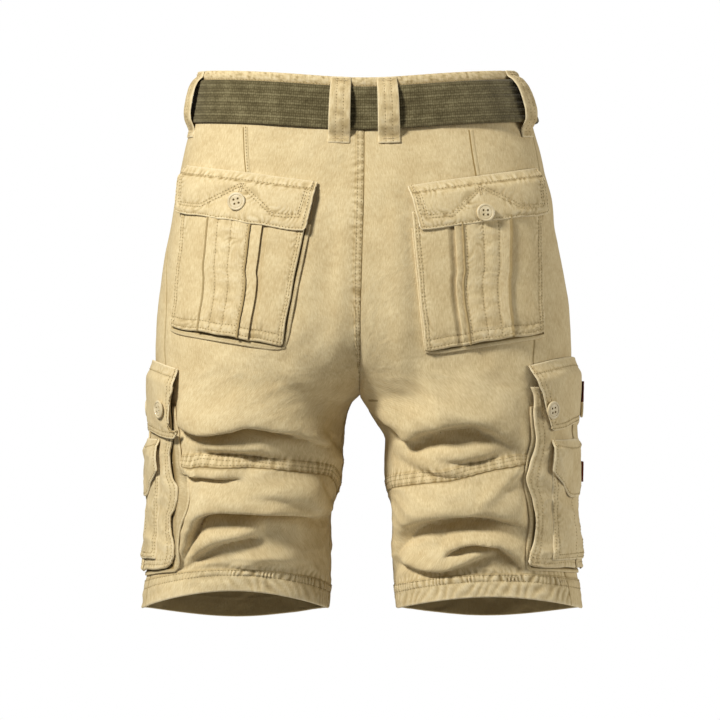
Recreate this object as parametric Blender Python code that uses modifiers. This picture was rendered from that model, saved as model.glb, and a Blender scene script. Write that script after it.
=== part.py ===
"""Cargo shorts in cotton twill, filled out as if worn, built from the pieces that a maker cuts and sews.

Metres, +Z up, +Y to the back and +X to the wearer's left. The origin is the middle of the waistband's ring,
where the wearer holds the garment up.
"""

import math

import bmesh
import bpy
import numpy as np
from mathutils import Matrix, Vector

MM = 0.001

# Cloth and seams
WALL = 1.5 * MM  # one panel with its turned seams
SEAM_GAP = 0.3 * MM  # between two panels that are sewn together
LAY_GAP = 0.4 * MM  # between a piece and what it lies on
HEM_EXTRA = 0.8 * MM  # the turned hem is this much thicker
HEM_STEP = 1.5 * MM  # height over which it gets thicker

# Heights from the middle of the waistband
WAIST_TOP = 24.5 * MM
WAIST_BOTTOM = -26 * MM
CROTCH = -297 * MM
HEM = -510 * MM
HEM_DEPTH = 27 * MM
SEAT_CURVE = 115 * MM  # height of the U-shaped part of the centre seam above the crotch
LEG_SHIFT = 4 * MM  # the crotch lies this much to the left of the waist's middle
SHIFT_RANGE = (-250 * MM, -50 * MM)  # heights between which the shift fades out
ROUNDNESS = 2.3  # 2 is an ellipse, more is squarer
KNEE = -375 * MM  # mean height of the knee seam
CROTCH_AT_OUTSEAM = -292 * MM  # height at the outseam of the panels' row that ends at the crotch
OUTSEAM_RADIUS = 100 * MM  # distance of the outseam from a half's centre
INSEAM_RADIUS = 62.5 * MM  # distance of the inner seams from a half's centre
FRONT = -math.pi / 2  # turn of the front's middle, counted from the left side round the back

SIDES = {"left": 1, "right": -1}
FACES = {"back": 1, "front": -1}

# Half-widths to the left and right of the centre seam, and depths to the back and front, in mm
BODY_COLUMNS = ("height", "left", "right", "back", "front")
BODY_ROWS = (
    (25, 163, 151, 90, 92),
    (0, 167, 161, 94, 95),
    (-30, 173, 169, 98, 98),
    (-53, 179, 175, 104, 101),
    (-73, 183, 180, 110, 103),
    (-103, 188, 188, 119, 107),
    (-133, 192, 192, 127, 110),
    (-173, 198, 201, 134, 113),
    (-213, 202, 208, 136, 114),
    (-253, 204, 211, 133, 113),
    (-293, 203, 210, 127, 110),
    (-340, 202, 208, 118, 106),
    (-400, 202, 207, 108, 100),
    (-450, 207, 212, 99, 93),
    (-485, 214, 218, 94, 88),
    (-515, 218, 222, 93, 85),
)
# Distance of the inner thigh from the centre plane, in mm
INNER_ROWS = {
    "left": (
        (-297, 0), (-304, 7.5), (-315, 12.5), (-335, 16), (-363, 17.5), (-385, 19),
        (-405, 26), (-425, 30.5), (-463, 29), (-503, 31), (-525, 35),
    ),
    "right": (
        (-297, 0), (-304, 5), (-313, 8.5), (-325, 16), (-343, 25), (-363, 24.5),
        (-385, 25.5), (-405, 30.5), (-425, 35), (-463, 33), (-503, 36), (-525, 40),
    ),
}
# Angle of the outseam behind the garment's widest line, in degrees
OUTSEAM_ROWS = {
    "left": ((25, -6), (-115, 3), (-250, 25), (-275, 31), (-330, 32), (-515, 22)),
    "right": ((25, 4), (-115, 16), (-240, 40), (-275, 50), (-330, 46), (-515, 34)),
}
# Angle of the inseam, from the side round the back; it lies straight to the inside at the crotch
INSEAM_ROWS = {
    "left": ((-297, 180), (-345, 168), (-515, 170)),
    "right": ((-297, 180), (-345, 178), (-515, 178)),
}
# Height of the knee seam, by the share of the back panel's width from the outseam
KNEE_ROWS = {
    "left": ((0, -370), (0.25, -364), (0.5, -369), (0.8, -372), (1, -386)),
    "right": ((0, -362), (0.2, -362), (0.45, -372), (0.7, -377), (0.85, -381), (1, -388)),
}
WAIST_DIP = {"back": 10 * MM, "front": 26 * MM}  # the waistline's lowest point below its sides
DIP_RANGE = (-150 * MM, -20 * MM)  # heights between which the dip sets in
HEM_LIFT = {  # the hem's middle above its sides
    "left": {"back": 21 * MM, "front": -13 * MM},
    "right": {"back": 15 * MM, "front": -12 * MM},
}
HEM_LIFT_RANGE = 70 * MM  # height above the hem at which the lift has faded out

# Folds of the bunched legs, in mm: a crest along the leg with a soft slope above it and a steep one below.
# Tilt is the rise per mm outwards, bow how far the ends hang below the middle.
# Columns: side, face, across, height, length, tilt, bow, above, below, depth
FOLDS = (
    ("left", "back", 118, -322, 170, 0.0, 8, 26, 8, 11),
    ("left", "back", 155, -372, 70, 0.0, 3, 12, 6, 5),
    ("left", "back", 104, -403, 180, 0.0, 12, 24, 8, 11),
    ("left", "back", 148, -443, 110, -0.35, 2, 18, 8, 7),
    ("right", "back", 30, -318, 70, -0.65, 0, 14, 8, 6),
    ("right", "back", 112, -339, 160, 0.25, -20, 24, 8, 10),
    ("right", "back", 65, -362, 80, -0.35, 2, 14, 7, 6),
    ("right", "back", 100, -415, 170, 0.0, 13, 24, 8, 10),
    ("right", "back", 124, -438, 105, 0.0, 14, 14, 7, 6),
    ("right", "back", 77, -467, 100, 0.12, -8, 12, 6, 5),
    ("left", "front", 95, -340, 170, 0.10, 10, 26, 9, 10),
    ("left", "front", 110, -392, 150, -0.12, 8, 22, 9, 8),
    ("left", "front", 85, -440, 150, 0.08, 10, 22, 9, 9),
    ("right", "front", 110, -332, 160, -0.10, 9, 26, 9, 10),
    ("right", "front", 88, -385, 160, 0.10, 10, 22, 9, 9),
    ("right", "front", 112, -436, 140, -0.10, 8, 20, 9, 8),
)
FOLD_TAPER = 1.5  # how soon a fold dies out towards its ends
FOLD_FACING = 0.6  # and round the leg's sides
# Soft vertical drapes of the seat and front, in mm
# Columns: side, face, across, top, bottom, width, lean, depth
DRAPES = (
    ("left", "back", 42, -60, -300, 16, 18, 2.2),
    ("left", "back", 18, -90, -280, 10, 6, 1.4),
    ("right", "back", 30, -60, -310, 14, 12, 2.0),
    ("right", "back", 62, -215, -330, 14, 10, 2.2),
    ("left", "front", 60, -60, -330, 18, 22, 2.4),
    ("right", "front", 66, -60, -330, 18, 26, 2.4),
    ("right", "front", 120, -90, -330, 16, 10, 1.8),
    ("left", "front", 124, -90, -330, 16, 14, 1.8),
)

DRAPE_FACING = 3.0  # how fast a drape sets in from the garment's side
# A side pocket holds its panel smooth: fade round the leg in radians, and above and below the pouch
COVER_TURN = (0.04, 0.16)
COVER_OVER = (20 * MM, 50 * MM)
COVER_UNDER = (-24 * MM, -4 * MM)

# Rows and columns of points on the panels
SEAT_ROWS, THIGH_ROWS, LEG_ROWS = 17, 8, 11
BACK_COLUMNS, FRONT_COLUMNS = 18, 12

# Waistband and belt
BAND_LIFT = (-1.5 * MM, 1.0 * MM)  # inner and outer face against the panels' outer face
BAND_UNDERLAP = 32 * MM
BAND_STEP = (1.95, 1.99)  # where the underlap steps inwards, in half turns from the front
BAND_PARTS = (1.96, 1.975)  # end of the coarse stations and start of the underlap's
BELT_STEP = (1.93, 1.985)  # where the belt's free end steps outwards
BELT_PARTS = (1.95, 1.965)
UNDERLAP_STATIONS = 7
TIP_STATIONS = 14
BELT_HEIGHTS = (-27.5 * MM, 15 * MM)
BELT_THICKNESS = 2.2 * MM
BELT_LIFT = 1.6 * MM
BELT_TIP = 60 * MM  # the free end beyond the buckle
BELT_STATIONS = 72
BAND_STATIONS = 60
# The belt stands off the band over the waist button and hangs off it at the right side
BUTTON_SLACK, BUTTON_SLACK_TURN = 7.3 * MM, 0.42
SIDE_SLACK, SIDE_SLACK_TURN, SIDE_SLACK_RANGE = 3.2 * MM, 0.55, (-20 * MM, 30 * MM)
BUCKLE_HALF, BUCKLE_PLAY, BUCKLE_METAL_THICKNESS = 23 * MM, 0.6 * MM, 1.6 * MM
LOOP_WIDTH = 20 * MM
LOOP_THICKNESS = 1.6 * MM
LOOPS = {  # turn from the left side round the back, in degrees
    "belt_loop_back_left": 76.0,
    "belt_loop_back_right": 104.0,
    "belt_loop_side_left": 4.0,
    "belt_loop_side_right": 166.0,
    "belt_loop_front_left": -48.0,
    "belt_loop_front_right": 228.0,
}
# A loop's inner face from its top to its bottom: height in mm, what it lies on, and mm above that
LOOP_PATH = (
    (23.5, "band", 0.0),
    (18.5, "band", 0.9),
    (14.0, "belt", 0.3),
    (4.0, "belt", 0.5),
    (-14.0, "belt", 0.6),
    (-26.5, "belt", 0.4),
    (-31.0, "between", 0.4),
    (-35.0, "panel", 0.0),
    (-41.0, "panel", 0.0),
)

# Fly, in mm: half of the front opening's placket by height, and the zip behind it
FLY_ROWS = ((-28, 36), (-103, 36), (-121.75, 35), (-140.5, 31), (-159.25, 22), (-178, 8))
FLY_STATIONS = 9
ZIP_HEIGHTS = (-30, -168)
ZIP_ACROSS = (-15, -7, 0, 7, 15)
ZIP_TAPE_GAP, ZIP_TAPE_THICKNESS = 0.6 * MM, 1.0 * MM
SLIDER_HEIGHTS, SLIDER_TURN = (-50, -40), 0.045
SLIDER_GAP, SLIDER_DEPTH = 0.4 * MM, 3.0 * MM

# Buttons
BUTTON_RADIUS = 8.7 * MM
BUTTON_THICKNESS = 3.2 * MM
BUTTON_PLAY = 0.3 * MM
# Profile as shares of the radius and of the thickness, from the dished middle over the rim to the underside
BUTTON_PROFILE = (
    (0.0, 0.72), (0.55, 0.72), (0.72, 0.97), (0.90, 1.0), (1.0, 0.62), (0.93, 0.06), (0.80, 0.0), (0.0, 0.0),
)
BUTTON_STEPS = 16
WAIST_BUTTON = (12, -7)  # across and height, in mm

# Pockets: corners of each piece as (across, height) in mm, outer top, inner top, inner bottom, outer bottom
BACK_POCKETS = {
    "left": {
        "flap": ((175, -70), (45, -86), (54, -140), (180, -117)),
        "pouch": ((174, -100), (52, -116), (78, -249), (183, -231)),
        "pleat": (0.20, 0.57),
        "button": (119.5, -110),
    },
    "right": {
        "flap": ((170, -73), (43, -90), (56, -138), (177, -119)),
        "pouch": ((172, -103), (47, -119), (62, -256), (178, -236)),
        "pleat": (0.27, 0.66),
        "button": (115.5, -121),
    },
}
POUCH_LIFT = (4.0 * MM, 5.6 * MM)
GUSSET_LIFT = (1.0 * MM, 3.2 * MM)
GUSSET_WIDTH = 11 * MM
GUSSET_INSET = 1.5 * MM
FLAP_THICKNESS = 1.6 * MM
FLAP_LIFT = (6.5 * MM, 8.1 * MM)
PLEAT_RAISE = 1.2 * MM
PLEAT_EDGE = 0.02  # share of the pouch's width over which the pleat's edge rises
BACK_FLAP_ROWS = (0, 0.12, 0.3, 0.65, 1.0)
CARGO_FLAP_ROWS = (0, 0.1, 0.24, 0.6, 1.0)
FLAP_SEWN = 0.3  # share of a back flap's height over which it rises off the panel
CARGO_FLAP_SEWN = 0.24

# Side cargo pockets: back edge as (across, height) in mm at the top and bottom, and the width along the cloth
CARGO_POCKETS = {
    "left": {
        "flap": ((180, -269), (181, -342)),
        "pouch": ((180, -290), (183, -474)),
        "button": (191, -312),
    },
    "right": {
        "flap": ((164, -269), (182, -333)),
        "pouch": ((168, -290), (168, -471)),
        "button": (180, -311),
    },
}
CARGO_WIDTH = 158 * MM
CARGO_FLAP_TAPER = 6 * MM  # the flap's lower edge is narrower by this at the front
CARGO_FLAP_EXTRA = 6 * MM  # the flap is this much wider than its pouch
CARGO_FLAP_ARCH = 9 * MM  # the flap's middle stands this much above its corners
BUTTON_SPREAD = 106 * MM  # between the two buttons of a cargo flap
SMALL_WIDTH = 74 * MM
SMALL_SET_BACK = 20 * MM  # from the pouch's back edge to the small pocket's
SMALL_HEIGHTS = (-350 * MM, -462 * MM)
SMALL_FLAP_TOP = -341 * MM
SMALL_FLAP_SIDE = -371 * MM
SMALL_FLAP_POINT = -398 * MM
SMALL_POCKET_LIFT = (6.1 * MM, 7.7 * MM)
SMALL_FLAP_LIFT = (8.2 * MM, 9.8 * MM)
SMALL_FLAP_MARGIN = 0.03  # radians by which the flap is narrower at each side
SMALL_FLAP_SEWN = 0.2
SMALL_FLAP_COLUMNS = (0, 0.14, 0.32, 0.5, 0.68, 0.86, 1.0)
SMALL_FLAP_CORNERS = (0, 0.36, 0.64, 1)
TABS = (("flap_tab", -296 * MM, FLAP_LIFT[1]), ("small_flap_tab", -376 * MM, SMALL_FLAP_LIFT[1]))
TAB_LENGTH = 20 * MM
TAB_ANGLES = (0.14, 0.06)
TAB_GAP = 0.6 * MM
TAB_THICKNESS = 1.0 * MM

TWILL = ("cotton_twill", "CDB487", 0.92, 0.0)
WEBBING = ("belt_webbing", "5F5639", 0.88, 0.0)
BUTTON_PLASTIC = ("button_plastic", "CDBE9C", 0.45, 0.0)
BUCKLE_METAL = ("buckle_metal", "4A4636", 0.42, 0.85)
ZIP_TAPE = ("zip_tape", "B79F72", 0.85, 0.0)
ZIP_METAL = ("zip_brass", "A98A4C", 0.35, 1.0)
TAB_CLOTH = ("woven_tab", "6E2A22", 0.85, 0.0)


# ---------------------------------------------------------------- curves and the garment's surface

class Curve:
    """A smooth curve through rows of (position, value) that never swings past them."""

    def __init__(self, rows, scale=1.0):
        points = sorted((position * MM, value * scale) for position, value in rows)
        self.x, self.y = np.array(points).T
        step = np.diff(self.x)
        slope = np.diff(self.y) / step
        tangent = np.concatenate([slope[:1], (slope[1:] + slope[:-1]) / 2, slope[-1:]])
        for i in range(len(slope)):
            before = slope[i - 1] if i else slope[0]
            if before * slope[i] <= 0:
                tangent[i] = 0.0
            limit = 3 * abs(slope[i])
            tangent[i] = max(-limit, min(limit, tangent[i]))
            tangent[i + 1] = max(-limit, min(limit, tangent[i + 1]))
        self.tangent = tangent

    def __call__(self, position):
        position = np.clip(position, self.x[0], self.x[-1])
        i = np.clip(np.searchsorted(self.x, position) - 1, 0, len(self.x) - 2)
        width = self.x[i + 1] - self.x[i]
        s = (position - self.x[i]) / width
        ease = s * s * (3 - 2 * s)
        lead = s * (1 - s) ** 2 * width * self.tangent[i]
        tail = s * s * (1 - s) * width * self.tangent[i + 1]
        return self.y[i] * (1 - ease) + self.y[i + 1] * ease + lead - tail


def body_curve(column):
    i = BODY_COLUMNS.index(column)
    return Curve([(row[0], row[i]) for row in BODY_ROWS], MM)


OUTER = {side: body_curve(side) for side in SIDES}
DEPTH = {face: body_curve(face) for face in FACES}
INNER = {side: Curve(rows, MM) for side, rows in INNER_ROWS.items()}
OUTSEAM = {side: Curve(rows, math.pi / 180) for side, rows in OUTSEAM_ROWS.items()}
INSEAM = {side: Curve(rows, math.pi / 180) for side, rows in INSEAM_ROWS.items()}


def smooth(value, start, end):
    """0 before start, 1 after end and a soft step between them."""
    s = np.clip((value - start) / (end - start), 0, 1)
    return s * s * (3 - 2 * s)


def section(side, height):
    """Centre and half-width of a section: one half of the hips, which turns into a leg at the crotch."""
    split = np.clip((CROTCH + SEAT_CURVE - height) / SEAT_CURVE, 0, 1) ** 1.6
    outer = OUTER[side](height)
    inner = np.where(height < CROTCH, INNER[side](height), 0.0)
    half = np.where(height < CROTCH, (outer - inner) / 2, outer / (1 + split))
    centre = np.where(height < CROTCH, (outer + inner) / 2, split * half)
    return centre, half, split


def inner_angle(side, face, height):
    """Angle of a panel's inner edge: the centre seam above the crotch, the inseam below it."""
    centre, half, split = section(side, height)
    depth = DEPTH[face](height)
    seam = np.arctan2(depth * (1 - split**ROUNDNESS) ** (1 / ROUNDNESS), -centre)
    inseam = INSEAM[side](height)
    if face == "back":
        return np.where(height > CROTCH, seam, inseam)
    return np.where(height > CROTCH, -seam, inseam - 2 * math.pi)


def leg_shift(height):
    return LEG_SHIFT * (1 - smooth(height, *SHIFT_RANGE))


def base_point(side, angle, height):
    """The filled-out garment without its folds, by the angle round a half's centre and the height."""
    centre, half, _ = section(side, height)
    sine, cosine = np.sin(angle), np.cos(angle)
    depth = np.where(sine > 0, DEPTH["back"](height), DEPTH["front"](height))
    radius = (np.abs(cosine / half) ** ROUNDNESS + np.abs(sine / depth) ** ROUNDNESS) ** (-1 / ROUNDNESS)
    across = centre + radius * cosine
    dip = np.where(sine > 0, WAIST_DIP["back"], WAIST_DIP["front"]) * sine**2 * smooth(height, *DIP_RANGE)
    lift = np.where(sine > 0, HEM_LIFT[side]["back"], HEM_LIFT[side]["front"]) * sine**2
    z = height - dip + lift * (1 - smooth(height, HEM, HEM + HEM_LIFT_RANGE))
    return np.stack([leg_shift(height) + SIDES[side] * across, radius * sine, z], axis=-1)


def surface_normal(point, side, angle, height):
    """Outward direction of a surface given as a function of side, angle and height."""
    turn, rise = 1e-4, 1e-5
    along = point(side, angle + turn, height) - point(side, angle - turn, height)
    up = point(side, angle, height + rise) - point(side, angle, height - rise)
    normal = np.cross(along, up) * SIDES[side]
    return normal / np.linalg.norm(normal, axis=-1, keepdims=True)


def relief(side, angle, height):
    """How far the folds, drapes and the turned hem stand out of the filled-out garment."""
    place = base_point(side, angle, height)
    across = np.abs(place[..., 0] - leg_shift(height))
    z = place[..., 2]
    sine = np.sin(angle)
    total = np.zeros(np.shape(z))
    for name, face, x, top, length, tilt, bow, above, below, depth in FOLDS:
        if name != side:
            continue
        share = (across - x * MM) / (length * MM / 2)
        crest = top * MM + tilt * (across - x * MM) - bow * MM * share**2
        rise = z - crest
        width = np.where(rise > 0, above * MM, below * MM)
        reach = np.clip(1 - share**2, 0, 1) ** FOLD_TAPER
        facing = np.clip(sine * FACES[face], 0, 1) ** FOLD_FACING
        total = total + depth * MM * reach * facing * np.exp(-((rise / width) ** 2))
    for name, face, x, top, bottom, width, lean, depth in DRAPES:
        if name != side:
            continue
        down = np.clip((top * MM - z) / ((top - bottom) * MM), 0, 1)
        offset = (across - (x + lean * down) * MM) / (width * MM)
        facing = np.clip(sine * FACES[face] * DRAPE_FACING, 0, 1)
        total = total + depth * MM * facing * np.sin(math.pi * down) * np.exp(-(offset**2))
    covered = cargo_cover(side, angle, height)
    turned = 1 - smooth(height, HEM + HEM_DEPTH - HEM_STEP, HEM + HEM_DEPTH)
    return total * (1 - covered) + HEM_EXTRA * turned


def angle_at(side, across, height, face="back"):
    """Angle of the surface point that lies at a distance from the centre plane, on the back or front."""
    centre, half, _ = section(side, height)
    share = np.clip((across - centre) / half, -1, 1)
    depth = DEPTH[face](height) * (1 - np.abs(share) ** ROUNDNESS) ** (1 / ROUNDNESS)
    return np.arctan2(FACES[face] * depth, share * half)


def cargo_angles(side):
    """Angles of a cargo pocket's back and front edges at its middle."""
    (x_top, z_top), (x_bottom, z_bottom) = CARGO_POCKETS[side]["pouch"]
    middle = (z_top + z_bottom) / 2 * MM
    back = float(angle_at(side, (x_top + x_bottom) / 2 * MM, middle))
    return back, angle_after(side, back, middle, -CARGO_WIDTH)


def angle_after(side, angle, height, distance):
    """The angle that lies a distance further along the cloth from another."""
    step = math.copysign(0.004, distance)
    here, travelled = angle, 0.0
    while travelled < abs(distance):
        ends = base_point(side, np.array([here, here + step]), np.array([height, height]))
        travelled += float(np.linalg.norm(ends[1] - ends[0]))
        here += step
    return here


def cargo_cover(side, angle, height):
    """1 under a side cargo pocket, where the panel lies smooth, and 0 away from it."""
    back, front = CARGO_EDGES[side]
    start, end = COVER_TURN
    round_it = (1 - smooth(angle, back + start, back + end)) * smooth(angle, front - end, front - start)
    (_, top), (_, bottom) = CARGO_POCKETS[side]["pouch"]
    over = smooth(height - top * MM, *COVER_OVER)
    under = smooth(height - bottom * MM, *COVER_UNDER)
    beside = (1 - over) * under
    return round_it * beside


CARGO_EDGES = {side: cargo_angles(side) for side in SIDES}


def cloth_point(side, angle, height):
    """The panels' outer face with its folds."""
    angle, height = np.broadcast_arrays(np.asarray(angle, float), np.asarray(height, float))
    out = surface_normal(base_point, side, angle, height)
    return base_point(side, angle, height) + out * relief(side, angle, height)[..., None]


def lifted(side, angle, height, lift):
    """A point that stands a distance off the panels' outer face."""
    angle, height, lift = np.broadcast_arrays(
        np.asarray(angle, float), np.asarray(height, float), np.asarray(lift, float)
    )
    out = surface_normal(cloth_point, side, angle, height)
    return cloth_point(side, angle, height) + out * lift[..., None]


def kept_on_side(side, points):
    """Points moved off the centre plane where the two thighs touch."""
    middle = leg_shift(points[..., 2])
    distance = (points[..., 0] - middle) * SIDES[side]
    points = points.copy()
    points[..., 0] = middle + SIDES[side] * np.maximum(distance, SEAM_GAP / 2)
    return points


def waist_point(turn, height, lift):
    """A point round the waist, by the angle from the left side round the back."""
    turn, height, lift = np.broadcast_arrays(
        np.asarray(turn, float), np.asarray(height, float), np.asarray(lift, float)
    )
    left = lifted("left", turn, height, lift)
    right = lifted("right", math.pi - turn, height, lift)
    return np.where(np.cos(turn)[..., None] > 0, left, right)


# ---------------------------------------------------------------- making objects

def linear(channel):
    return channel / 12.92 if channel <= 0.04045 else ((channel + 0.055) / 1.055) ** 2.4


def material(finish):
    """The material of a finish given as name, sRGB hex colour, roughness and metallic value."""
    name, colour, roughness, metallic = finish
    found = bpy.data.materials.get(name)
    if found:
        return found
    made = bpy.data.materials.new(name)
    made.use_nodes = True
    shader = made.node_tree.nodes["Principled BSDF"]
    rgb = [linear(int(colour[i : i + 2], 16) / 255) for i in (0, 2, 4)]
    shader.inputs["Base Color"].default_value = (*rgb, 1.0)
    shader.inputs["Roughness"].default_value = roughness
    shader.inputs["Metallic"].default_value = metallic
    return made


def add_object(name, mesh, finish):
    mesh.materials.append(material(finish))
    mesh.shade_smooth()
    mesh.set_sharp_from_angle(angle=math.radians(40))
    made = bpy.data.objects.new(name, mesh)
    COLLECTION.objects.link(made)
    return made


def closed_mesh(name, points, faces):
    """A closed mesh with its faces pointing out."""
    work = bmesh.new()
    verts = [work.verts.new(point) for point in points]
    for face in faces:
        work.faces.new([verts[i] for i in face])
    bmesh.ops.recalc_face_normals(work, faces=work.faces)
    mesh = bpy.data.meshes.new(name)
    work.to_mesh(mesh)
    work.free()
    return mesh


def wall(name, outer, inner, finish):
    """A closed wall between an outer and an inner grid of points with equal rows and columns."""
    rows, columns = outer.shape[:2]
    count = rows * columns

    def index(layer, row, column):
        return layer * count + row * columns + column

    faces = []
    for row in range(rows - 1):
        for column in range(columns - 1):
            quad = [(row, column), (row, column + 1), (row + 1, column + 1), (row + 1, column)]
            faces.append([index(0, *corner) for corner in quad])
            faces.append([index(1, *corner) for corner in reversed(quad)])
    border = (
        [(0, i) for i in range(columns - 1)]
        + [(i, columns - 1) for i in range(rows - 1)]
        + [(rows - 1, i) for i in range(columns - 1, 0, -1)]
        + [(i, 0) for i in range(rows - 1, 0, -1)]
    )
    for here, there in zip(border, border[1:] + border[:1]):
        faces.append([index(0, *here), index(1, *here), index(1, *there), index(0, *there)])
    points = np.concatenate([outer.reshape(-1, 3), inner.reshape(-1, 3)])
    return add_object(name, closed_mesh(name, points, faces), finish)


def sweep(name, rings, finish):
    """A closed bar through a row of sections, each a ring of as many points."""
    stations, count = rings.shape[:2]
    faces = []
    for station in range(stations - 1):
        for i in range(count):
            j = (i + 1) % count
            start, end = station * count, (station + 1) * count
            faces.append([start + i, start + j, end + j, end + i])
    faces.append(list(range(count)))
    faces.append([(stations - 1) * count + i for i in reversed(range(count))])
    return add_object(name, closed_mesh(name, rings.reshape(-1, 3), faces), finish)


# ---------------------------------------------------------------- panels

def inner_heights(side, face, start, end, count):
    """Heights that part a panel's inner edge into equal lengths."""
    share = np.linspace(0, 1, 800)
    if end <= CROTCH and start > CROTCH:
        share = 1 - (1 - share) ** 2.5  # the seam runs nearly level as it nears the crotch
    elif start >= CROTCH:
        share = share**2
    fine = start + (end - start) * share
    line = base_point(side, inner_angle(side, face, fine), fine)
    length = np.concatenate([[0], np.cumsum(np.linalg.norm(np.diff(line, axis=0), axis=1))])
    return np.interp(np.linspace(0, length[-1], count + 1), length, fine)


def knee_height(side, share):
    rows = np.array(KNEE_ROWS[side])
    return np.interp(share, rows[:, 0], rows[:, 1]) * MM


def leg_shares():
    """Rows from the knee seam to the hem, with two rows that make the hem's step."""
    step = HEM + HEM_DEPTH
    free = np.linspace(KNEE, step, LEG_ROWS - 2)
    heights = np.concatenate([free, [step - HEM_STEP, (step + HEM) / 2, HEM]])
    return (heights - KNEE) / (HEM - KNEE)


def panel_heights(side, face, columns):
    """Row heights from the waist to the crotch and on to the knee seam, and from there to the hem."""
    share = np.linspace(0, 1, columns)
    above = inner_heights(side, face, WAIST_BOTTOM, CROTCH, SEAT_ROWS)
    knee_in, knee_out = knee_height(side, 1.0), knee_height(side, 0.0)
    below = inner_heights(side, face, CROTCH, knee_in, THIGH_ROWS)
    inner = np.concatenate([above, below[1:]])
    outer = np.concatenate([
        np.linspace(WAIST_BOTTOM, CROTCH_AT_OUTSEAM, SEAT_ROWS + 1),
        np.linspace(CROTCH_AT_OUTSEAM, knee_out, THIGH_ROWS + 1)[1:],
    ])
    upper = outer[:, None] + (inner - outer)[:, None] * share[None, :] ** 2
    knee = knee_height(side, share) if face == "back" else np.interp(share, [0, 1], [knee_out, knee_in])
    pull = np.clip((np.arange(len(outer)) - SEAT_ROWS) / THIGH_ROWS, 0, 1)[:, None]
    upper = upper + (knee - upper[-1])[None, :] * pull
    lower = knee[None, :] + (HEM - knee)[None, :] * leg_shares()[:, None]
    return upper, lower


def panel(name, side, face, heights, top_gap, bottom_gap):
    """One cut panel as a wall between the outseam and its inner edge."""
    columns = heights.shape[1]
    share = np.linspace(0, 1, columns)[None, :]
    heights = heights.copy()
    heights[0] -= top_gap
    heights[-1] += bottom_gap
    outseam = OUTSEAM[side](heights[:, :1])
    inner = inner_angle(side, face, heights[:, -1:])
    turn = np.sign(inner - outseam)
    outseam = outseam + turn * SEAM_GAP / 2 / OUTSEAM_RADIUS
    inner = inner - turn * SEAM_GAP / 2 / INSEAM_RADIUS
    angle = outseam + (inner - outseam) * share
    outer = lifted(side, angle, heights, 0.0)
    inside = lifted(side, angle, heights, -WALL)
    return wall(name, kept_on_side(side, outer), kept_on_side(side, inside), TWILL)


def panels():
    for side in SIDES:
        upper, lower = panel_heights(side, "back", BACK_COLUMNS)
        panel(f"back_upper_{side}", side, "back", upper, SEAM_GAP, SEAM_GAP / 2)
        panel(f"back_lower_{side}", side, "back", lower, SEAM_GAP / 2, 0.0)
        upper, lower = panel_heights(side, "front", FRONT_COLUMNS)
        whole = np.concatenate([upper, lower[1:]])
        panel(f"front_{side}", side, "front", whole, SEAM_GAP, 0.0)


# ---------------------------------------------------------------- waistband, belt and fly

def turn_after(turn, distance):
    """The turn that lies a distance round the waist from another."""
    angles = turn + np.linspace(0, math.copysign(1.0, distance), 200)
    line = waist_point(angles, 0.0, 0.0)
    length = np.concatenate([[0], np.cumsum(np.linalg.norm(np.diff(line, axis=0), axis=1))])
    return float(np.interp(abs(distance), length, angles))


def overlapped_turns(stations, end_stations, overlap, parts, step):
    """Stations once round from the front and on past it, and how far each has stepped clear of the start."""
    first, second = (FRONT + part * math.pi for part in parts)
    end = turn_after(FRONT, overlap) + 2 * math.pi
    turns = np.concatenate([np.linspace(FRONT, first, stations), np.linspace(second, end, end_stations)])
    return turns, smooth(turns, *(FRONT + part * math.pi for part in step))


def waistband():
    """The folded band: it closes at the front, where one end lies under the other."""
    turns, under = overlapped_turns(BAND_STATIONS, UNDERLAP_STATIONS, BAND_UNDERLAP, BAND_PARTS, BAND_STEP)
    under = -(BAND_LIFT[1] - BAND_LIFT[0] + LAY_GAP) * under
    round_off = 0.8 * MM
    profile = (
        (BAND_LIFT[0], WAIST_BOTTOM),
        (BAND_LIFT[1], WAIST_BOTTOM),
        (BAND_LIFT[1], WAIST_TOP - round_off),
        (BAND_LIFT[1] - round_off, WAIST_TOP),
        (BAND_LIFT[0] + round_off, WAIST_TOP),
        (BAND_LIFT[0], WAIST_TOP - round_off),
    )
    rings = np.stack([waist_point(turns, height, lift + under) for lift, height in profile], axis=1)
    sweep("waistband", rings, TWILL)


def belt_slack(turns, height):
    """The belt hangs off the band on the right, over the waist button and under the buckle."""
    side = np.exp(-(((turns - math.pi) / SIDE_SLACK_TURN) ** 2)) * smooth(-height, *SIDE_SLACK_RANGE)
    from_front = np.abs((turns - FRONT + math.pi) % (2 * math.pi) - math.pi)
    return SIDE_SLACK * side + BUTTON_SLACK * np.exp(-((from_front / BUTTON_SLACK_TURN) ** 2))


def belt():
    """One strip, once round and on over itself, whose free end comes out of the buckle."""
    turns, over = overlapped_turns(BELT_STATIONS, TIP_STATIONS, BELT_TIP, BELT_PARTS, BELT_STEP)
    base = BELT_LIFT + (BELT_THICKNESS + LAY_GAP) * over
    low, high = BELT_HEIGHTS
    corner = 0.7 * MM
    profile = (
        (0.0, low),
        (BELT_THICKNESS, low + corner),
        (BELT_THICKNESS, high - corner),
        (0.0, high),
    )
    rings = [waist_point(turns, height, base + lift + belt_slack(turns, height)) for lift, height in profile]
    sweep("belt", np.stack(rings, axis=1), WEBBING)


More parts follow.
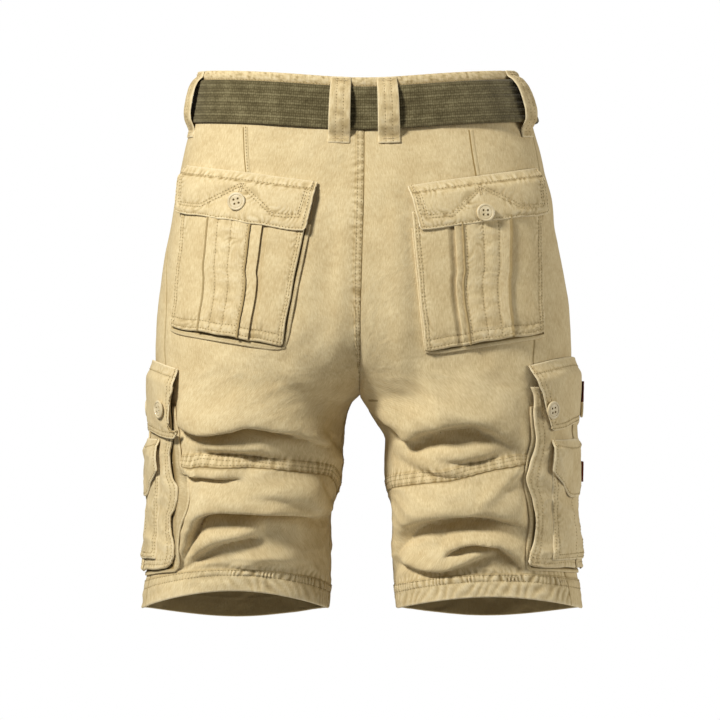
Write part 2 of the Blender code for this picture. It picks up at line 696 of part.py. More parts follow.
def buckle():
    """A slide buckle: a flat metal sleeve round both layers of the belt."""
    turns = np.linspace(turn_after(FRONT, -BUCKLE_HALF), turn_after(FRONT, BUCKLE_HALF), 7)
    low, high = BELT_HEIGHTS
    stack = 2 * BELT_THICKNESS + LAY_GAP

    def ring(margin):
        near, far = -margin, stack + margin
        bottom, top = low - margin, high + margin
        corners = ((near, bottom), (far, bottom), (far, top), (near, top))
        return [waist_point(turns, h, BELT_LIFT + lift + belt_slack(turns, h)) for lift, h in corners]

    hollow = np.stack(ring(BUCKLE_PLAY), axis=1)
    outside = np.stack(ring(BUCKLE_PLAY + BUCKLE_METAL_THICKNESS), axis=1)
    stations = len(turns)
    points = np.concatenate([outside.reshape(-1, 3), hollow.reshape(-1, 3)])
    faces = []
    for i in range(4):
        j = (i + 1) % 4
        for station in range(stations - 1):
            a, b = station * 4, (station + 1) * 4
            faces.append([a + i, a + j, b + j, b + i])
            faces.append([index + stations * 4 for index in (b + i, b + j, a + j, a + i)])
        for a in (0, (stations - 1) * 4):
            faces.append([a + i, a + j, a + j + stations * 4, a + i + stations * 4])
    add_object("belt_buckle", closed_mesh("belt_buckle", points, faces), BUCKLE_METAL)


def belt_loops():
    for name, degrees in LOOPS.items():
        middle = math.radians(degrees)
        turns = np.array([turn_after(middle, -LOOP_WIDTH / 2), middle, turn_after(middle, LOOP_WIDTH / 2)])
        heights = np.array([row[0] for row in LOOP_PATH]) * MM
        over_belt = BELT_LIFT + BELT_THICKNESS + LAY_GAP + belt_slack(np.full(len(heights), middle), heights)
        panel_lift, band_lift = LAY_GAP, BAND_LIFT[1] + LAY_GAP
        bases = {"band": band_lift + 0 * heights, "belt": over_belt, "panel": panel_lift + 0 * heights}
        bases["between"] = (over_belt + panel_lift) / 2
        lift = np.array([bases[kind][i] + extra * MM for i, (_, kind, extra) in enumerate(LOOP_PATH)])
        grid_turn, grid_height = np.meshgrid(turns, heights)
        grid_lift = np.repeat(lift[:, None], 3, axis=1)
        inner = waist_point(grid_turn, grid_height, grid_lift)
        outer = loop_outer(inner)
        wall(name, outer, inner, TWILL)


def loop_outer(inner):
    """A loop's outer face: its inner face moved out square to its own bend."""
    along = np.gradient(inner, axis=0)
    across = np.gradient(inner, axis=1)
    out = np.cross(across, along)
    out /= np.linalg.norm(out, axis=-1, keepdims=True)
    outwards = np.sum(out[:, 1, :2] * inner[:, 1, :2])
    return inner + out * math.copysign(LOOP_THICKNESS, outwards)


def fly():
    """The placket on the left front, the zip's tape behind the opening and its slider."""
    rows = np.array(FLY_ROWS) * MM
    heights = np.linspace(rows[0, 0], rows[-1, 0], FLY_STATIONS)
    widths = np.interp(-heights, -rows[:, 0], rows[:, 1])
    share, height = np.meshgrid(np.linspace(0, 1, 5), heights)
    turns = angle_at("left", SEAM_GAP + widths[:, None] * share, height, "front")
    outer = lifted("left", turns, height, LAY_GAP + WALL)
    inner = lifted("left", turns, height, LAY_GAP)
    wall("fly_placket", kept_on_side("left", outer), kept_on_side("left", inner), TWILL)
    heights = np.linspace(ZIP_HEIGHTS[0], ZIP_HEIGHTS[1], FLY_STATIONS) * MM
    tape_lift = -WALL - LAY_GAP - ZIP_TAPE_GAP
    grid_x, grid_height = np.meshgrid(np.array(ZIP_ACROSS) * MM, heights)
    turns = np.where(
        grid_x > 0,
        angle_at("left", np.abs(grid_x), grid_height, "front"),
        math.pi - angle_at("right", np.abs(grid_x), grid_height, "front"),
    )
    tape_back = tape_lift - ZIP_TAPE_THICKNESS
    front, back = (waist_point(turns, grid_height, lift) for lift in (tape_lift, tape_back))
    wall("zip_tape", front, back, ZIP_TAPE)
    slider = [
        waist_point(FRONT + shift, height * MM, tape_back - SLIDER_GAP - depth)
        for depth in (0.0, SLIDER_DEPTH)
        for height in SLIDER_HEIGHTS
        for shift in (-SLIDER_TURN, SLIDER_TURN)
    ]
    faces = ((0, 1, 3, 2), (4, 6, 7, 5), (0, 4, 5, 1), (2, 3, 7, 6), (0, 2, 6, 4), (1, 5, 7, 3))
    add_object("zip_slider", closed_mesh("zip_slider", slider, faces), ZIP_METAL)


# ---------------------------------------------------------------- pockets and buttons

def corner_grid(side, corners, columns, rows):
    """Angles and heights between four corners, by share of the width from the outside and of the depth."""
    (x0, z0), (x1, z1), (x2, z2), (x3, z3) = np.array(corners) * MM
    s, t = np.meshgrid(columns, rows)
    z_outer, z_inner = z0 + (z3 - z0) * t, z1 + (z2 - z1) * t
    outer = angle_at(side, x0 + (x3 - x0) * t, z_outer)
    inner = angle_at(side, x1 + (x2 - x1) * t, z_inner)
    return outer + (inner - outer) * s, z_outer + (z_inner - z_outer) * s


def pleat_raise(columns, start, end):
    """The box pleat stands over the pouch between two shares of its width."""
    rise = smooth(columns, start - PLEAT_EDGE, start)
    return PLEAT_RAISE * rise * (1 - smooth(columns, end, end + PLEAT_EDGE))


def pleat_columns(start, end):
    """Columns of a pouch, with a pair at each edge of its pleat."""
    return np.concatenate([
        np.linspace(0, start - PLEAT_EDGE, 4),
        np.linspace(start, end, 5),
        np.linspace(end + PLEAT_EDGE, 1, 5),
    ])


def folded_gusset(name, side, angle, height):
    """A folded bellows strip that runs down one edge of a pouch, under it and up the other."""
    rows, columns = angle.shape
    path = [(i, 0) for i in range(rows)] + [(rows - 1, i) for i in range(1, columns)]
    path += [(i, columns - 1) for i in range(rows - 2, -1, -1)]
    centre = (angle.mean(), height.mean())
    rings = []
    for row, column in path:
        edge = (angle[row, column], height[row, column])
        per_metre = gusset_scale(side, edge)
        inward = np.array([
            (centre[0] - edge[0]) / per_metre if column in (0, columns - 1) else 0.0,
            centre[1] - edge[1] if row == rows - 1 else 0.0,
        ])
        inward = np.sign(inward) * np.array([per_metre, 1.0])
        near = np.array(edge) + inward * GUSSET_INSET
        far = np.array(edge) + inward * (GUSSET_INSET + GUSSET_WIDTH)
        rings.append([
            lifted(side, near[0], near[1], GUSSET_LIFT[0]), lifted(side, near[0], near[1], GUSSET_LIFT[1]),
            lifted(side, far[0], far[1], GUSSET_LIFT[1]), lifted(side, far[0], far[1], GUSSET_LIFT[0]),
        ])
    sweep(name, np.array(rings), TWILL)


def gusset_scale(side, edge):
    """Angle per metre of cloth at a point."""
    ends = base_point(side, np.array([edge[0], edge[0] + 0.01]), np.array([edge[1], edge[1]]))
    return 0.01 / float(np.linalg.norm(ends[1] - ends[0]))


def flap_lift(rows, sewn_to):
    """A flap's inner face is sewn down along its top and rises over its pouch."""
    return LAY_GAP + (FLAP_LIFT[0] - LAY_GAP) * smooth(rows, 0.0, sewn_to)


def button(name, side, angle, height, lift):
    """A turned button with a rim and a dished middle, lying on the cloth."""
    points = [(share * BUTTON_RADIUS, 0.0, part * BUTTON_THICKNESS) for share, part in BUTTON_PROFILE]
    mesh = bpy.data.meshes.new(name)
    mesh.from_pydata(points, [(i, i + 1) for i in range(len(points) - 1)], [])
    made = bpy.data.objects.new(name, mesh)
    COLLECTION.objects.link(made)
    mesh.materials.append(material(BUTTON_PLASTIC))
    turn = made.modifiers.new("turn", "SCREW")
    turn.steps = turn.render_steps = BUTTON_STEPS
    turn.use_merge_vertices = True
    turn.merge_threshold = 0.00005
    turn.use_smooth_shade = True
    point = lifted(side, angle, height, lift)
    out = surface_normal(base_point, side, np.array([angle]), np.array([height]))[0]
    facing = Vector(out).to_track_quat("Z", "Y").to_matrix().to_4x4()
    made.matrix_world = Matrix.Translation(Vector(point)) @ facing


def back_pockets():
    for side, sizes in BACK_POCKETS.items():
        start, end = sizes["pleat"]
        columns = pleat_columns(start, end)
        rows = np.linspace(0, 1, 8)
        angle, height = corner_grid(side, sizes["pouch"], columns, rows)
        raised = np.broadcast_to(pleat_raise(columns, start, end), angle.shape)
        outer = lifted(side, angle, height, POUCH_LIFT[1] + raised)
        wall(f"back_pocket_{side}", outer, lifted(side, angle, height, POUCH_LIFT[0]), TWILL)
        folded_gusset(f"back_gusset_{side}", side, angle, height)
        columns, rows = np.linspace(0, 1, 13), np.array(BACK_FLAP_ROWS)
        angle, height = corner_grid(side, sizes["flap"], columns, rows)
        rise = flap_lift(rows, FLAP_SEWN) + PLEAT_RAISE * smooth(rows, 0, FLAP_SEWN)
        lift = np.broadcast_to(rise[:, None], angle.shape)
        upper = lifted(side, angle, height, lift + FLAP_THICKNESS)
        wall(f"back_flap_{side}", upper, lifted(side, angle, height, lift), TWILL)
        x, z = sizes["button"]
        on_flap = FLAP_LIFT[1] + PLEAT_RAISE + LAY_GAP + BUTTON_PLAY
        button(f"back_button_{side}", side, float(angle_at(side, x * MM, z * MM)), z * MM, on_flap)


def cargo_grid(side, edge, width_top, width_bottom, columns, rows):
    """Angles and heights of a piece that runs forward from a slanting back edge."""
    (x_top, z_top), (x_bottom, z_bottom) = edge
    ends = []
    for x, z, width in ((x_top, z_top, width_top), (x_bottom, z_bottom, width_bottom)):
        back = float(angle_at(side, x * MM, z * MM))
        ends.append((back, angle_after(side, back, z * MM, -width), z * MM))
    s, t = np.meshgrid(columns, rows)
    back = ends[0][0] + (ends[1][0] - ends[0][0]) * t
    front = ends[0][1] + (ends[1][1] - ends[0][1]) * t
    return back + (front - back) * s, ends[0][2] + (ends[1][2] - ends[0][2]) * t


def cargo_pockets():
    for side, sizes in CARGO_POCKETS.items():
        columns, rows = np.linspace(0, 1, 12), np.linspace(0, 1, 9)
        angle, height = cargo_grid(side, sizes["pouch"], CARGO_WIDTH, CARGO_WIDTH, columns, rows)
        outer = lifted(side, angle, height, POUCH_LIFT[1])
        wall(f"cargo_pocket_{side}", outer, lifted(side, angle, height, POUCH_LIFT[0]), TWILL)
        folded_gusset(f"cargo_gusset_{side}", side, angle, height)
        columns, rows = np.linspace(0, 1, 12), np.array(CARGO_FLAP_ROWS)
        edge = sizes["flap"]
        slant = abs(edge[0][0] - edge[1][0]) * MM
        width = CARGO_WIDTH + CARGO_FLAP_EXTRA
        angle, height = cargo_grid(side, edge, width, width - slant - CARGO_FLAP_TAPER, columns, rows)
        height = height + CARGO_FLAP_ARCH * np.sin(math.pi * columns)[None, :]
        lift = np.broadcast_to(flap_lift(rows, CARGO_FLAP_SEWN)[:, None], angle.shape)
        upper = lifted(side, angle, height, lift + FLAP_THICKNESS)
        wall(f"cargo_flap_{side}", upper, lifted(side, angle, height, lift), TWILL)
        x, z = sizes["button"]
        on_flap = FLAP_LIFT[1] + LAY_GAP + BUTTON_PLAY
        behind = float(angle_at(side, x * MM, z * MM))
        button(f"cargo_button_{side}", side, behind, z * MM, on_flap)
        ahead = angle_after(side, behind, z * MM, -BUTTON_SPREAD)
        button(f"cargo_button_front_{side}", side, ahead, z * MM, on_flap)
        small_pocket(side, sizes["pouch"])


def small_pocket(side, pouch_edge):
    """The slim pocket on the cargo pouch, and its pointed flap."""
    middle = sum(SMALL_HEIGHTS) / 2
    back = float(angle_at(side, (pouch_edge[0][0] + pouch_edge[1][0]) / 2 * MM, middle))
    start = angle_after(side, back, middle, -SMALL_SET_BACK)
    end = angle_after(side, start, middle, -SMALL_WIDTH)
    columns, rows = np.linspace(0, 1, 7), np.linspace(0, 1, 7)
    s, t = np.meshgrid(columns, rows)
    angle = start + (end - start) * s
    height = SMALL_HEIGHTS[0] + (SMALL_HEIGHTS[1] - SMALL_HEIGHTS[0]) * t
    low, high = SMALL_POCKET_LIFT
    wall(f"small_pocket_{side}", lifted(side, angle, height, high), lifted(side, angle, height, low), TWILL)
    columns, rows = np.array(SMALL_FLAP_COLUMNS), np.array([0, SMALL_FLAP_SEWN, 0.45, 0.7, 1.0])
    corners = (SMALL_FLAP_SIDE, SMALL_FLAP_POINT, SMALL_FLAP_POINT, SMALL_FLAP_SIDE)
    lower = np.interp(columns, SMALL_FLAP_CORNERS, corners)
    s, t = np.meshgrid(columns, rows)
    margin = SMALL_FLAP_MARGIN
    angle = start + margin + (end - start - 2 * margin) * s
    height = SMALL_FLAP_TOP + (lower[None, :] - SMALL_FLAP_TOP) * t
    sewn = POUCH_LIFT[1] + LAY_GAP
    rise = sewn + (SMALL_FLAP_LIFT[0] - sewn) * smooth(t, 0.0, SMALL_FLAP_SEWN)
    upper = lifted(side, angle, height, rise + FLAP_THICKNESS)
    wall(f"small_flap_{side}", upper, lifted(side, angle, height, rise), TWILL)


def tabs():
    """Plain woven tabs at the front edges of the right side's flaps."""
    for name, middle, lift in TABS:
        angle = np.array([TAB_ANGLES, TAB_ANGLES])
        high, low = middle + TAB_LENGTH / 2, middle - TAB_LENGTH / 2
        height = np.array([[high, high], [low, low]])
        inner = lifted("right", angle, height, lift + TAB_GAP)
        wall(name, lifted("right", angle, height, lift + TAB_GAP + TAB_THICKNESS), inner, TAB_CLOTH)


def waist_button():
    across, height = np.array(WAIST_BUTTON) * MM
    angle = float(angle_at("left", across, height, "front"))
    button("waist_button", "left", angle, height, BAND_LIFT[1] + LAY_GAP)


def clear_scene():
    for item in list(bpy.data.objects):
        bpy.data.objects.remove(item, do_unlink=True)


clear_scene()
COLLECTION = bpy.data.collections.new("cargo_shorts")
bpy.context.scene.collection.children.link(COLLECTION)
panels()
waistband()
belt()
buckle()
belt_loops()
fly()
back_pockets()
cargo_pockets()
tabs()
waist_button()
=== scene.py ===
"""Looks of the cargo shorts: khaki cotton twill with a webbing belt, bellows pockets and puckered seams.

Each sub-assembly is a class that holds its sizes, builds its pieces on the garment's filled-out surface and
dresses them. Sizes are in metres unless a table says mm. +Z is up, +Y the back, +X the wearer's left.
"""

import logging
import math
from dataclasses import dataclass, field
from enum import Enum
from typing import Callable, ClassVar, Iterable, NamedTuple, Sequence

import bmesh
import bpy
import numpy as np
from mathutils import Matrix, Vector


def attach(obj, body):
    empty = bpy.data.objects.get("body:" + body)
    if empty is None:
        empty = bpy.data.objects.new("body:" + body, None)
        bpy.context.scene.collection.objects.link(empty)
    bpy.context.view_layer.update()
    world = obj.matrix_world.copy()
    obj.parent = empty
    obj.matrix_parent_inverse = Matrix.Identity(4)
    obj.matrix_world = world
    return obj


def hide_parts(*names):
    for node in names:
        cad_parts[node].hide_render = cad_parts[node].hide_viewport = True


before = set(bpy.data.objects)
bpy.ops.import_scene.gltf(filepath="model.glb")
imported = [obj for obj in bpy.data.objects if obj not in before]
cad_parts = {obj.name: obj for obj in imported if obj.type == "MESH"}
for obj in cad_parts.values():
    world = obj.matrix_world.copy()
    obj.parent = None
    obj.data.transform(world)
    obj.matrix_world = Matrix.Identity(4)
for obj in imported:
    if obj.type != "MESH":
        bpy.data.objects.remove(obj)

log = logging.getLogger("cargo_shorts")
Array = np.ndarray
MM = 0.001
BODY = "root"


class Side(Enum):
    """A half of the garment, named by the wearer's side."""

    LEFT = "left"
    RIGHT = "right"

    @property
    def sign(self) -> int:
        """+1 on the wearer's left and -1 on the right."""
        return 1 if self is Side.LEFT else -1


class Face(Enum):
    """The back or the front of the garment."""

    BACK = "back"
    FRONT = "front"

    @property
    def sign(self) -> int:
        """+1 at the back and -1 at the front."""
        return 1 if self is Face.BACK else -1


class Slot(Enum):
    """The record's material slots."""

    TWILL = "twill"
    WEBBING = "webbing"
    BUTTON = "button"
    BUCKLE = "buckle_metal"
    ZIP_TAPE = "zip_tape"
    ZIP_BRASS = "zip_brass"
    TAB = "tab"


# ---------------------------------------------------------------- sizes of the garment

INNER_SHADE = -0.7  # painted shade: the wrong side of the cloth is drawn darker, as the inside of the garment lies in shade
SEAM_GAP = 0.06 * MM
LAY_GAP = 0.4 * MM
STITCH_LIFT = 0.15 * MM
TACK_LIFT = 0.25 * MM
WALL = 1.4 * MM
WAIST_BOTTOM = -26 * MM
CROTCH = -297 * MM
CROTCH_AT_OUTSEAM = -292 * MM
HEM = -510 * MM
HEM_EXTRA = 0.8 * MM
HEM_TURN = (26.2 * MM, 27.0 * MM)  # above the edge, where the turned-up cloth ends
SEAT_CURVE = 115 * MM
LEG_SHIFT = 4 * MM
SHIFT_RANGE = (-250 * MM, -50 * MM)
ROUNDNESS = 2.3
OUTSEAM_RADIUS = 100 * MM
INSEAM_RADIUS = 62.5 * MM
FRONT_TURN = -math.pi / 2
WAIST_DIP = {Face.BACK: 10 * MM, Face.FRONT: 26 * MM}
DIP_RANGE = (-150 * MM, -20 * MM)
HEM_LIFT = {
    Side.LEFT: {Face.BACK: 21 * MM, Face.FRONT: -13 * MM},
    Side.RIGHT: {Face.BACK: 15 * MM, Face.FRONT: -12 * MM},
}
HEM_LIFT_RANGE = 70 * MM

# height, half-width left, half-width right, depth at the back, depth at the front, in mm
BODY_ROWS = (
    (25, 163, 151, 90, 92),
    (0, 167, 161, 94, 95),
    (-30, 173, 169, 98, 98),
    (-53, 179, 175, 104, 101),
    (-73, 183, 180, 110, 103),
    (-103, 188, 188, 119, 107),
    (-133, 192, 192, 127, 110),
    (-173, 198, 201, 134, 113),
    (-213, 202, 208, 136, 114),
    (-253, 204, 211, 133, 113),
    (-293, 203, 210, 127, 110),
    (-340, 202, 208, 118, 106),
    (-400, 202, 207, 108, 100),
    (-450, 207, 212, 99, 93),
    (-485, 214, 218, 94, 88),
    (-515, 218, 222, 93, 85),
)
# height and distance of the inner thigh from the centre plane, in mm
INNER_ROWS = {
    Side.LEFT: (
        (-297, 0), (-304, 7.5), (-315, 12.5), (-335, 16), (-363, 17.5), (-385, 19),
        (-405, 26), (-425, 30.5), (-463, 29), (-503, 31), (-525, 35),
    ),
    Side.RIGHT: (
        (-297, 0), (-304, 5), (-313, 8.5), (-325, 16), (-343, 25), (-363, 24.5),
        (-385, 25.5), (-405, 30.5), (-425, 35), (-463, 33), (-503, 36), (-525, 40),
    ),
}
# height in mm and angle of the outseam behind the widest line, in degrees
OUTSEAM_ROWS = {
    Side.LEFT: ((25, -6), (-115, 3), (-250, 25), (-275, 31), (-330, 32), (-515, 22)),
    Side.RIGHT: ((25, 4), (-115, 16), (-240, 40), (-275, 50), (-330, 46), (-515, 34)),
}
INSEAM_ROWS = {
    Side.LEFT: ((-297, 180), (-345, 168), (-515, 170)),
    Side.RIGHT: ((-297, 180), (-345, 178), (-515, 178)),
}
# share of the back panel's width from the outseam, and height of the knee seam in mm
KNEE_ROWS = {
    Side.LEFT: ((0, -370), (0.25, -364), (0.5, -369), (0.8, -377), (1, -397)),
    Side.RIGHT: ((0, -364), (0.2, -365), (0.45, -380), (0.7, -387), (0.85, -391), (1, -396)),
}


class Crease(NamedTuple):
    """A fold whose crest runs through points, with a soft slope above it and a steep one below.

    Points are (distance from the centre plane, height, depth) in mm. An upright crease runs down the cloth,
    and its soft slope lies on its outer side.
    """

    side: Side
    face: Face
    points: tuple[tuple[float, float, float], ...]
    above: float
    below: float
    hollow: float = 0.45
    upright: bool = False


L, R, BACK, FRONT = Side.LEFT, Side.RIGHT, Face.BACK, Face.FRONT
CREASES = (
    # back of the left leg, from the crotch down
    Crease(L, BACK, ((186, -316, 3), (172, -321, 8), (152, -326, 11), (126, -321, 12), (112, -317, 11.5),
                     (80, -323, 10), (51, -331, 6), (26, -337, 0)), 22, 6),
    Crease(L, BACK, ((166, -342, 0), (148, -344, 4), (118, -345, 5), (90, -348, 3), (70, -352, 0)), 9, 6),
    Crease(L, BACK, ((176, -366, 2), (160, -369, 6), (140, -371, 6), (122, -371, 3), (108, -370, 0)), 10, 4),
    Crease(L, BACK, ((120, -384, 0), (100, -381, 2.5), (76, -384, 3), (52, -391, 2), (40, -396, 0)), 9, 6),
    Crease(L, BACK, ((178, -446, 2), (170, -430, 7), (154, -406, 11), (126, -401, 12.5), (104, -401, 12.5),
                     (80, -403, 12), (60, -406, 9), (42, -409, 4), (30, -412, 0)), 21, 6),
    Crease(L, BACK, ((174, -456, 2), (160, -446, 5), (142, -436, 6.5), (120, -430, 6.5), (104, -428, 5), (92, -430, 0)),
           10, 6),
    Crease(L, BACK, ((128, -466, 0), (104, -458, 4), (80, -455, 4.5), (54, -459, 3), (38, -464, 0)), 12, 8, 0.2),
    Crease(L, BACK, ((47, -376, 0), (45, -385, 5), (40, -398, 6), (34, -409, 5), (30, -418, 0)), 14, 5, 0.35, True),
    Crease(L, BACK, ((50, -326, 0), (45, -335, 4.5), (36, -348, 6), (26, -361, 5), (19, -371, 2)), 15, 6, 0.35, True),
    Crease(L, BACK, ((90, -357, 0), (104, -359, -3), (118, -357, 0)), 5, 5, 0),
    # back of the right leg
    Crease(R, BACK, ((4, -298, 5), (27, -313, 8), (44, -325, 7), (54, -332, 3), (62, -337, 0)), 15, 6),
    Crease(R, BACK, ((44, -330, 2), (54, -324, 7), (70, -317, 10), (90, -312, 11), (110, -312, 11),
                     (126, -317, 9.5), (144, -325, 6), (160, -334, 2)), 20, 11),
    Crease(R, BACK, ((70, -348, 0), (84, -352, 3), (104, -353, 4), (126, -349, 3.5), (146, -341, 0)), 8, 6),
    Crease(R, BACK, ((30, -344, 0), (44, -352, 2.5), (64, -363, 3.5), (88, -367, 2.5), (108, -365, 0)), 11, 6),
    Crease(R, BACK, ((32, -438, 3), (38, -427, 7), (50, -414, 10), (77, -404, 11.5), (100, -401, 12),
                     (124, -402, 11), (150, -407, 7), (168, -412, 2)), 20, 10),
    Crease(R, BACK, ((80, -448, 0), (91, -442, 6), (106, -436, 8), (117, -434, 8.5), (134, -437, 8),
                     (150, -448, 6), (162, -459, 3)), 11, 5),
    Crease(R, BACK, ((32, -453, 2), (42, -457, 5), (60, -462, 6.5), (78, -464, 6), (98, -458, 5.5),
                     (117, -450, 5), (137, -444, 0)), 11, 5),
    Crease(R, BACK, ((168, -362, 2), (150, -372, 4), (130, -386, 4), (112, -394, 0)), 10, 7, 0.2),
    # seat, soft and steep lines
    Crease(L, BACK, ((40, -60, 0), (48, -130, 1.6), (56, -200, 2.0), (64, -260, 1.2), (70, -300, 0)), 14, 14, 0, True),
    Crease(L, BACK, ((16, -90, 0), (18, -180, 1.4), (24, -250, 1.2), (30, -285, 0)), 9, 9, 0, True),
    Crease(R, BACK, ((28, -60, 0), (34, -160, 1.6), (40, -240, 2.0), (44, -310, 0)), 12, 12, 0, True),
    Crease(R, BACK, ((60, -262, 0), (70, -285, 2.2), (80, -310, 2.0), (88, -332, 0)), 10, 8, 0.1, True),
    Crease(L, BACK, ((100, -262, 0), (74, -276, 1.0), (44, -290, 1.4), (12, -298, 1.2)), 9, 7, 0.2),
    Crease(L, BACK, ((150, -258, 0), (126, -270, 1.0), (100, -284, 1.1), (70, -298, 0)), 10, 8, 0.2),
    Crease(R, BACK, ((150, -258, 0), (128, -272, 0.9), (104, -286, 0.8), (88, -300, 0)), 10, 8, 0.2),
    # fronts
    Crease(L, FRONT, ((170, -346, 4), (130, -336, 9), (90, -339, 11), (50, -346, 8), (24, -350, 0)), 22, 7),
    Crease(L, FRONT, ((176, -402, 0), (140, -396, 7), (104, -391, 9), (66, -388, 8), (30, -384, 4)), 18, 7),
    Crease(L, FRONT, ((160, -448, 0), (120, -440, 8), (84, -437, 10), (50, -441, 8), (30, -447, 4)), 18, 7),
    Crease(R, FRONT, ((172, -326, 4), (138, -330, 9), (100, -332, 11), (56, -337, 8), (26, -343, 0)), 22, 7),
    Crease(R, FRONT, ((160, -378, 3), (120, -382, 8), (86, -386, 9), (54, -392, 7), (32, -400, 3)), 18, 7),
    Crease(R, FRONT, ((178, -442, 4), (140, -436, 8), (104, -437, 9), (70, -442, 6), (44, -448, 0)), 17, 7),
    Crease(L, FRONT, ((52, -50, 0), (58, -140, 2.0), (68, -230, 2.6), (80, -330, 0)), 16, 14, 0, True),
    Crease(R, FRONT, ((58, -50, 0), (66, -150, 2.2), (76, -240, 2.6), (86, -330, 0)), 16, 14, 0, True),
    Crease(L, FRONT, ((110, -270, 0), (80, -282, 3.0), (46, -292, 4.0), (8, -298, 2)), 12, 8, 0.2),
    Crease(R, FRONT, ((112, -266, 0), (82, -280, 3.0), (44, -290, 4.0), (8, -297, 2)), 12, 8, 0.2),
)
CREASE_FACING = 0.6  # how soon a crease dies out round a leg's sides
CREASE_DEPTH = 1.3
CRISP = 0.3  # a crease with at least this hollow rolls under and ends in a sharp line
TUCK = 1.7  # where that line lies, in times the crease's lower width
DROOP = 0.55  # a crest hangs this much of its depth down over its own slope

# Where a side pocket holds its panel smooth: fade round the leg in radians, above and below the pouch in mm
COVER_TURN = (0.04, 0.16)
COVER_OVER = (20 * MM, 50 * MM)
COVER_UNDER = (-24 * MM, -4 * MM)

# Belt, band and loops
BAND_LIFT = (-1.5 * MM, 1.0 * MM)
BELT_HEIGHTS = (-27.5 * MM, 15 * MM)
BELT_THICKNESS = 2.2 * MM
BELT_LIFT = 1.6 * MM
BUTTON_SLACK, BUTTON_SLACK_TURN = 7.3 * MM, 0.42
SIDE_SLACK, SIDE_SLACK_TURN, SIDE_SLACK_RANGE = 3.2 * MM, 0.55, (-20 * MM, 30 * MM)

# Pockets
POUCH_LIFT = 5.6 * MM
FLAP_THICKNESS = 1.6 * MM
FLAP_SEWN = LAY_GAP + FLAP_THICKNESS + 0.4 * MM  # lift of a flap's outer face where it is sewn down
CARGO_EDGE = {Side.LEFT: ((180, -290), (183, -474)), Side.RIGHT: ((168, -290), (168, -471))}
CARGO_WIDTH = 158 * MM
FLAP_BAND = 8.4 * MM  # a flap's row of stitches below its top
FLAP_BAND_FOOT = (9.0 * MM, 10.0 * MM)
WAIST_BUTTON = (12, -7)  # across and height, in mm


def smooth(value: Array | float, start: float, end: float) -> Array:
    """0 before start, 1 after end and a soft step between them."""
    s = np.clip((value - start) / (end - start), 0, 1)
    return s * s * (3 - 2 * s)


def bell(value: Array | float, middle: Array | float, width: float, power: float = 2) -> Array:
    """1 at a middle and 0 away from it."""
    return np.exp(-(np.abs((value - middle) / width) ** power))


def fade(distance: Array | float, reach: float) -> Array:
    """1 at an edge and 0 away from it."""
    return np.exp(-distance / reach)


def swing(turns: Array) -> Array:
    """A wave from -1 to 1, by its turns."""
    return np.sin(2 * math.pi * turns)


def matched(*values: Array | float) -> list[Array]:
    """Numbers and grids as grids of one shape."""
    return np.broadcast_arrays(*(np.asarray(value, float) for value in values))


def linked(name: str, data: bpy.types.ID) -> bpy.types.Object:
    """A new object in the scene."""
    made = bpy.data.objects.new(name, data)
    bpy.context.scene.collection.objects.link(made)
    return made


class Curve:
    """A smooth curve through rows of (position, value) that never swings past them."""

    def __init__(self, rows: Iterable[Sequence[float]], scale: float = 1.0, unit: float = MM) -> None:
        """Sets the curve up.

        Args:
            rows: pairs of position and value.
            scale: factor for the values.
            unit: factor for the positions.
        """
        points = sorted((row[0] * unit, row[1] * scale) for row in rows)
        self.x, self.y = np.array(points, float).T
        slope = np.diff(self.y) / np.diff(self.x)
        tangent = np.concatenate([slope[:1], (slope[1:] + slope[:-1]) / 2, slope[-1:]])
        for i in range(len(slope)):
            before = slope[i - 1] if i else slope[0]
            if before * slope[i] <= 0:
                tangent[i] = 0.0
            limit = 3 * abs(slope[i])
            tangent[i] = max(-limit, min(limit, tangent[i]))
            tangent[i + 1] = max(-limit, min(limit, tangent[i + 1]))
        self.tangent = tangent

    def __call__(self, position: Array | float) -> Array:
        """The value at a position."""
        position = np.clip(position, self.x[0], self.x[-1])
        i = np.clip(np.searchsorted(self.x, position) - 1, 0, len(self.x) - 2)
        width = self.x[i + 1] - self.x[i]
        s = (position - self.x[i]) / width
        ease = s * s * (3 - 2 * s)
        lead = s * (1 - s) ** 2 * width * self.tangent[i]
        tail = s * s * (1 - s) * width * self.tangent[i + 1]
        return self.y[i] * (1 - ease) + self.y[i + 1] * ease + lead - tail


class Noise:
    """Smooth seeded noise over a plane, from -1 to 1."""

    def __init__(self, seed: int, size: int = 64) -> None:
        """Draws the lattice's slopes.

        Args:
            seed: number that fixes the pattern.
            size: cells before the pattern repeats.
        """
        angle = np.random.default_rng(seed).uniform(0, 2 * math.pi, (size, size))
        self.slope = np.stack([np.cos(angle), np.sin(angle)], axis=-1)
        self.size = size

    def __call__(self, u: Array, v: Array) -> Array:
        """The noise at points given in cells."""
        u, v = matched(u, v)
        iu, iv = np.floor(u).astype(int), np.floor(v).astype(int)
        fu, fv = u - iu, v - iv
        total = np.zeros(u.shape)
        for du in (0, 1):
            for dv in (0, 1):
                slope = self.slope[(iu + du) % self.size, (iv + dv) % self.size]
                x, y = fu - du, fv - dv
                reach = np.clip(1 - x * x, 0, 1) ** 3 * np.clip(1 - y * y, 0, 1) ** 3
                total = total + reach * (slope[..., 0] * x + slope[..., 1] * y)
        return total * 1.6


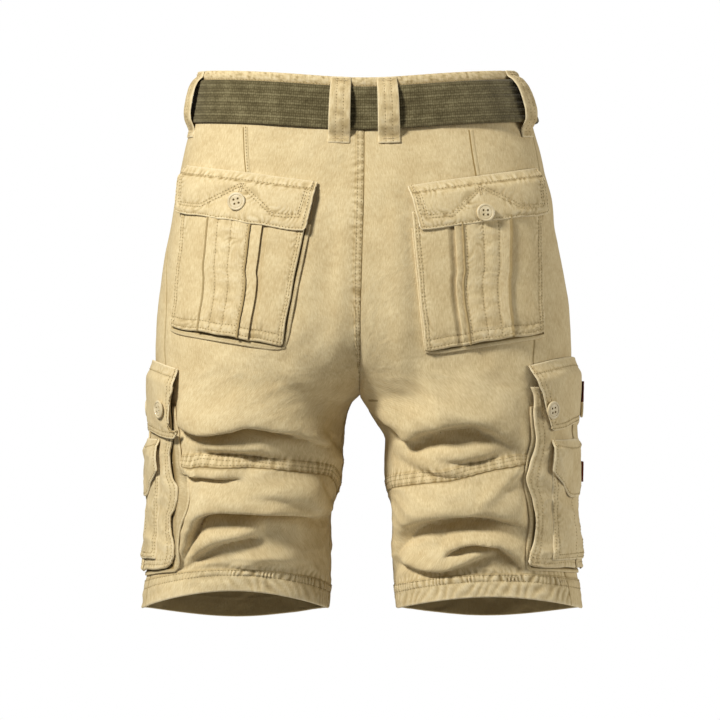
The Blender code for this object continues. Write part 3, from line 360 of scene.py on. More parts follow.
class Garment:
    """The garment's outer surface, by half, angle round the half's centre and height."""

    def __init__(self) -> None:
        """Makes the curves of the body and of each crease."""
        self.outer = {side: Curve([(row[0], row[i]) for row in BODY_ROWS], MM) for side, i in ((L, 1), (R, 2))}
        self.depth = {face: Curve([(row[0], row[i]) for row in BODY_ROWS], MM) for face, i in ((BACK, 3), (FRONT, 4))}
        self.inner = {side: Curve(rows, MM) for side, rows in INNER_ROWS.items()}
        self.outseam = {side: Curve(rows, math.pi / 180) for side, rows in OUTSEAM_ROWS.items()}
        self.inseam = {side: Curve(rows, math.pi / 180) for side, rows in INSEAM_ROWS.items()}
        self.crests = []
        for crease in CREASES:
            rows = [(z, x) if crease.upright else (x, z) for x, z, _ in crease.points]
            depths = [(z if crease.upright else x, depth) for x, z, depth in crease.points]
            self.crests.append((crease, Curve(rows, MM), Curve(depths, MM)))
        self.noise = {name: Noise(seed) for seed, name in enumerate(("broad", "crease", "fine", "bend", "pucker"), 11)}
        self.cargo = {side: self._cargo_angles(side) for side in Side}

    def section(self, side: Side, height: Array) -> tuple[Array, Array, Array]:
        """Centre, half-width and split of a section, which turns from half a hip into a leg."""
        split = np.clip((CROTCH + SEAT_CURVE - height) / SEAT_CURVE, 0, 1) ** 1.6
        outer = self.outer[side](height)
        inner = np.where(height < CROTCH, self.inner[side](height), 0.0)
        half = np.where(height < CROTCH, (outer - inner) / 2, outer / (1 + split))
        centre = np.where(height < CROTCH, (outer + inner) / 2, split * half)
        return centre, half, split

    def inner_angle(self, side: Side, face: Face, height: Array) -> Array:
        """Angle of the centre seam above the crotch and of the inseam below it."""
        centre, _, split = self.section(side, height)
        depth = self.depth[face](height)
        seam = np.arctan2(depth * (1 - split**ROUNDNESS) ** (1 / ROUNDNESS), -centre)
        inseam = self.inseam[side](height)
        if face is BACK:
            return np.where(height > CROTCH, seam, inseam)
        return np.where(height > CROTCH, -seam, inseam - 2 * math.pi)

    @staticmethod
    def leg_shift(height: Array) -> Array:
        """How far the middle lies to the left at a height."""
        return LEG_SHIFT * (1 - smooth(height, *SHIFT_RANGE))

    def base(self, side: Side, angle: Array, height: Array) -> Array:
        """The filled-out garment without any fold."""
        centre, half, _ = self.section(side, height)
        sine, cosine = np.sin(angle), np.cos(angle)
        depth = np.where(sine > 0, self.depth[BACK](height), self.depth[FRONT](height))
        radius = (np.abs(cosine / half) ** ROUNDNESS + np.abs(sine / depth) ** ROUNDNESS) ** (-1 / ROUNDNESS)
        across = centre + radius * cosine
        dip = np.where(sine > 0, WAIST_DIP[BACK], WAIST_DIP[FRONT]) * sine**2 * smooth(height, *DIP_RANGE)
        lift = np.where(sine > 0, HEM_LIFT[side][BACK], HEM_LIFT[side][FRONT]) * sine**2
        z = height - dip + lift * (1 - smooth(height, HEM, HEM + HEM_LIFT_RANGE))
        return np.stack([self.leg_shift(height) + side.sign * across, radius * sine, z], axis=-1)

    @staticmethod
    def normal(point: Callable[[Side, Array, Array], Array], side: Side, angle: Array, height: Array,
               reach: float = 1.0) -> Array:
        """Outward direction of a surface.

        Args:
            point: the surface, as a function of side, angle and height.
            side: the half.
            angle: angles round the half's centre.
            height: heights.
            reach: step in millimetres over which the slope is taken.

        Returns:
            Unit vectors.
        """
        turn, rise = 1e-2 * reach, 1e-3 * reach
        along = point(side, angle + turn, height) - point(side, angle - turn, height)
        up = point(side, angle, height + rise) - point(side, angle, height - rise)
        out = np.cross(along, up) * side.sign
        return out / np.linalg.norm(out, axis=-1, keepdims=True)

    def folds(self, side: Side, angle: Array, height: Array) -> Array:
        """How far the creases stand out of the filled-out garment."""
        place = self.base(side, angle, height)
        across = np.abs(place[..., 0] - self.leg_shift(height))
        z = place[..., 2]
        sine = np.sin(angle)
        total = np.zeros(np.shape(z))
        for crease, crest, depth in self.crests:
            if crease.side is not side:
                continue
            along, level = (z, across) if crease.upright else (across, z)
            step = 0.5 * MM
            slope = (crest(along + step) - crest(along - step)) / (2 * step)
            rise = (level - crest(along)) / np.sqrt(1 + slope**2)
            ends = depth.x
            inside = smooth(along, ends[0] - 12 * MM, ends[0] + 3 * MM) * (
                1 - smooth(along, ends[-1] - 3 * MM, ends[-1] + 12 * MM))
            above, below = crease.above * MM, crease.below * MM
            soft = bell(rise, 0, above)
            if crease.hollow < CRISP:
                steep = (1 + crease.hollow) * bell(rise, 0, below)
                steep = steep - crease.hollow * bell(rise, 0, 3 * below)
            else:
                under = -rise / below
                steep = (1 - np.clip(under / TUCK, 0, 1) ** 2) ** 0.65
                steep = steep - crease.hollow * bell(under, TUCK, 1.0) * smooth(under, 0, TUCK)
            facing = np.clip(sine * crease.face.sign, 0, 1) ** CREASE_FACING
            total = total + CREASE_DEPTH * depth(along) * inside * facing * np.where(rise > 0, soft, steep)
        return total

    def cover(self, side: Side, angle: Array, height: Array) -> Array:
        """1 under a side pocket, where the panel lies smooth, and 0 away from it."""
        back, front = self.cargo[side]
        start, end = COVER_TURN
        turn = (1 - smooth(angle, back + start, back + end)) * smooth(angle, front - end, front - start)
        (_, top), (_, bottom) = CARGO_EDGE[side]
        over = smooth(height - top * MM, *COVER_OVER)
        under = smooth(height - bottom * MM, *COVER_UNDER)
        return turn * (1 - over) * under

    def _cargo_angles(self, side: Side) -> tuple[float, float]:
        """Angles of a side pocket's back and front edges at its middle."""
        (x_top, z_top), (x_bottom, z_bottom) = CARGO_EDGE[side]
        middle = (z_top + z_bottom) / 2 * MM
        back = float(self.angle_at(side, (x_top + x_bottom) / 2 * MM, middle))
        return back, self.angle_after(side, back, middle, -CARGO_WIDTH)

    def form(self, side: Side, angle: Array, height: Array) -> Array:
        """The outer face with its main folds, which hang a little over their own undersides."""
        angle, height = matched(angle, height)
        relief = self.folds(side, angle, height) * (1 - self.cover(side, angle, height))
        out = self.normal(self.base, side, angle, height, 0.1)
        point = self.base(side, angle, height) + out * relief[..., None]
        point[..., 2] -= DROOP * np.clip(relief - 2 * MM, 0, None)
        return point

    def wrinkles(self, side: Side, angle: Array, height: Array) -> Array:
        """Small creases of washed cotton: upright on the seat and lying round the legs."""
        u = angle * 105 * MM + (0.7 if side is R else 0.0)
        v = height
        legs = 1 - smooth(height, CROTCH - 20 * MM, CROTCH + 60 * MM)
        bend = self.noise["bend"](u / 0.060, v / 0.060) * 0.5
        seat = self.noise["crease"](u / 0.026 + bend, v / 0.060 + bend)
        leg = self.noise["crease"](u / 0.058 + bend, v / 0.017 + 2 * bend)
        ridge = 0.35 - np.abs(seat * (1 - legs) + leg * legs)
        broad = self.noise["broad"](u / 0.050, v / 0.045) * 1.2 * MM
        fine = self.noise["fine"](u / 0.011 + bend, v / 0.009) * 0.13 * MM
        held = 1 - 0.7 * self.cover(side, angle, height)
        return (broad + ridge * (0.8 + 1.3 * legs) * MM + fine) * held

    def cloth(self, side: Side, angle: Array, height: Array) -> Array:
        """The outer face with its folds and wrinkles."""
        angle, height = matched(angle, height)
        out = self.normal(self.form, side, angle, height, 0.5)
        return self.form(side, angle, height) + out * self.wrinkles(side, angle, height)[..., None]

    def lifted(self, side: Side, angle: Array, height: Array, lift: Array | float) -> Array:
        """A point that stands a distance off the folded face, measured square to it."""
        angle, height, lift = matched(angle, height, lift)
        out = self.normal(self.form, side, angle, height, 1.0)
        return self.form(side, angle, height) + out * lift[..., None]

    def angle_at(self, side: Side, across: Array, height: Array, face: Face = BACK) -> Array:
        """Angle of the point at a distance from the centre plane, on the back or the front."""
        centre, half, _ = self.section(side, height)
        share = np.clip((across - centre) / half, -1, 1)
        depth = self.depth[face](height) * (1 - np.abs(share) ** ROUNDNESS) ** (1 / ROUNDNESS)
        return np.arctan2(face.sign * depth, share * half)

    def angle_after(self, side: Side, angle: float, height: float, distance: float) -> float:
        """The angle that lies a distance further along the cloth from another."""
        angles = angle + np.linspace(0, math.copysign(3.2, distance), 1200)
        line = self.base(side, angles, np.full(1200, height))
        return float(np.interp(abs(distance), arc_length(line), angles))

    def kept_on_side(self, side: Side, points: Array) -> Array:
        """Points moved off the centre plane where the two thighs touch."""
        middle = self.leg_shift(points[..., 2])
        distance = (points[..., 0] - middle) * side.sign
        points = points.copy()
        points[..., 0] = middle + side.sign * np.maximum(distance, SEAM_GAP / 2)
        return points

    def waist(self, turn: Array, height: Array, lift: Array) -> Array:
        """A point round the waist, by the angle from the left side round the back."""
        turn, height, lift = matched(turn, height, lift)
        left = self.lifted(L, turn, height, lift)
        right = self.lifted(R, math.pi - turn, height, lift)
        return np.where(np.cos(turn)[..., None] > 0, left, right)

    def turn_after(self, turn: float, distance: float) -> float:
        """The turn that lies a distance round the waist from another."""
        turns = turn + np.linspace(0, math.copysign(1.0, distance), 200)
        return float(np.interp(abs(distance), arc_length(self.waist(turns, 0.0, 0.0)), turns))


def arc_length(line: Array) -> Array:
    """Length along a line of points, from its first."""
    return np.concatenate([[0], np.cumsum(np.linalg.norm(np.diff(line, axis=0), axis=1))])


def nearest(values: Array, value: float) -> int:
    """Index of the value that lies nearest to another."""
    return int(np.argmin(np.abs(values - value)))


def belt_slack(turns: Array, height: Array) -> Array:
    """How far the belt stands off the band over the waist button and at the right side."""
    side = bell(turns, math.pi, SIDE_SLACK_TURN) * smooth(-height, *SIDE_SLACK_RANGE)
    from_front = np.abs((turns - FRONT_TURN + math.pi) % (2 * math.pi) - math.pi)
    return SIDE_SLACK * side + BUTTON_SLACK * bell(from_front, 0, BUTTON_SLACK_TURN)


# ---------------------------------------------------------------- seams drawn on a piece

class SeamField:
    """Stitched lines on a flat piece: they hold it down, and the cloth puckers beside them and puffs between."""

    def __init__(self, lines: Sequence[Array], noise: Noise, puff: float = 0.9 * MM, pucker: float = 0.25 * MM,
                 groove: float = 0.35 * MM, reach: float = 7 * MM) -> None:
        """Keeps the lines and the depths.

        Args:
            lines: lines of (u, v) points in metres on the piece.
            noise: noise that makes the puckers uneven.
            puff: how far the cloth stands up between the lines.
            pucker: height of the ripples beside a line.
            groove: depth of the line itself.
            reach: distance over which the cloth rises.
        """
        self.lines = [np.asarray(line, float) for line in lines]
        self.noise, self.puff, self.pucker, self.groove, self.reach = noise, puff, pucker, groove, reach

    def nearest(self, u: Array, v: Array) -> tuple[Array, Array]:
        """Distance to the nearest line, and the way along it."""
        best = np.full(np.shape(u), 1.0)
        along = np.zeros(np.shape(u))
        start = 0.0
        for line in self.lines:
            for a, b in zip(line[:-1], line[1:]):
                step = b - a
                length = float(np.hypot(*step)) + 1e-9
                share = np.clip(((u - a[0]) * step[0] + (v - a[1]) * step[1]) / length**2, 0, 1)
                distance = np.hypot(u - a[0] - share * step[0], v - a[1] - share * step[1])
                left = (step[0] * (v - a[1]) - step[1] * (u - a[0])) > 0
                nearer = distance < best
                best = np.where(nearer, distance, best)
                along = np.where(nearer, start + share * length + left * 31.7 * MM, along)
                start += length
        return best, along

    def __call__(self, u: Array, v: Array) -> tuple[Array, Array]:
        """Height of the cloth over the plain piece, and its painted tone: shade in the groove and pucker troughs,
        highlight on crests.
        """
        distance, along = self.nearest(u, v)
        rise = self.puff * (1 - bell(distance, 0, self.reach, 1.3))
        phase = along / (8.5 * MM) + 1.9 * self.noise(along / 0.023, distance / 0.014)
        near = fade(distance, 4.5 * MM) * (1 - fade(distance, 0.8 * MM))
        strength = 0.2 + 1.8 * np.abs(self.noise(along / 0.031, 3.3))
        ripple = self.pucker * near * swing(phase) * strength
        groove = bell(distance, 0, 0.9 * MM)
        return rise + ripple - self.groove * groove, ripple / (0.5 * MM) - 0.4 * groove


# ---------------------------------------------------------------- meshes

def indices(rows: int, columns: int, closed: bool = False) -> Array:
    """Indices of a grid of points, whose rows may close on their first point."""
    index = np.arange(rows * columns).reshape(rows, columns)
    return np.concatenate([index, index[:, :1]], axis=1) if closed else index


def cells(index: Array) -> Array:
    """Quads between neighbours of a grid of indices."""
    return np.stack([index[:-1, :-1], index[:-1, 1:], index[1:, 1:], index[1:, :-1]], axis=-1).reshape(-1, 4)


def run_along(points: Array, axis: int) -> Array:
    """Length along every row or column of a grid of points, from its first."""
    steps = np.linalg.norm(np.diff(points, axis=axis), axis=2)
    return np.concatenate([np.zeros_like(np.take(steps, [0], axis)), np.cumsum(steps, axis=axis)], axis=axis)


def signed_volume(points: Array, quads: Array) -> float:
    """Volume inside a closed mesh, negative where its faces point inwards."""
    a, b, c, d = (points[quads[:, i]] for i in range(4))
    return float(np.sum(np.cross(a, b) * c) + np.sum(np.cross(a, c) * d))


class Look(NamedTuple):
    """What a mesh carries besides its points: cloth coordinates in metres, and how worn each point is with its painted
    shade and highlight.
    """

    uv: Array
    wear_and_shading: Array


def mesh_object(name: str, points: Array, quads: Array, material: bpy.types.Material,
                look: Look | None = None, sharp: float = 60.0) -> bpy.types.Object:
    """A smooth object from points and quads, with its faces pointing out.

    Args:
        name: name of the piece.
        points: N by 3 points.
        quads: M by 4 indices of a closed mesh.
        material: its finish.
        look: cloth coordinates of the points, with their wear and painted shading.
        sharp: edges that turn more than this many degrees stay sharp.

    Returns:
        The object, linked to the scene.
    """
    if signed_volume(points, quads) < 0:
        quads = quads[:, ::-1]
    mesh = bpy.data.meshes.new(name)
    mesh.vertices.add(len(points))
    mesh.vertices.foreach_set("co", np.asarray(points, np.float32).ravel())
    mesh.loops.add(quads.size)
    mesh.loops.foreach_set("vertex_index", quads.astype(np.int32).ravel())
    mesh.polygons.add(len(quads))
    mesh.polygons.foreach_set("loop_start", np.arange(0, quads.size, 4, dtype=np.int32))
    mesh.update(calc_edges=True)
    if look is not None:
        layer = mesh.uv_layers.new(name="cloth")
        layer.data.foreach_set("uv", np.asarray(look.uv, np.float32)[quads.ravel()].ravel())
        wear_and_shading = mesh.attributes.new("wear_and_shading", "FLOAT", "POINT")
        wear_and_shading.data.foreach_set("value", np.asarray(look.wear_and_shading, np.float32).ravel())
    mesh.validate()
    mesh.materials.append(material)
    mesh.shade_smooth()
    mesh.set_sharp_from_angle(angle=math.radians(sharp))
    return linked(name, mesh)


def grid_normals(points: Array) -> Array:
    """Unit normals of a grid of points, by the right-hand rule from columns to rows."""
    along = np.gradient(points, axis=1)
    down = np.gradient(points, axis=0)
    out = np.cross(along, down)
    return out / np.maximum(np.linalg.norm(out, axis=-1, keepdims=True), 1e-12)


def outward_normals(points: Array, outwards: Array) -> Array:
    """Grid normals turned to the side that the middle of the grid faces."""
    out = grid_normals(points)
    facing = np.sum(out[out.shape[0] // 2] * outwards[out.shape[0] // 2])
    return out if facing > 0 else -out


def cloth_sheet(name: str, outer: Array, normals: Array, thickness: Array | float, material: bpy.types.Material,
                wear_and_shading: Array | float = 0.0, edge_wear: float = 1.0) -> bpy.types.Object:
    """A closed piece of cloth between an outer grid and the same grid moved in, with rounded edges.

    Args:
        name: name of the piece.
        outer: rows by columns by 3 points of the outer face.
        normals: outward unit normals of the same shape.
        thickness: thickness of the cloth.
        material: its finish.
        wear_and_shading: how worn the face is, with its painted shade and highlight, as one value or a grid.
        edge_wear: how worn its edges are, or 0 to leave them as the face.

    Returns:
        The object.
    """
    rows, columns = outer.shape[:2]
    thick = np.broadcast_to(np.asarray(thickness, float), (rows, columns))[..., None]
    inner = outer - normals * thick
    index = indices(rows, columns)
    border = np.concatenate([index[0, :-1], index[:-1, -1], index[-1, :0:-1], index[:0:-1, 0]])
    flat_outer, flat_inner = outer.reshape(-1, 3), inner.reshape(-1, 3)
    middle = (flat_outer[border] + flat_inner[border]) / 2
    tangent = np.roll(middle, -1, axis=0) - np.roll(middle, 1, axis=0)
    outwards = np.cross(tangent, normals.reshape(-1, 3)[border])
    outwards /= np.maximum(np.linalg.norm(outwards, axis=1, keepdims=True), 1e-12)
    centre = flat_outer.mean(axis=0)
    if np.sum(outwards * (middle - centre)) < 0:
        outwards = -outwards
    rim = middle + outwards * thick.reshape(-1, 1)[border] * 0.4
    points = np.concatenate([flat_outer, flat_inner, rim])
    count = rows * columns
    ring = 2 * count + np.arange(len(border))
    after = np.roll(border, -1)
    ring_after = np.roll(ring, -1)
    quads = np.concatenate([
        cells(index),
        cells(index + count)[:, ::-1],
        np.stack([border, ring, ring_after, after], axis=-1),
        np.stack([ring, border + count, after + count, ring_after], axis=-1),
    ])
    uv = np.stack([run_along(outer, 1), run_along(outer, 0)], axis=-1).reshape(-1, 2)
    worn = np.broadcast_to(np.asarray(wear_and_shading, float), (rows, columns)).reshape(-1).copy()
    if edge_wear > 0:
        worn[border] = np.maximum(worn[border], edge_wear)
    # the inner face carries painted shade
    look = Look(np.concatenate([uv, uv, uv[border]]), np.concatenate([worn, np.full(count, INNER_SHADE), worn[border]]))
    return mesh_object(name, points, quads, material, look)


def ring_mesh(rings: Array) -> tuple[Array, Array]:
    """Points and quads of a bar through rings of an even number of points, facing out."""
    stations, count = rings.shape[:2]
    quads = [cells(indices(stations, count, True))]
    for base, turn in ((0, -1), ((stations - 1) * count, 1)):
        caps = [[base + i, base + i + 1, base + count - 2 - i, base + count - 1 - i] for i in range(count // 2 - 1)]
        quads.append(np.array(caps)[:, ::turn])
    points, quads = rings.reshape(-1, 3), np.concatenate(quads)
    return points, (quads if signed_volume(points, quads) > 0 else quads[:, ::-1])


def sweep(name: str, rings: Array, material: bpy.types.Material, wear_and_shading: Array | float = 0.0,
          sharp: float = 60.0) -> bpy.types.Object:
    """A closed bar through a row of sections, each a ring of as many points.

    Args:
        name: name of the piece.
        rings: stations by points by 3.
        material: its finish.
        wear_and_shading: how worn each point of a ring is, with its painted shade and highlight.
        sharp: edges that turn more than this many degrees stay sharp.

    Returns:
        The object.
    """
    stations, count = rings.shape[:2]
    points, quads = ring_mesh(rings)
    along, around = arc_length(rings[:, 0]), run_along(rings, 1)
    uv = np.stack([np.repeat(along[:, None], count, axis=1), around], axis=-1).reshape(-1, 2)
    worn = np.broadcast_to(np.asarray(wear_and_shading, float), (stations, count)).reshape(-1)
    return mesh_object(name, points, quads, material, Look(uv, worn), sharp)


# ---------------------------------------------------------------- finishes

def linear(colour: str) -> tuple[float, float, float, float]:
    """An sRGB hex colour as linear light."""
    channels = [int(colour[i : i + 2], 16) / 255 for i in (0, 2, 4)]
    return (*(c / 12.92 if c <= 0.04045 else ((c + 0.055) / 1.055) ** 2.4 for c in channels), 1.0)


def add_node(tree: bpy.types.NodeTree, kind: str, values: dict | None = None, links: dict | None = None,
             stops: Sequence[tuple[float, str]] = (), **settings: object) -> bpy.types.Node:
    """Adds a node.

    Args:
        tree: the node tree.
        kind: the node's type.
        values: values of its input sockets, by name or number.
        links: output sockets that feed its inputs, by name or number.
        stops: (position, hex colour) of a colour ramp's stops.
        **settings: properties of the node.

    Returns:
        The node.
    """
    node = tree.nodes.new(kind)
    for name, value in settings.items():
        setattr(node, name, value)
    for name, value in (values or {}).items():
        node.inputs[name].default_value = value
    for name, output in (links or {}).items():
        tree.links.new(output, node.inputs[name])
    for number, (position, colour) in enumerate(stops):
        band = node.color_ramp.elements
        stop = band[number] if number < len(band) else band.new(position)
        stop.position, stop.color = position, linear(colour)
    return node


def new_material(name: str, **values: object) -> tuple[bpy.types.Material, bpy.types.NodeTree, bpy.types.Node]:
    """A material with its node tree and its shader, whose sockets get the values given by their names."""
    made = bpy.data.materials.new(name)
    made.use_nodes = True
    shader = made.node_tree.nodes["Principled BSDF"]
    for socket, value in values.items():
        shader.inputs[socket.replace("_", " ")].default_value = value
    return made, made.node_tree, shader


@dataclass(frozen=True)
class TwillFinish:
    """Garment-washed cotton twill: dull, slightly furry, paler where edges rub, with painted shade and highlight."""

    name: str = "cotton_twill_washed"
    dark: str = "C2AC80"
    mid: str = "CFBB8F"
    pale: str = "DBC99E"
    worn: str = "E7D9B6"
    # deep is the colour of the painted shade
    deep: str = "8C7547"
    roughness: float = 0.93
    wale: float = 1.3 * MM  # real wales are 0.5 mm apart, drawn coarser so that they show
    bump: float = 0.35 * MM
    crush: float = 1.6 * MM  # soft wrinkles too shallow to be built
    noises: tuple[tuple[float, ...], ...] = (  # scale per metre, detail, roughness and distortion
        (30.0, 5.0, 0.7), (190.0, 3.0, 0.6),  # dye clouded over 40 to 60 mm, and blotches of a few millimetres
        (240.0, 3.0), (950.0, 3.0, 0.65), (60.0, 4.0, 0.55, 0.7),  # rubbed spots, the weave's grain, crumpling
    )

    def make(self) -> bpy.types.Material:
        """Builds the material.

        Returns:
            The material, which reads the "cloth" UV map in metres and the "wear" attribute.
        """
        made, tree, shader = new_material(
            self.name, Roughness=self.roughness, Specular_IOR_Level=0.2, Sheen_Weight=0.12, Sheen_Roughness=0.5,
            Sheen_Tint=linear("E9DBB8"))
        uv = add_node(tree, "ShaderNodeUVMap", uv_map="cloth")
        cloud, blotch, patch, grain, crush = (
            add_node(tree, "ShaderNodeTexNoise", dict(zip(("Scale", "Detail", "Roughness", "Distortion"), values)),
                     {"Vector": uv.outputs[0]}).outputs["Fac"] for values in self.noises)
        stretched = add_node(tree, "ShaderNodeMapping", {"Scale": (900.0, 160.0, 1.0)}, {"Vector": uv.outputs[0]})
        yarn = add_node(tree, "ShaderNodeTexNoise", {"Scale": 1.0, "Detail": 2.0, "Roughness": 0.7},
                        {"Vector": stretched.outputs[0]})
        both = add_node(tree, "ShaderNodeMix", {"Factor": 0.55}, {"A": cloud, "B": yarn.outputs["Fac"]})
        mottled = add_node(tree, "ShaderNodeMix", {"Factor": 0.12}, {"A": both.outputs[0], "B": blotch})
        colour = add_node(tree, "ShaderNodeValToRGB", links={"Fac": mottled.outputs[0]},
                          stops=((0.4, self.dark), (0.5, self.mid), (0.6, self.pale)))
        # above 0 the attribute is cloth rubbed pale on edges, partly a painted highlight on ridges and puckers; below 0
        # it is painted shade in seams, grooves, gaps and gathers
        wear_and_shading = add_node(tree, "ShaderNodeAttribute", attribute_name="wear_and_shading")
        rub = add_node(tree, "ShaderNodeMath", {1: 1.25}, {0: patch}, operation="MULTIPLY")
        amount = add_node(tree, "ShaderNodeMath", links={0: wear_and_shading.outputs["Fac"], 1: rub.outputs[0]},
                          operation="MULTIPLY", use_clamp=True)
        rubbed_and_highlit = add_node(tree, "ShaderNodeMix", {"B": linear(self.worn)},
                          {"Factor": amount.outputs[0], "A": colour.outputs[0]}, data_type="RGBA")
        # below 0 the attribute lays painted shade in the deep colour
        painted_shade = add_node(tree, "ShaderNodeMath", {1: -1.0}, {0: wear_and_shading.outputs["Fac"]}, operation="MULTIPLY",
                        use_clamp=True)
        with_painted_shade = add_node(tree, "ShaderNodeMix", {"B": linear(self.deep)},
                        {"Factor": painted_shade.outputs[0], "A": rubbed_and_highlit.outputs["Result"]}, data_type="RGBA")
        tree.links.new(with_painted_shade.outputs["Result"], shader.inputs["Base Color"])
        # wales run at 63 degrees, and the weave between them breaks them into grains
        turned = add_node(tree, "ShaderNodeMapping", {"Rotation": (0, 0, math.radians(63))}, {"Vector": uv.outputs[0]})
        wales = add_node(tree, "ShaderNodeTexWave", {"Scale": 0.314 / self.wale, "Distortion": 1.2, "Detail": 1.0,
                                                     "Detail Scale": 2.0}, {"Vector": turned.outputs[0]})
        surface = add_node(tree, "ShaderNodeMix", {"Factor": 0.62}, {"A": wales.outputs["Fac"], "B": grain})
        soft = add_node(tree, "ShaderNodeBump", {"Strength": 0.6, "Distance": self.crush}, {"Height": crush})
        bump = add_node(tree, "ShaderNodeBump", {"Strength": 0.55, "Distance": self.bump},
                        {"Height": surface.outputs[0], "Normal": soft.outputs[0]})
        tree.links.new(bump.outputs[0], shader.inputs["Normal"])
        return made


@dataclass(frozen=True)
class WebbingFinish:
    """Cotton webbing with coarse ribs, olive, with a painted highlight along each rib and painted shade in the valley
    beside it.
    """

    name: str = "cotton_webbing"
    dark: str = "383018"
    mid: str = "5B5236"
    pale: str = "847B5A"
    roughness: float = 0.9

    def make(self) -> bpy.types.Material:
        """Builds the material."""
        made, tree, shader = new_material(self.name, Roughness=self.roughness, Specular_IOR_Level=0.2,
                                          Sheen_Weight=0.15)
        uv = add_node(tree, "ShaderNodeUVMap", uv_map="cloth")
        # the weft crosses the belt every 1.1 mm, drawn at 2.2 mm so that it shows, under pairs of twisted warp yarns
        stretched = add_node(tree, "ShaderNodeMapping", {"Scale": (450.0, 360.0, 1.0)}, {"Vector": uv.outputs[0]})
        weave = add_node(tree, "ShaderNodeTexVoronoi", {"Scale": 1.0, "Randomness": 0.3},
                         {"Vector": stretched.outputs[0]})
        cloud = add_node(tree, "ShaderNodeTexNoise", {"Scale": 60.0, "Detail": 4.0}, {"Vector": uv.outputs[0]})
        both = add_node(tree, "ShaderNodeMix", {"Factor": 0.5},
                        {"A": weave.outputs["Distance"], "B": cloud.outputs["Fac"]})
        # above 0 the attribute is a painted highlight on a rib, below 0 painted shade in the valley beside it
        wear_and_shading = add_node(tree, "ShaderNodeAttribute", attribute_name="wear_and_shading")
        shade = add_node(tree, "ShaderNodeMath", {1: -0.26}, {0: wear_and_shading.outputs["Fac"], 2: both.outputs[0]},
                         operation="MULTIPLY_ADD")
        colour = add_node(tree, "ShaderNodeValToRGB", links={"Fac": shade.outputs[0]},
                          stops=((0.2, self.pale), (0.44, self.mid), (0.72, self.dark)))
        tree.links.new(colour.outputs[0], shader.inputs["Base Color"])
        bump = add_node(tree, "ShaderNodeBump", {"Strength": 0.8, "Distance": 0.5 * MM},
                        {"Height": weave.outputs["Distance"]}, invert=True)
        tree.links.new(bump.outputs[0], shader.inputs["Normal"])
        return made


@dataclass(frozen=True)
class PlainFinish:
    """A finish of one colour with fine grain and slow clouds, for thread, buttons, metal, tape and tabs."""

    name: str
    dark: str
    pale: str
    roughness: float
    metallic: float = 0.0
    cloud: float = 150.0  # clouds per metre
    grain: float = 1500.0  # grains per metre
    bump: float = 0.05 * MM
    coat: float = 0.0

    def make(self) -> bpy.types.Material:
        """Builds the material on Object coordinates."""
        made, tree, shader = new_material(self.name, Roughness=self.roughness, Metallic=self.metallic,
                                          Coat_Weight=self.coat)
        place = {"Vector": add_node(tree, "ShaderNodeTexCoord").outputs["Object"]}
        cloud = add_node(tree, "ShaderNodeTexNoise", {"Scale": self.cloud, "Detail": 4.0}, place)
        colour = add_node(tree, "ShaderNodeValToRGB", links={"Fac": cloud.outputs["Fac"]},
                          stops=((0.38, self.dark), (0.62, self.pale)))
        tree.links.new(colour.outputs[0], shader.inputs["Base Color"])
        grain = add_node(tree, "ShaderNodeTexNoise", {"Scale": self.grain, "Detail": 2.0}, place)
        bump = add_node(tree, "ShaderNodeBump", {"Strength": 0.5, "Distance": self.bump},
                        {"Height": grain.outputs["Fac"]})
        tree.links.new(bump.outputs[0], shader.inputs["Normal"])
        return made


# spun polyester thread, dyed to match and a little paler than the cloth
THREAD = PlainFinish("spun_thread", "D6C296", "E8D8B0", 0.75, cloud=900.0, grain=3000.0)
# painted shade of a needle hole: a dark dot between two stitches, where the thread dips into the cloth's shadow
HOLE_SHADE = PlainFinish("needle_hole_shade", "7A663C", "8B764A", 0.95, cloud=600.0)
# cast polyester buttons, tumbled matt, with a faint horn-like cloud
BUTTON = PlainFinish("cast_polyester", "CDBB93", "DFD1AF", 0.5, cloud=120.0, bump=0.03 * MM, coat=0.1)
# steel plate with a bronze-coloured finish that has gone dull
BUCKLE = PlainFinish("bronzed_steel", "3E3826", "5A513A", 0.4, metallic=0.9, cloud=220.0)
# woven polyester tape
TAPE = PlainFinish("woven_tape", "A88F63", "BFA97C", 0.88, cloud=400.0, bump=0.1 * MM)
# brushed brass
BRASS = PlainFinish("brushed_brass", "9A7A3E", "B99752", 0.35, metallic=1.0, cloud=300.0)
# plain woven damask tab, dark red
TAB = PlainFinish("woven_damask", "5E231D", "7A2F26", 0.85, cloud=500.0, bump=0.1 * MM)


@dataclass
class Wardrobe:
    """Every finish of the garment, made once."""

    twill: bpy.types.Material = field(default_factory=lambda: TwillFinish().make())
    webbing: bpy.types.Material = field(default_factory=lambda: WebbingFinish().make())
    thread: bpy.types.Material = field(default_factory=THREAD.make)
    hole: bpy.types.Material = field(default_factory=HOLE_SHADE.make)
    button: bpy.types.Material = field(default_factory=BUTTON.make)
    buckle: bpy.types.Material = field(default_factory=BUCKLE.make)
    tape: bpy.types.Material = field(default_factory=TAPE.make)
    brass: bpy.types.Material = field(default_factory=BRASS.make)
    tab: bpy.types.Material = field(default_factory=TAB.make)


# ---------------------------------------------------------------- stitches

@dataclass(frozen=True)
class StitchKind:
    """One kind of sewing: pitch and size of each stitch."""

    pitch: float = 3.3 * MM
    length: float = 2.0 * MM
    width: float = 0.62 * MM
    height: float = 0.5 * MM
    hole: float = 0.8 * MM  # size of the dark dot of painted shade at each needle hole, or none


TOPSTITCH = StitchKind()
BAR_TACK = StitchKind(0.9 * MM, 0.75 * MM, 2.2 * MM, 0.6 * MM, 0.0)
ZIP_TEETH = StitchKind(2.2 * MM, 1.2 * MM, 5.0 * MM, 2.0 * MM, 0.0)


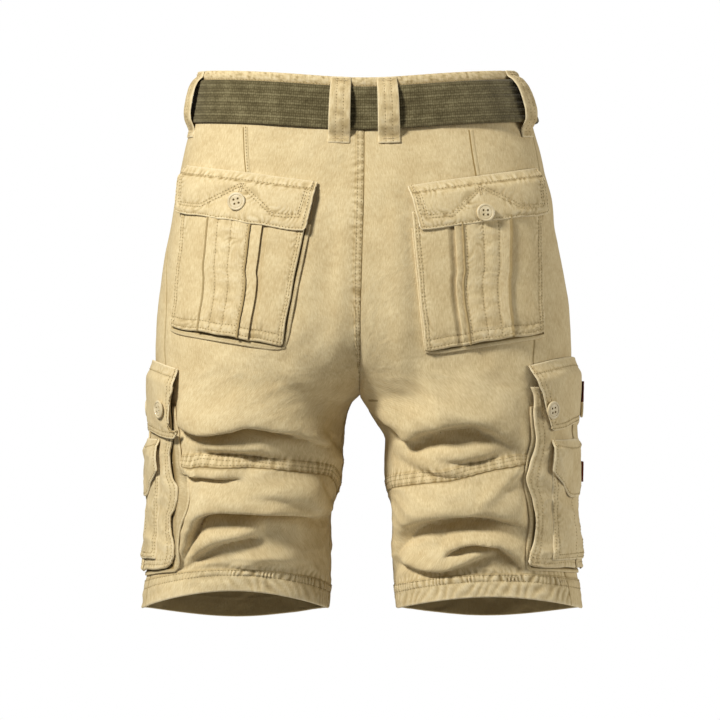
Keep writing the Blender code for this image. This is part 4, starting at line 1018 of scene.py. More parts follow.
class Sewing:
    """Rows of stitches, laid along lines by Geometry Nodes and made one mesh."""

    def __init__(self, name: str, kind: StitchKind, material: bpy.types.Material, seed: int,
                 dark: bpy.types.Material | None = None) -> None:
        """Sets an empty row up.

        Args:
            name: name of the finished piece.
            kind: the stitches.
            material: their finish.
            seed: number that fixes their unevenness.
            dark: finish of the dots of painted shade at the needle holes.
        """
        self.name, self.kind, self.material, self.seed, self.dark = name, kind, material, seed, dark
        self.lines: list[Array] = []

    def add(self, line: Array) -> None:
        """Adds a line of 3-D points to sew along."""
        self.lines.append(np.asarray(line, float))

    def _tree(self) -> bpy.types.NodeTree:
        """Builds the tree that turns lines into stitches."""
        tree = bpy.data.node_groups.new(f"{self.name}_stitches", "GeometryNodeTree")
        for label, kind in (("Lines", "NodeSocketGeometry"), ("Pitch", "NodeSocketFloat"), ("Size", "NodeSocketVector"),
                            ("Seed", "NodeSocketInt"), ("Finish", "NodeSocketMaterial"),
                            ("Hole", "NodeSocketFloat"), ("Dark", "NodeSocketMaterial")):
            tree.interface.new_socket(label, in_out="INPUT", socket_type=kind)
        tree.interface.new_socket("Stitches", in_out="OUTPUT", socket_type="NodeSocketGeometry")
        given = add_node(tree, "NodeGroupInput").outputs
        curve = add_node(tree, "GeometryNodeMeshToCurve", links={"Mesh": given["Lines"]})
        even = add_node(tree, "GeometryNodeResampleCurve", links={"Curve": curve.outputs[0], "Length": given["Pitch"]},
                        mode="LENGTH")
        along = add_node(tree, "GeometryNodeInputTangent")
        turned = add_node(tree, "FunctionNodeAlignRotationToVector", links={"Vector": along.outputs[0]}, axis="X")
        wobble = add_node(tree, "FunctionNodeRandomValue", {0: (0.9, 0.85, 0.9), 1: (1.08, 1.15, 1.1)},
                          {"Seed": given["Seed"]}, data_type="FLOAT_VECTOR")
        bead = add_node(tree, "GeometryNodeMeshUVSphere", {"Segments": 6, "Rings": 3, "Radius": 0.5})
        sized = add_node(tree, "GeometryNodeTransform", links={"Geometry": bead.outputs[0], "Scale": given["Size"]})
        placed = add_node(tree, "GeometryNodeInstanceOnPoints",
                          links={"Points": even.outputs[0], "Instance": sized.outputs[0],
                                 "Rotation": turned.outputs[0], "Scale": wobble.outputs[0]})
        real = add_node(tree, "GeometryNodeRealizeInstances", links={"Geometry": placed.outputs[0]})
        dressed = add_node(tree, "GeometryNodeSetMaterial",
                           links={"Geometry": real.outputs[0], "Material": given["Finish"]})
        both = add_node(tree, "GeometryNodeJoinGeometry", links={"Geometry": dressed.outputs[0]})
        # dark dots of painted shade at the needle holes, halfway between stitches
        if self.kind.hole:
            half = add_node(tree, "ShaderNodeMath", {1: 0.5}, {0: given["Pitch"]}, operation="MULTIPLY")
            begun = add_node(tree, "GeometryNodeTrimCurve", links={"Curve": curve.outputs[0], 2: half.outputs[0]},
                             mode="LENGTH")
            between = add_node(tree, "GeometryNodeResampleCurve",
                               links={"Curve": begun.outputs[0], "Length": given["Pitch"]}, mode="LENGTH")
            dot = add_node(tree, "GeometryNodeMeshCube", {"Size": (1.0, 0.9, 0.6)})
            dots = add_node(tree, "GeometryNodeInstanceOnPoints",
                            links={"Points": between.outputs[0], "Instance": dot.outputs[0],
                                   "Rotation": turned.outputs[0], "Scale": given["Hole"]})
            real_dots = add_node(tree, "GeometryNodeRealizeInstances", links={"Geometry": dots.outputs[0]})
            dark = add_node(tree, "GeometryNodeSetMaterial",
                            links={"Geometry": real_dots.outputs[0], "Material": given["Dark"]})
            tree.links.new(dark.outputs[0], both.inputs["Geometry"])
        round_ = add_node(tree, "GeometryNodeSetShadeSmooth", links={"Geometry": both.outputs[0]})
        add_node(tree, "NodeGroupOutput", links={"Stitches": round_.outputs[0]})
        return tree

    def sew(self) -> bpy.types.Object:
        """Makes the stitches.

        Returns:
            One plain mesh object with all of them.
        """
        points = np.concatenate(self.lines)
        edges, start = [], 0
        for line in self.lines:
            edges.extend((start + i, start + i + 1) for i in range(len(line) - 1))
            start += len(line)
        mesh = bpy.data.meshes.new(f"{self.name}_lines")
        mesh.from_pydata(points.tolist(), edges, [])
        guide = linked(f"{self.name}_guide", mesh)
        tree = self._tree()
        modifier = guide.modifiers.new("stitches", "NODES")
        modifier.node_group = tree
        values = {"Pitch": self.kind.pitch, "Size": (self.kind.length, self.kind.width, self.kind.height),
                  "Seed": self.seed, "Finish": self.material, "Hole": self.kind.hole, "Dark": self.dark}
        for item in tree.interface.items_tree:
            if item.item_type == "SOCKET" and item.in_out == "INPUT" and item.name in values:
                modifier[item.identifier] = values[item.name]
        graph = bpy.context.evaluated_depsgraph_get()
        result = bpy.data.meshes.new_from_object(guide.evaluated_get(graph), depsgraph=graph)
        result.name = self.name
        guide.modifiers.clear()
        bpy.data.objects.remove(guide, do_unlink=True)
        return linked(self.name, result)


# ---------------------------------------------------------------- adding pieces

class ClothCut(NamedTuple):
    """A sheet's cut as far as it shows: flat width and length, and how the cloth is held."""

    width: float
    length: float
    held: str = "laid"


class Dresser:
    """Hangs finished pieces on the garment's body, hides the CAD nodes that they stand for, and counts their triangles.
    """

    def __init__(self, wardrobe: Wardrobe) -> None:
        """Keeps the finishes."""
        self.wardrobe = wardrobe
        self.triangles = 0

    def add(self, piece: bpy.types.Object, slot: Slot, *nodes: str) -> bpy.types.Object:
        """Makes a piece ride on the garment, in the place of CAD nodes.

        Args:
            piece: the finished object.
            slot: not used.
            *nodes: the CAD nodes that it stands for.

        Returns:
            The same object.
        """
        if nodes:
            piece.name = f"{nodes[0]}_look"
        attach(piece, BODY)
        if nodes:
            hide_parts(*nodes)
        count = sum(len(face.vertices) - 2 for face in piece.data.polygons)
        self.triangles += count
        log.info("%s: %d triangles", piece.name, count)
        return piece

    def topstitch(self, name: str, seed: int) -> Sewing:
        """Empty rows of topstitching."""
        return Sewing(name, TOPSTITCH, self.wardrobe.thread, seed, self.wardrobe.hole)

    def bar_tacks(self, name: str, seed: int) -> Sewing:
        """Empty rows of bar tacks."""
        return Sewing(name, BAR_TACK, self.wardrobe.thread, seed)

    def sew(self, *sewings: Sewing) -> None:
        """Makes and adds rows of stitches."""
        for sewing in sewings:
            self.add(sewing.sew(), Slot.TWILL)

    def cloth(self, piece: bpy.types.Object, cut: ClothCut, rests_on: Sequence[str], *nodes: str,
              slot: Slot = Slot.TWILL) -> bpy.types.Object:
        """Adds a piece of cloth.

        Args:
            piece: the finished object.
            cut: not used.
            rests_on: not used.
            *nodes: the CAD nodes that it stands for.
            slot: the record's material slot.

        Returns:
            The same object.
        """
        self.add(piece, slot, *nodes)
        return piece


# ---------------------------------------------------------------- panels

@dataclass(frozen=True)
class SeamEdge:
    """How a panel's edge is sewn: a folded band along it with rows of stitches, at distances from the edge."""

    band: float = 0.0
    rows: tuple[float, ...] = ()
    lift: float = 0.6 * MM
    groove: float = 0.3 * MM
    pucker: float = 0.22 * MM
    wave: float = 6.5 * MM

    def stations(self) -> list[float]:
        """Distances from the edge at which the mesh has lines of its own."""
        if not self.rows:
            return [0.0, 0.7 * MM, 2.0 * MM]
        marks = [0.0, 0.6 * MM, self.band - 0.3 * MM, self.band + 0.5 * MM, self.band + 2.0 * MM]
        for row in self.rows:
            marks += [row - 0.9 * MM, row, row + 0.9 * MM]
        marks.sort()
        return [mark for i, mark in enumerate(marks) if i == 0 or mark - marks[i - 1] > 0.25 * MM]

    def relief(self, distance: Array, along: Array, noise: Noise) -> tuple[Array, Array]:
        """How far the cloth stands over the plain panel, and its painted tone.

        Args:
            distance: distance from the edge.
            along: way along the edge.
            noise: noise that makes the puckers uneven.

        Returns:
            Heights in metres, and painted tone from -1, painted shade in the seam, to 1, painted highlight on its
            puckers.
        """
        # painted shade along the seam line itself
        seam = bell(distance, 0, 0.9 * MM)
        total, tone = -0.5 * MM * seam, -0.85 * seam
        if not self.rows:
            return total, tone
        total = total + self.lift * (1 - smooth(distance, self.band - 0.3 * MM, self.band + 0.5 * MM))
        for row in self.rows:
            groove = bell(distance, row, 0.8 * MM)
            total, tone = total - self.groove * groove, tone - 0.3 * groove
        phase = along / self.wave + 1.2 * noise(along / 0.019, 0.4 + distance / 0.03)
        near = 1 - smooth(distance, self.band, self.band + 9 * MM)
        pucker = near * (0.5 + 0.9 * np.abs(noise(along / 0.05, 2.6))) * swing(phase)
        # painted shadow just below the foot of the folded band
        foot = bell(distance - self.band, 0.6 * MM, 0.9 * MM)
        return total + self.pucker * pucker, tone + 0.55 * pucker - 0.5 * foot


PLAIN_EDGE = SeamEdge()


def spaced(length: Array | float, step: float, start: Sequence[float], end: Sequence[float]) -> Array:
    """Distances along lines: fixed ones near both ends and even ones between.

    Args:
        length: length of each line.
        step: distance between the even ones.
        start: distances from the start.
        end: distances from the end.

    Returns:
        One row of distances for each line.
    """
    length = np.atleast_1d(np.asarray(length, float))[:, None]
    count = max(2, round((float(length.mean()) - start[-1] - end[-1]) / step))
    share = np.linspace(0, 1, count + 1)[None, 1:-1]
    head = np.broadcast_to(np.array(start), (len(length), len(start)))
    tail = length - np.array(end)[::-1]
    return np.concatenate([head, head[:, -1:] + (tail[:, :1] - head[:, -1:]) * share, tail], axis=1)


class Cut(NamedTuple):
    """A panel's grid: angles, heights, and distances from its outseam, inner edge, top and bottom."""

    angle: Array
    height: Array
    out: Array
    inner: Array
    top: Array
    bottom: Array


@dataclass
class Panels:
    """The six cut panels, with felled seams, a triple-stitched knee seam and turned hems."""

    garment: Garment
    dresser: Dresser
    seat_step: float = 2.6 * MM
    leg_step: float = 1.8 * MM
    front_step: float = 3.8 * MM
    fell: SeamEdge = SeamEdge(7.6 * MM, (2.0 * MM, 6.0 * MM), 0.7 * MM, 0.3 * MM, 0.3 * MM)
    knee: SeamEdge = SeamEdge(9.8 * MM, (1.8 * MM, 5.2 * MM, 8.6 * MM), 0.9 * MM, 0.35 * MM, 0.42 * MM, 6.0 * MM)
    hem_rows: tuple[float, float] = (17.6 * MM, 25.4 * MM)
    knee_start: ClassVar[dict[Side, float]] = {L: 40 * MM, R: 31 * MM}  # its rows end behind the bellows
    seat: float = 300 * MM
    thigh: float = 80 * MM
    below_knee: float = 135 * MM
    gather: float = 5.6 * MM  # way between two gathers of the hem
    # from the inner edge, where the hem's gathers die out
    calm_hem: ClassVar[dict[Side, tuple[float, float]]] = {L: (125 * MM, 165 * MM), R: (250 * MM, 300 * MM)}

    def build(self) -> None:
        """Makes, sews and dresses the panels of both halves."""
        for side in Side:
            sewing = self.dresser.topstitch(f"sewing_panels_{side.value}", 5 + side.sign)
            self._panel(f"back_upper_{side.value}", self._upper(side, BACK), side, BACK, sewing, False)
            self._panel(f"back_lower_{side.value}", self._lower(side, BACK), side, BACK, sewing, True)
            self._panel(f"front_{side.value}", self._whole_front(side), side, FRONT, sewing, True)
            self.dresser.sew(sewing)

    def _inner_heights(self, side: Side, face: Face, start: float, end: float, share: Array) -> Array:
        """Heights at shares of the length of a panel's inner edge."""
        fine = np.linspace(0, 1, 900)
        if end <= CROTCH < start:
            fine = 1 - (1 - fine) ** 2.5
        elif start >= CROTCH:
            fine = fine**2
        fine = start + (end - start) * fine
        length = arc_length(self.garment.base(side, self.garment.inner_angle(side, face, fine), fine))
        return np.interp(share * length[-1], length, fine)

    def _knee(self, side: Side, face: Face, share: Array) -> Array:
        """Height of the knee seam, or of the same level on the front."""
        rows = np.array(KNEE_ROWS[side])
        if face is FRONT:
            rows = rows[[0, -1]]
        return np.interp(share, rows[:, 0], rows[:, 1]) * MM

    def _upper(self, side: Side, face: Face) -> Cut:
        """Grid from the waist to the knee seam."""
        step = self.seat_step if face is BACK else self.front_step
        seat = np.linspace(0, 1, round(self.seat / step))
        foot = self.knee if face is BACK else PLAIN_EDGE
        below = spaced(self.thigh, step * 1.05, [0.0, step], foot.stations())[0] / self.thigh
        count = len(seat)
        above_inner = self._inner_heights(side, face, WAIST_BOTTOM, CROTCH, seat)
        knee_in, knee_out = self._knee(side, face, np.array([1.0, 0.0]))
        below_inner = self._inner_heights(side, face, CROTCH, float(knee_in), below[1:])
        inner = np.concatenate([above_inner, below_inner])
        outer = np.concatenate([WAIST_BOTTOM + (CROTCH_AT_OUTSEAM - WAIST_BOTTOM) * seat,
                                CROTCH_AT_OUTSEAM + (knee_out - CROTCH_AT_OUTSEAM) * below[1:]])
        pull = np.concatenate([np.zeros(count), below[1:]])

        def heights(share: Array) -> Array:
            """Heights of every row at shares of the width."""
            level = outer[:, None] + (inner - outer)[:, None] * share**2
            foot_level = outer[-1] + (inner[-1] - outer[-1]) * share**2
            return level + (self._knee(side, face, share) - foot_level) * pull[:, None]

        top = np.concatenate([seat, np.ones(len(below) - 1)]) * self.seat
        bottom = np.concatenate([np.full(count, self.thigh), self.thigh * (1 - below[1:])])
        return self._grid(side, face, heights, top, bottom, step, self.fell if face is BACK else PLAIN_EDGE)

    def _lower(self, side: Side, face: Face) -> Cut:
        """Grid from the knee seam to the hem."""
        step = self.leg_step if face is BACK else self.front_step
        length = self.below_knee
        marks = {0.0, 0.8 * MM, 2.2 * MM, *HEM_TURN, 28.6 * MM}
        for row in self.hem_rows:
            marks |= {row - 0.9 * MM, row, row + 0.9 * MM}
        marks |= {4.5 * MM, 7 * MM, 9.5 * MM, 12 * MM, 14.4 * MM, 20.4 * MM, 22.4 * MM}
        down = spaced(length, step * 1.15, [0.0, 0.7 * MM, 2.0 * MM], sorted(marks))[0] / length

        def heights(share: Array) -> Array:
            """Heights of every row at shares of the width."""
            knee = self._knee(side, face, share)
            return knee + (HEM - knee) * down[:, None]

        return self._grid(side, face, heights, down * length, (1 - down) * length, step, PLAIN_EDGE)

    def _whole_front(self, side: Side) -> Cut:
        """Grid of a front from the waist to the hem."""
        upper, lower = self._upper(side, FRONT), self._lower(side, FRONT)
        columns = min(upper.angle.shape[1], lower.angle.shape[1])
        joined = []
        for above, below in zip(upper, lower):
            parts = []
            for part in (above, below[1:]):
                at = np.linspace(0, part.shape[1] - 1, columns)
                parts.append(np.array([np.interp(at, np.arange(part.shape[1]), row) for row in part]))
            joined.append(np.concatenate(parts))
        whole = Cut(*joined)
        far = np.full(upper.bottom.shape[0], 1.0)[:, None]
        whole.bottom[: len(far)] = far
        return whole

    def _grid(self, side: Side, face: Face, heights: Callable[[Array], Array], top: Array, bottom: Array,
              step: float, inner_edge: SeamEdge) -> Cut:
        """Grid whose columns near the seams keep their distance from them.

        Args:
            side: the half.
            face: back or front.
            heights: heights of every row at shares of the width.
            top: distance of each row from the panel's top.
            bottom: distance of each row from its bottom.
            step: distance between columns.
            inner_edge: how the inner edge is sewn.

        Returns:
            The grid.
        """
        garment = self.garment

        def angles(share: Array, ends: Array) -> Array:
            """Angles at shares of the width, by each row's heights."""
            outseam = garment.outseam[side](ends[:, :1])
            inner = garment.inner_angle(side, face, ends[:, -1:])
            turn = np.sign(inner - outseam)
            outseam = outseam + turn * SEAM_GAP / 2 / OUTSEAM_RADIUS
            inner = inner - turn * SEAM_GAP / 2 / INSEAM_RADIUS
            return outseam + (inner - outseam) * share

        fine = np.linspace(0, 1, 240)[None, :]
        level = heights(fine)
        line = garment.base(side, angles(fine, level), level)
        length = run_along(line, 1)
        target = spaced(length[:, -1], step, PLAIN_EDGE.stations(), inner_edge.stations())
        share = np.array([np.interp(row, along, fine[0]) for row, along in zip(target, length)])
        height = np.array([np.interp(s, fine[0], row) for s, row in zip(share, level)])
        angle = angles(share, level)
        ones = np.ones_like(target)
        return Cut(angle, height, target, length[:, -1:] - target, top[:, None] * ones, bottom[:, None] * ones)

    def _hem(self, side: Side, up: Array, along: Array, inner: Array) -> tuple[Array, Array]:
        """Height and painted tone of the turned hem: gathers between its two rows, slanting ripples below them."""
        noise = self.garment.noise["pucker"]
        middle = sum(self.hem_rows) / 2
        between = bell(up, middle, 4.6 * MM, 4)
        strength = (0.6 + 1.0 * np.abs(noise(along / 0.034, 1.7))) * (1 - 0.75 * smooth(inner, *self.calm_hem[side]))
        phase = along / self.gather + 1.5 * noise(along / 0.021, 0.5 + up / 0.03)
        total = 0.9 * MM * strength * between * swing(phase)
        slant = swing((along + 0.8 * up) / (10.5 * MM) + 1.1 * noise(along / 0.03, 0.2 + up / 0.05))
        below = smooth(up, -8 * MM, 6 * MM) * (1 - smooth(up, 12 * MM, 18 * MM))
        total = total + 0.5 * MM * strength * below * slant
        above = smooth(up, 27 * MM, 29 * MM) * (1 - smooth(up, 30 * MM, 40 * MM))
        total = total + 0.45 * MM * strength * above * swing(phase * 0.75 + 0.2)
        # painted highlight on raised cloth and painted shade in its hollows and row grooves, with the folded foot
        # rubbed pale
        tone = total / (1.0 * MM) + 0.7 * fade(up, 1.2 * MM)
        for row in self.hem_rows:
            groove = bell(up, row, 0.8 * MM)
            total, tone = total - 0.35 * MM * groove, tone - 0.35 * groove
        # painted shadow along the top of the turned-up cloth
        tone = tone - 0.5 * bell(up, 27.2 * MM, 0.9 * MM)
        return total + HEM_EXTRA * (1 - smooth(up, *HEM_TURN)), tone

    def _panel(self, name: str, cut: Cut, side: Side, face: Face, sewing: Sewing, hemmed: bool) -> None:
        """Makes one panel.

        Args:
            name: name of the piece and of the CAD node that it stands for.
            cut: its grid.
            side: the half.
            face: back or front.
            sewing: takes its rows of stitches.
            hemmed: whether its lower edge is a hem.
        """
        garment = self.garment
        upper, lower = name.startswith("back_upper"), name.startswith("back_lower")
        felled = upper and side is L
        angle, height = cut.angle, cut.height.copy()
        height[0] -= SEAM_GAP * (0.5 if lower else 1.0)
        if not hemmed:
            height[-1] += SEAM_GAP / 2
        noise = garment.noise["pucker"]
        edge = np.minimum(cut.out, cut.inner)
        calm = 0.3 + 0.7 * smooth(edge, 0, 22 * MM)
        offset = garment.wrinkles(side, angle, height) * calm
        # painted tone that follows the wrinkles: paler on ridges, partly rubbed wear and partly painted highlight,
        # painted shade in troughs
        wear_and_shading = np.clip(offset / MM, -2, 2) * 0.12
        seams = [(PLAIN_EDGE, cut.out, height), (self.fell if felled else PLAIN_EDGE, cut.inner, height)]
        if upper:
            seams.append((self.knee, cut.bottom, cut.out))
        if lower:
            seams.append((PLAIN_EDGE, cut.top, cut.out))
            # ripples below the knee seam, with painted highlight on their crests and painted shade in their troughs
            ripple = swing(cut.out / (7.5 * MM) + noise(cut.out / 0.02, 4.1))
            ripple = ripple * fade(cut.top, 5 * MM) * (1 - fade(cut.top, 1.5 * MM))
            ripple = ripple * (0.2 + 1.6 * np.abs(noise(cut.out / 0.04, 9.3)))
            offset, wear_and_shading = offset + 0.4 * MM * ripple, wear_and_shading + 0.35 * ripple
        parts = [edge_kind.relief(distance, along, noise) for edge_kind, distance, along in seams]
        if hemmed:
            parts.append(self._hem(side, cut.bottom, cut.out, cut.inner))
        for relief, tone in parts:
            offset, wear_and_shading = offset + relief, wear_and_shading + tone
        out = garment.normal(garment.form, side, angle, height, 0.5)
        outer = garment.kept_on_side(side, garment.form(side, angle, height) + out * offset[..., None])
        hem_thick = HEM_EXTRA * (1 - smooth(cut.bottom, *HEM_TURN)) if hemmed else 0.0
        wear_and_shading = np.clip(wear_and_shading, -1, 1)
        piece = cloth_sheet(name, outer, out, WALL + hem_thick, self.dresser.wardrobe.twill, wear_and_shading, 0.0)
        plain = garment.base(side, angle, height)
        width = float(cut.out[:, -1].max()) + 24 * MM
        tall = max(float(arc_length(plain[:, i])[-1]) for i in (0, -1)) + (40 * MM if hemmed else 24 * MM)
        rests = [name.replace("lower", "upper")] if lower else ["waistband"]
        self.dresser.cloth(piece, ClothCut(width, tall, "hung"), rests, name)
        stitched = outer + out * STITCH_LIFT
        if felled:
            for row in self.fell.rows:
                sewing.add(stitched[:, nearest(cut.inner[5], row)])
        if upper:
            for row in self.knee.rows:
                at = nearest(cut.bottom[:, 0], row)
                sewing.add(stitched[at][cut.out[at] > self.knee_start[side]])
        if hemmed:
            for row in self.hem_rows:
                sewing.add(stitched[nearest(cut.bottom[:, 0], row)])


# ---------------------------------------------------------------- waist

LOOP_TURNS = {
    "belt_loop_back_left": 76.0, "belt_loop_back_right": 104.0, "belt_loop_side_left": 8.0,
    "belt_loop_side_right": 166.0, "belt_loop_front_left": -48.0, "belt_loop_front_right": 228.0,
}
# A loop's inner face from its top to its bottom: height in mm, what it lies on, and mm above that
LOOP_PATH = (
    (23.5, "band", 0.2), (21.0, "band", 0.3), (18.5, "band", 0.9), (15.5, "belt", 0.6), (12.0, "belt", 2.6),
    (4.0, "belt", 4.8), (-14.0, "belt", 5.0), (-24.0, "belt", 2.8), (-28.0, "belt", 0.5), (-31.5, "between", 0.2),
    (-35.0, "panel", 0.1), (-41.2, "panel", 0.0),
)


def through(points: Array, step: float) -> Array:
    """Points at even steps along a smooth curve through given ones."""
    points = np.asarray(points, float)
    padded = np.concatenate([2 * points[:1] - points[1:2], points, 2 * points[-1:] - points[-2:-1]])
    share = np.linspace(0, 1, 12, endpoint=False)[:, None]
    parts = []
    for a, b, c, d in zip(padded[:-3], padded[1:-2], padded[2:-1], padded[3:]):
        parts.append(0.5 * (2 * b + (c - a) * share + (2 * a - 5 * b + 4 * c - d) * share**2
                            + (3 * b - a - 3 * c + d) * share**3))
    line = np.concatenate([*parts, points[-1:]])
    length = arc_length(line)
    even = np.linspace(0, length[-1], max(2, round(length[-1] / step)) + 1)
    return np.stack([np.interp(even, length, line[:, i]) for i in range(line.shape[1])], axis=1)


@dataclass
class Waist:
    """Waistband, webbing belt, slide buckle and belt loops."""

    garment: Garment
    dresser: Dresser
    step: float = 2.3 * MM
    underlap: float = 32 * MM
    tip: float = 60 * MM
    row: float = 16.2 * MM  # height of the band's row of stitches
    ribs: int = 6
    rib: float = 0.6 * MM
    loop_width: float = 20 * MM
    loop_thickness: float = 1.5 * MM
    loop_rows: float = 3.4 * MM  # from the loop's middle to each row of stitches
    buckle_half: float = 23 * MM
    buckle_play: float = 0.6 * MM
    plate: float = 1.6 * MM

    def build(self) -> None:
        """Makes and dresses every piece of the waist."""
        sewing, tacks = self.dresser.topstitch("sewing_waist", 21), self.dresser.bar_tacks("bar_tacks_loops", 22)
        self._band(sewing)
        self._belt()
        self._buckle()
        for name, degrees in LOOP_TURNS.items():
            self._loop(name, math.radians(degrees), sewing, tacks)
        self.dresser.sew(sewing, tacks)

    def _turns(self, overlap: float, start: float, end: float) -> tuple[Array, Array]:
        """Stations once round from the front and past it, and how far each has stepped off the start.

        Args:
            overlap: length of the part that overlaps.
            start: where the step starts, in half turns from the front.
            end: where it ends.

        Returns:
            Turns, and steps from 0 to 1.
        """
        last = self.garment.turn_after(FRONT_TURN, overlap) + 2 * math.pi
        turns = np.linspace(FRONT_TURN, last, round((0.83 + overlap) / self.step))
        return turns, smooth(turns, FRONT_TURN + start * math.pi, FRONT_TURN + end * math.pi)

    def _band(self, sewing: Sewing) -> None:
        """The folded band, whose upper edge is rolled and roped above its row of stitches."""
        turns, step = self._turns(self.underlap, 1.95, 1.99)
        under = -(BAND_LIFT[1] - BAND_LIFT[0] + 2 * LAY_GAP) * step
        along = arc_length(self.garment.waist(turns, 0.0, 0.0))
        noise = self.garment.noise["pucker"]
        heights = np.array([-26, -18, -8, 2, 9, 13, 15.2, 16.2, 17.2, 18.6, 20.2, 21.8, 23.2, 24.1, 24.5]) * MM
        top = heights[-1]

        def outer_lift(height: float) -> Array:
            """Lift of the outer face at a height, with its roping."""
            over = height - self.row
            puff = 0.9 * MM * (1 - fade(abs(over), 1.6 * MM)) if over > 0 else 0.0
            rounding = 1.3 * MM * bell(top, height, 0.9 * MM, 1.5)
            phase = (along + 0.9 * height) / (7.4 * MM) + 1.1 * noise(along / 0.021, 6.2)
            roped = 0.6 * MM * smooth(over, -3 * MM, 3 * MM) * swing(phase)
            groove = 0.35 * MM * bell(over, 0, 0.8 * MM)
            return BAND_LIFT[1] + puff - rounding - groove + roped * (0.5 + np.abs(noise(along / 0.05, 2.2)))

        outer = [self.garment.waist(turns, h, outer_lift(float(h)) + under) for h in heights]
        waves = [0.5 * MM * noise(along / 0.03, 1.0 + float(h) / 0.01) for h in heights]
        inner = [self.garment.waist(turns, h - (0.6 * MM if h == top else 0), BAND_LIFT[0] + under + 0.3 * w)
                 for h, w in zip(heights[::-1], waves)]
        rings = np.stack([*outer, *inner], axis=1)
        wear_and_shading = np.zeros(rings.shape[:2])
        # painted highlight and shade along the roping above the row of stitches, following its twist, over a random
        # grain
        marks = swing(along / (7.4 * MM) + 1.1 * noise(along / 0.021, 6.2))
        grain = noise(along[:, None] / 0.004, np.arange(8)[None, :] / 1.6)
        wear_and_shading[:, 8:16] = 0.45 * (marks * (0.4 + np.abs(noise(along / 0.05, 2.2))))[:, None] + 1.1 * grain
        # painted shade in the groove of the row of stitches
        wear_and_shading[:, 6:8] = -0.5
        piece = sweep("waistband", rings, self.dresser.wardrobe.twill, wear_and_shading)
        length = float(along[-1])
        self.dresser.cloth(piece, ClothCut(length, 52 * MM, "folded"),
                           ["back_upper_left", "back_upper_right", "front_left", "front_right"], "waistband")
        sewing.add(self.garment.waist(turns[2:-2], self.row, outer_lift(self.row)[2:-2] + under[2:-2] + 0.2 * MM))

    def _belt(self) -> None:
        """The webbing: six ribs on its outer face, once round and on over itself."""
        turns, over = self._turns(self.tip, 1.93, 1.985)
        base = BELT_LIFT + (BELT_THICKNESS + self.rib + LAY_GAP) * over
        low, high = BELT_HEIGHTS
        heights = np.linspace(low, high, self.ribs * 6 + 1)
        share = (heights - low) / (high - low)
        crown = np.abs(np.sin(math.pi * share * self.ribs)) ** 0.55
        phase = share * self.ribs % 1
        # painted highlight on each rib and painted shade in the valley beside it, which make the ribs show
        lines = 0.65 * bell(phase, 0.2, 0.12) - 0.5 * bell(phase, 0.95, 0.12)
        edge = np.minimum(share, 1 - share) * (high - low)
        lifts = BELT_THICKNESS - 0.2 * MM + self.rib * crown - 0.9 * MM * fade(edge, 0.5 * MM)
        along = arc_length(self.garment.waist(turns, 0.0, 0.0))
        noise = self.garment.noise["broad"]
        outer, inner = [], []
        for number, (h, lift) in enumerate(zip(heights, lifts)):
            wave = 0.25 * MM * noise(along / 0.03, float(h) / 0.02)
            slack = base + belt_slack(turns, h) + wave
            outer.append(self.garment.waist(turns, h, slack + lift))
            if number % 3 == 0:
                inner.append(self.garment.waist(turns, h, slack + 0.1 * MM))
        rings = np.stack([*outer, *inner[::-1]], axis=1)
        wear_and_shading = np.tile(np.concatenate([lines, np.zeros(len(inner))]), (len(turns), 1))
        piece = sweep("belt", rings, self.dresser.wardrobe.webbing, wear_and_shading)
        length, width = float(along[-1]), high - low
        self.dresser.cloth(piece, ClothCut(length, width * 1.03, "stretched"), ["waistband"],
                           "belt", slot=Slot.WEBBING)

    def _buckle(self) -> None:
        """The slide buckle: a plate bent into a flat sleeve, with rolled ends."""
        garment = self.garment
        ends = (garment.turn_after(FRONT_TURN, -self.buckle_half), garment.turn_after(FRONT_TURN, self.buckle_half))
        stations = 22
        turns = np.linspace(*ends, stations)
        low, high = BELT_HEIGHTS
        stack = 2 * BELT_THICKNESS + 2 * self.rib + LAY_GAP

        def ring(margin: float, radius: float) -> Array:
            """Rings of points round the belt at a margin from it."""
            near, far, bottom, top = -margin, stack + margin, low - margin, high + margin
            places = []
            for (lift, h), start in (((near, bottom), 180), ((far, bottom), 270), ((far, top), 0), ((near, top), 90)):
                for k in range(5):
                    turn = math.radians(start + 22.5 * k)
                    centre_lift = lift + (radius if lift == near else -radius)
                    centre_h = h + (radius if h == bottom else -radius)
                    places.append((centre_lift + radius * math.cos(turn), centre_h + radius * math.sin(turn)))
            return np.stack([garment.waist(turns, h, BELT_LIFT + lift + belt_slack(turns, h)) for lift, h in places],
                            axis=1)

        end = np.minimum(np.arange(stations), np.arange(stations)[::-1])[:, None, None]
        hollow, plate = ring(self.buckle_play, 0.5 * MM), ring(self.buckle_play + self.plate, 1.4 * MM)
        middle = (hollow + plate) / 2
        plate = plate + (plate - hollow) * (0.22 * (end == 1) - 0.22 * (end == 0))
        hollow = hollow + (middle - hollow) * 0.5 * (end == 0)
        count = plate.shape[1]
        points = np.concatenate([plate.reshape(-1, 3), hollow.reshape(-1, 3)])
        index = indices(stations, count, True)
        side, shift = cells(index), stations * count
        rims = []
        for row, turn in ((0, -1), (stations - 1, 1)):
            a, b = index[row, :-1], index[row, 1:]
            rims.append(np.stack([a, b, b + shift, a + shift], axis=-1)[:, ::turn])
        piece = mesh_object("belt_buckle", points, np.concatenate([side, side[:, ::-1] + shift, *rims]),
                            self.dresser.wardrobe.buckle, None, 50)
        self.dresser.add(piece, Slot.BUCKLE, "belt_buckle")

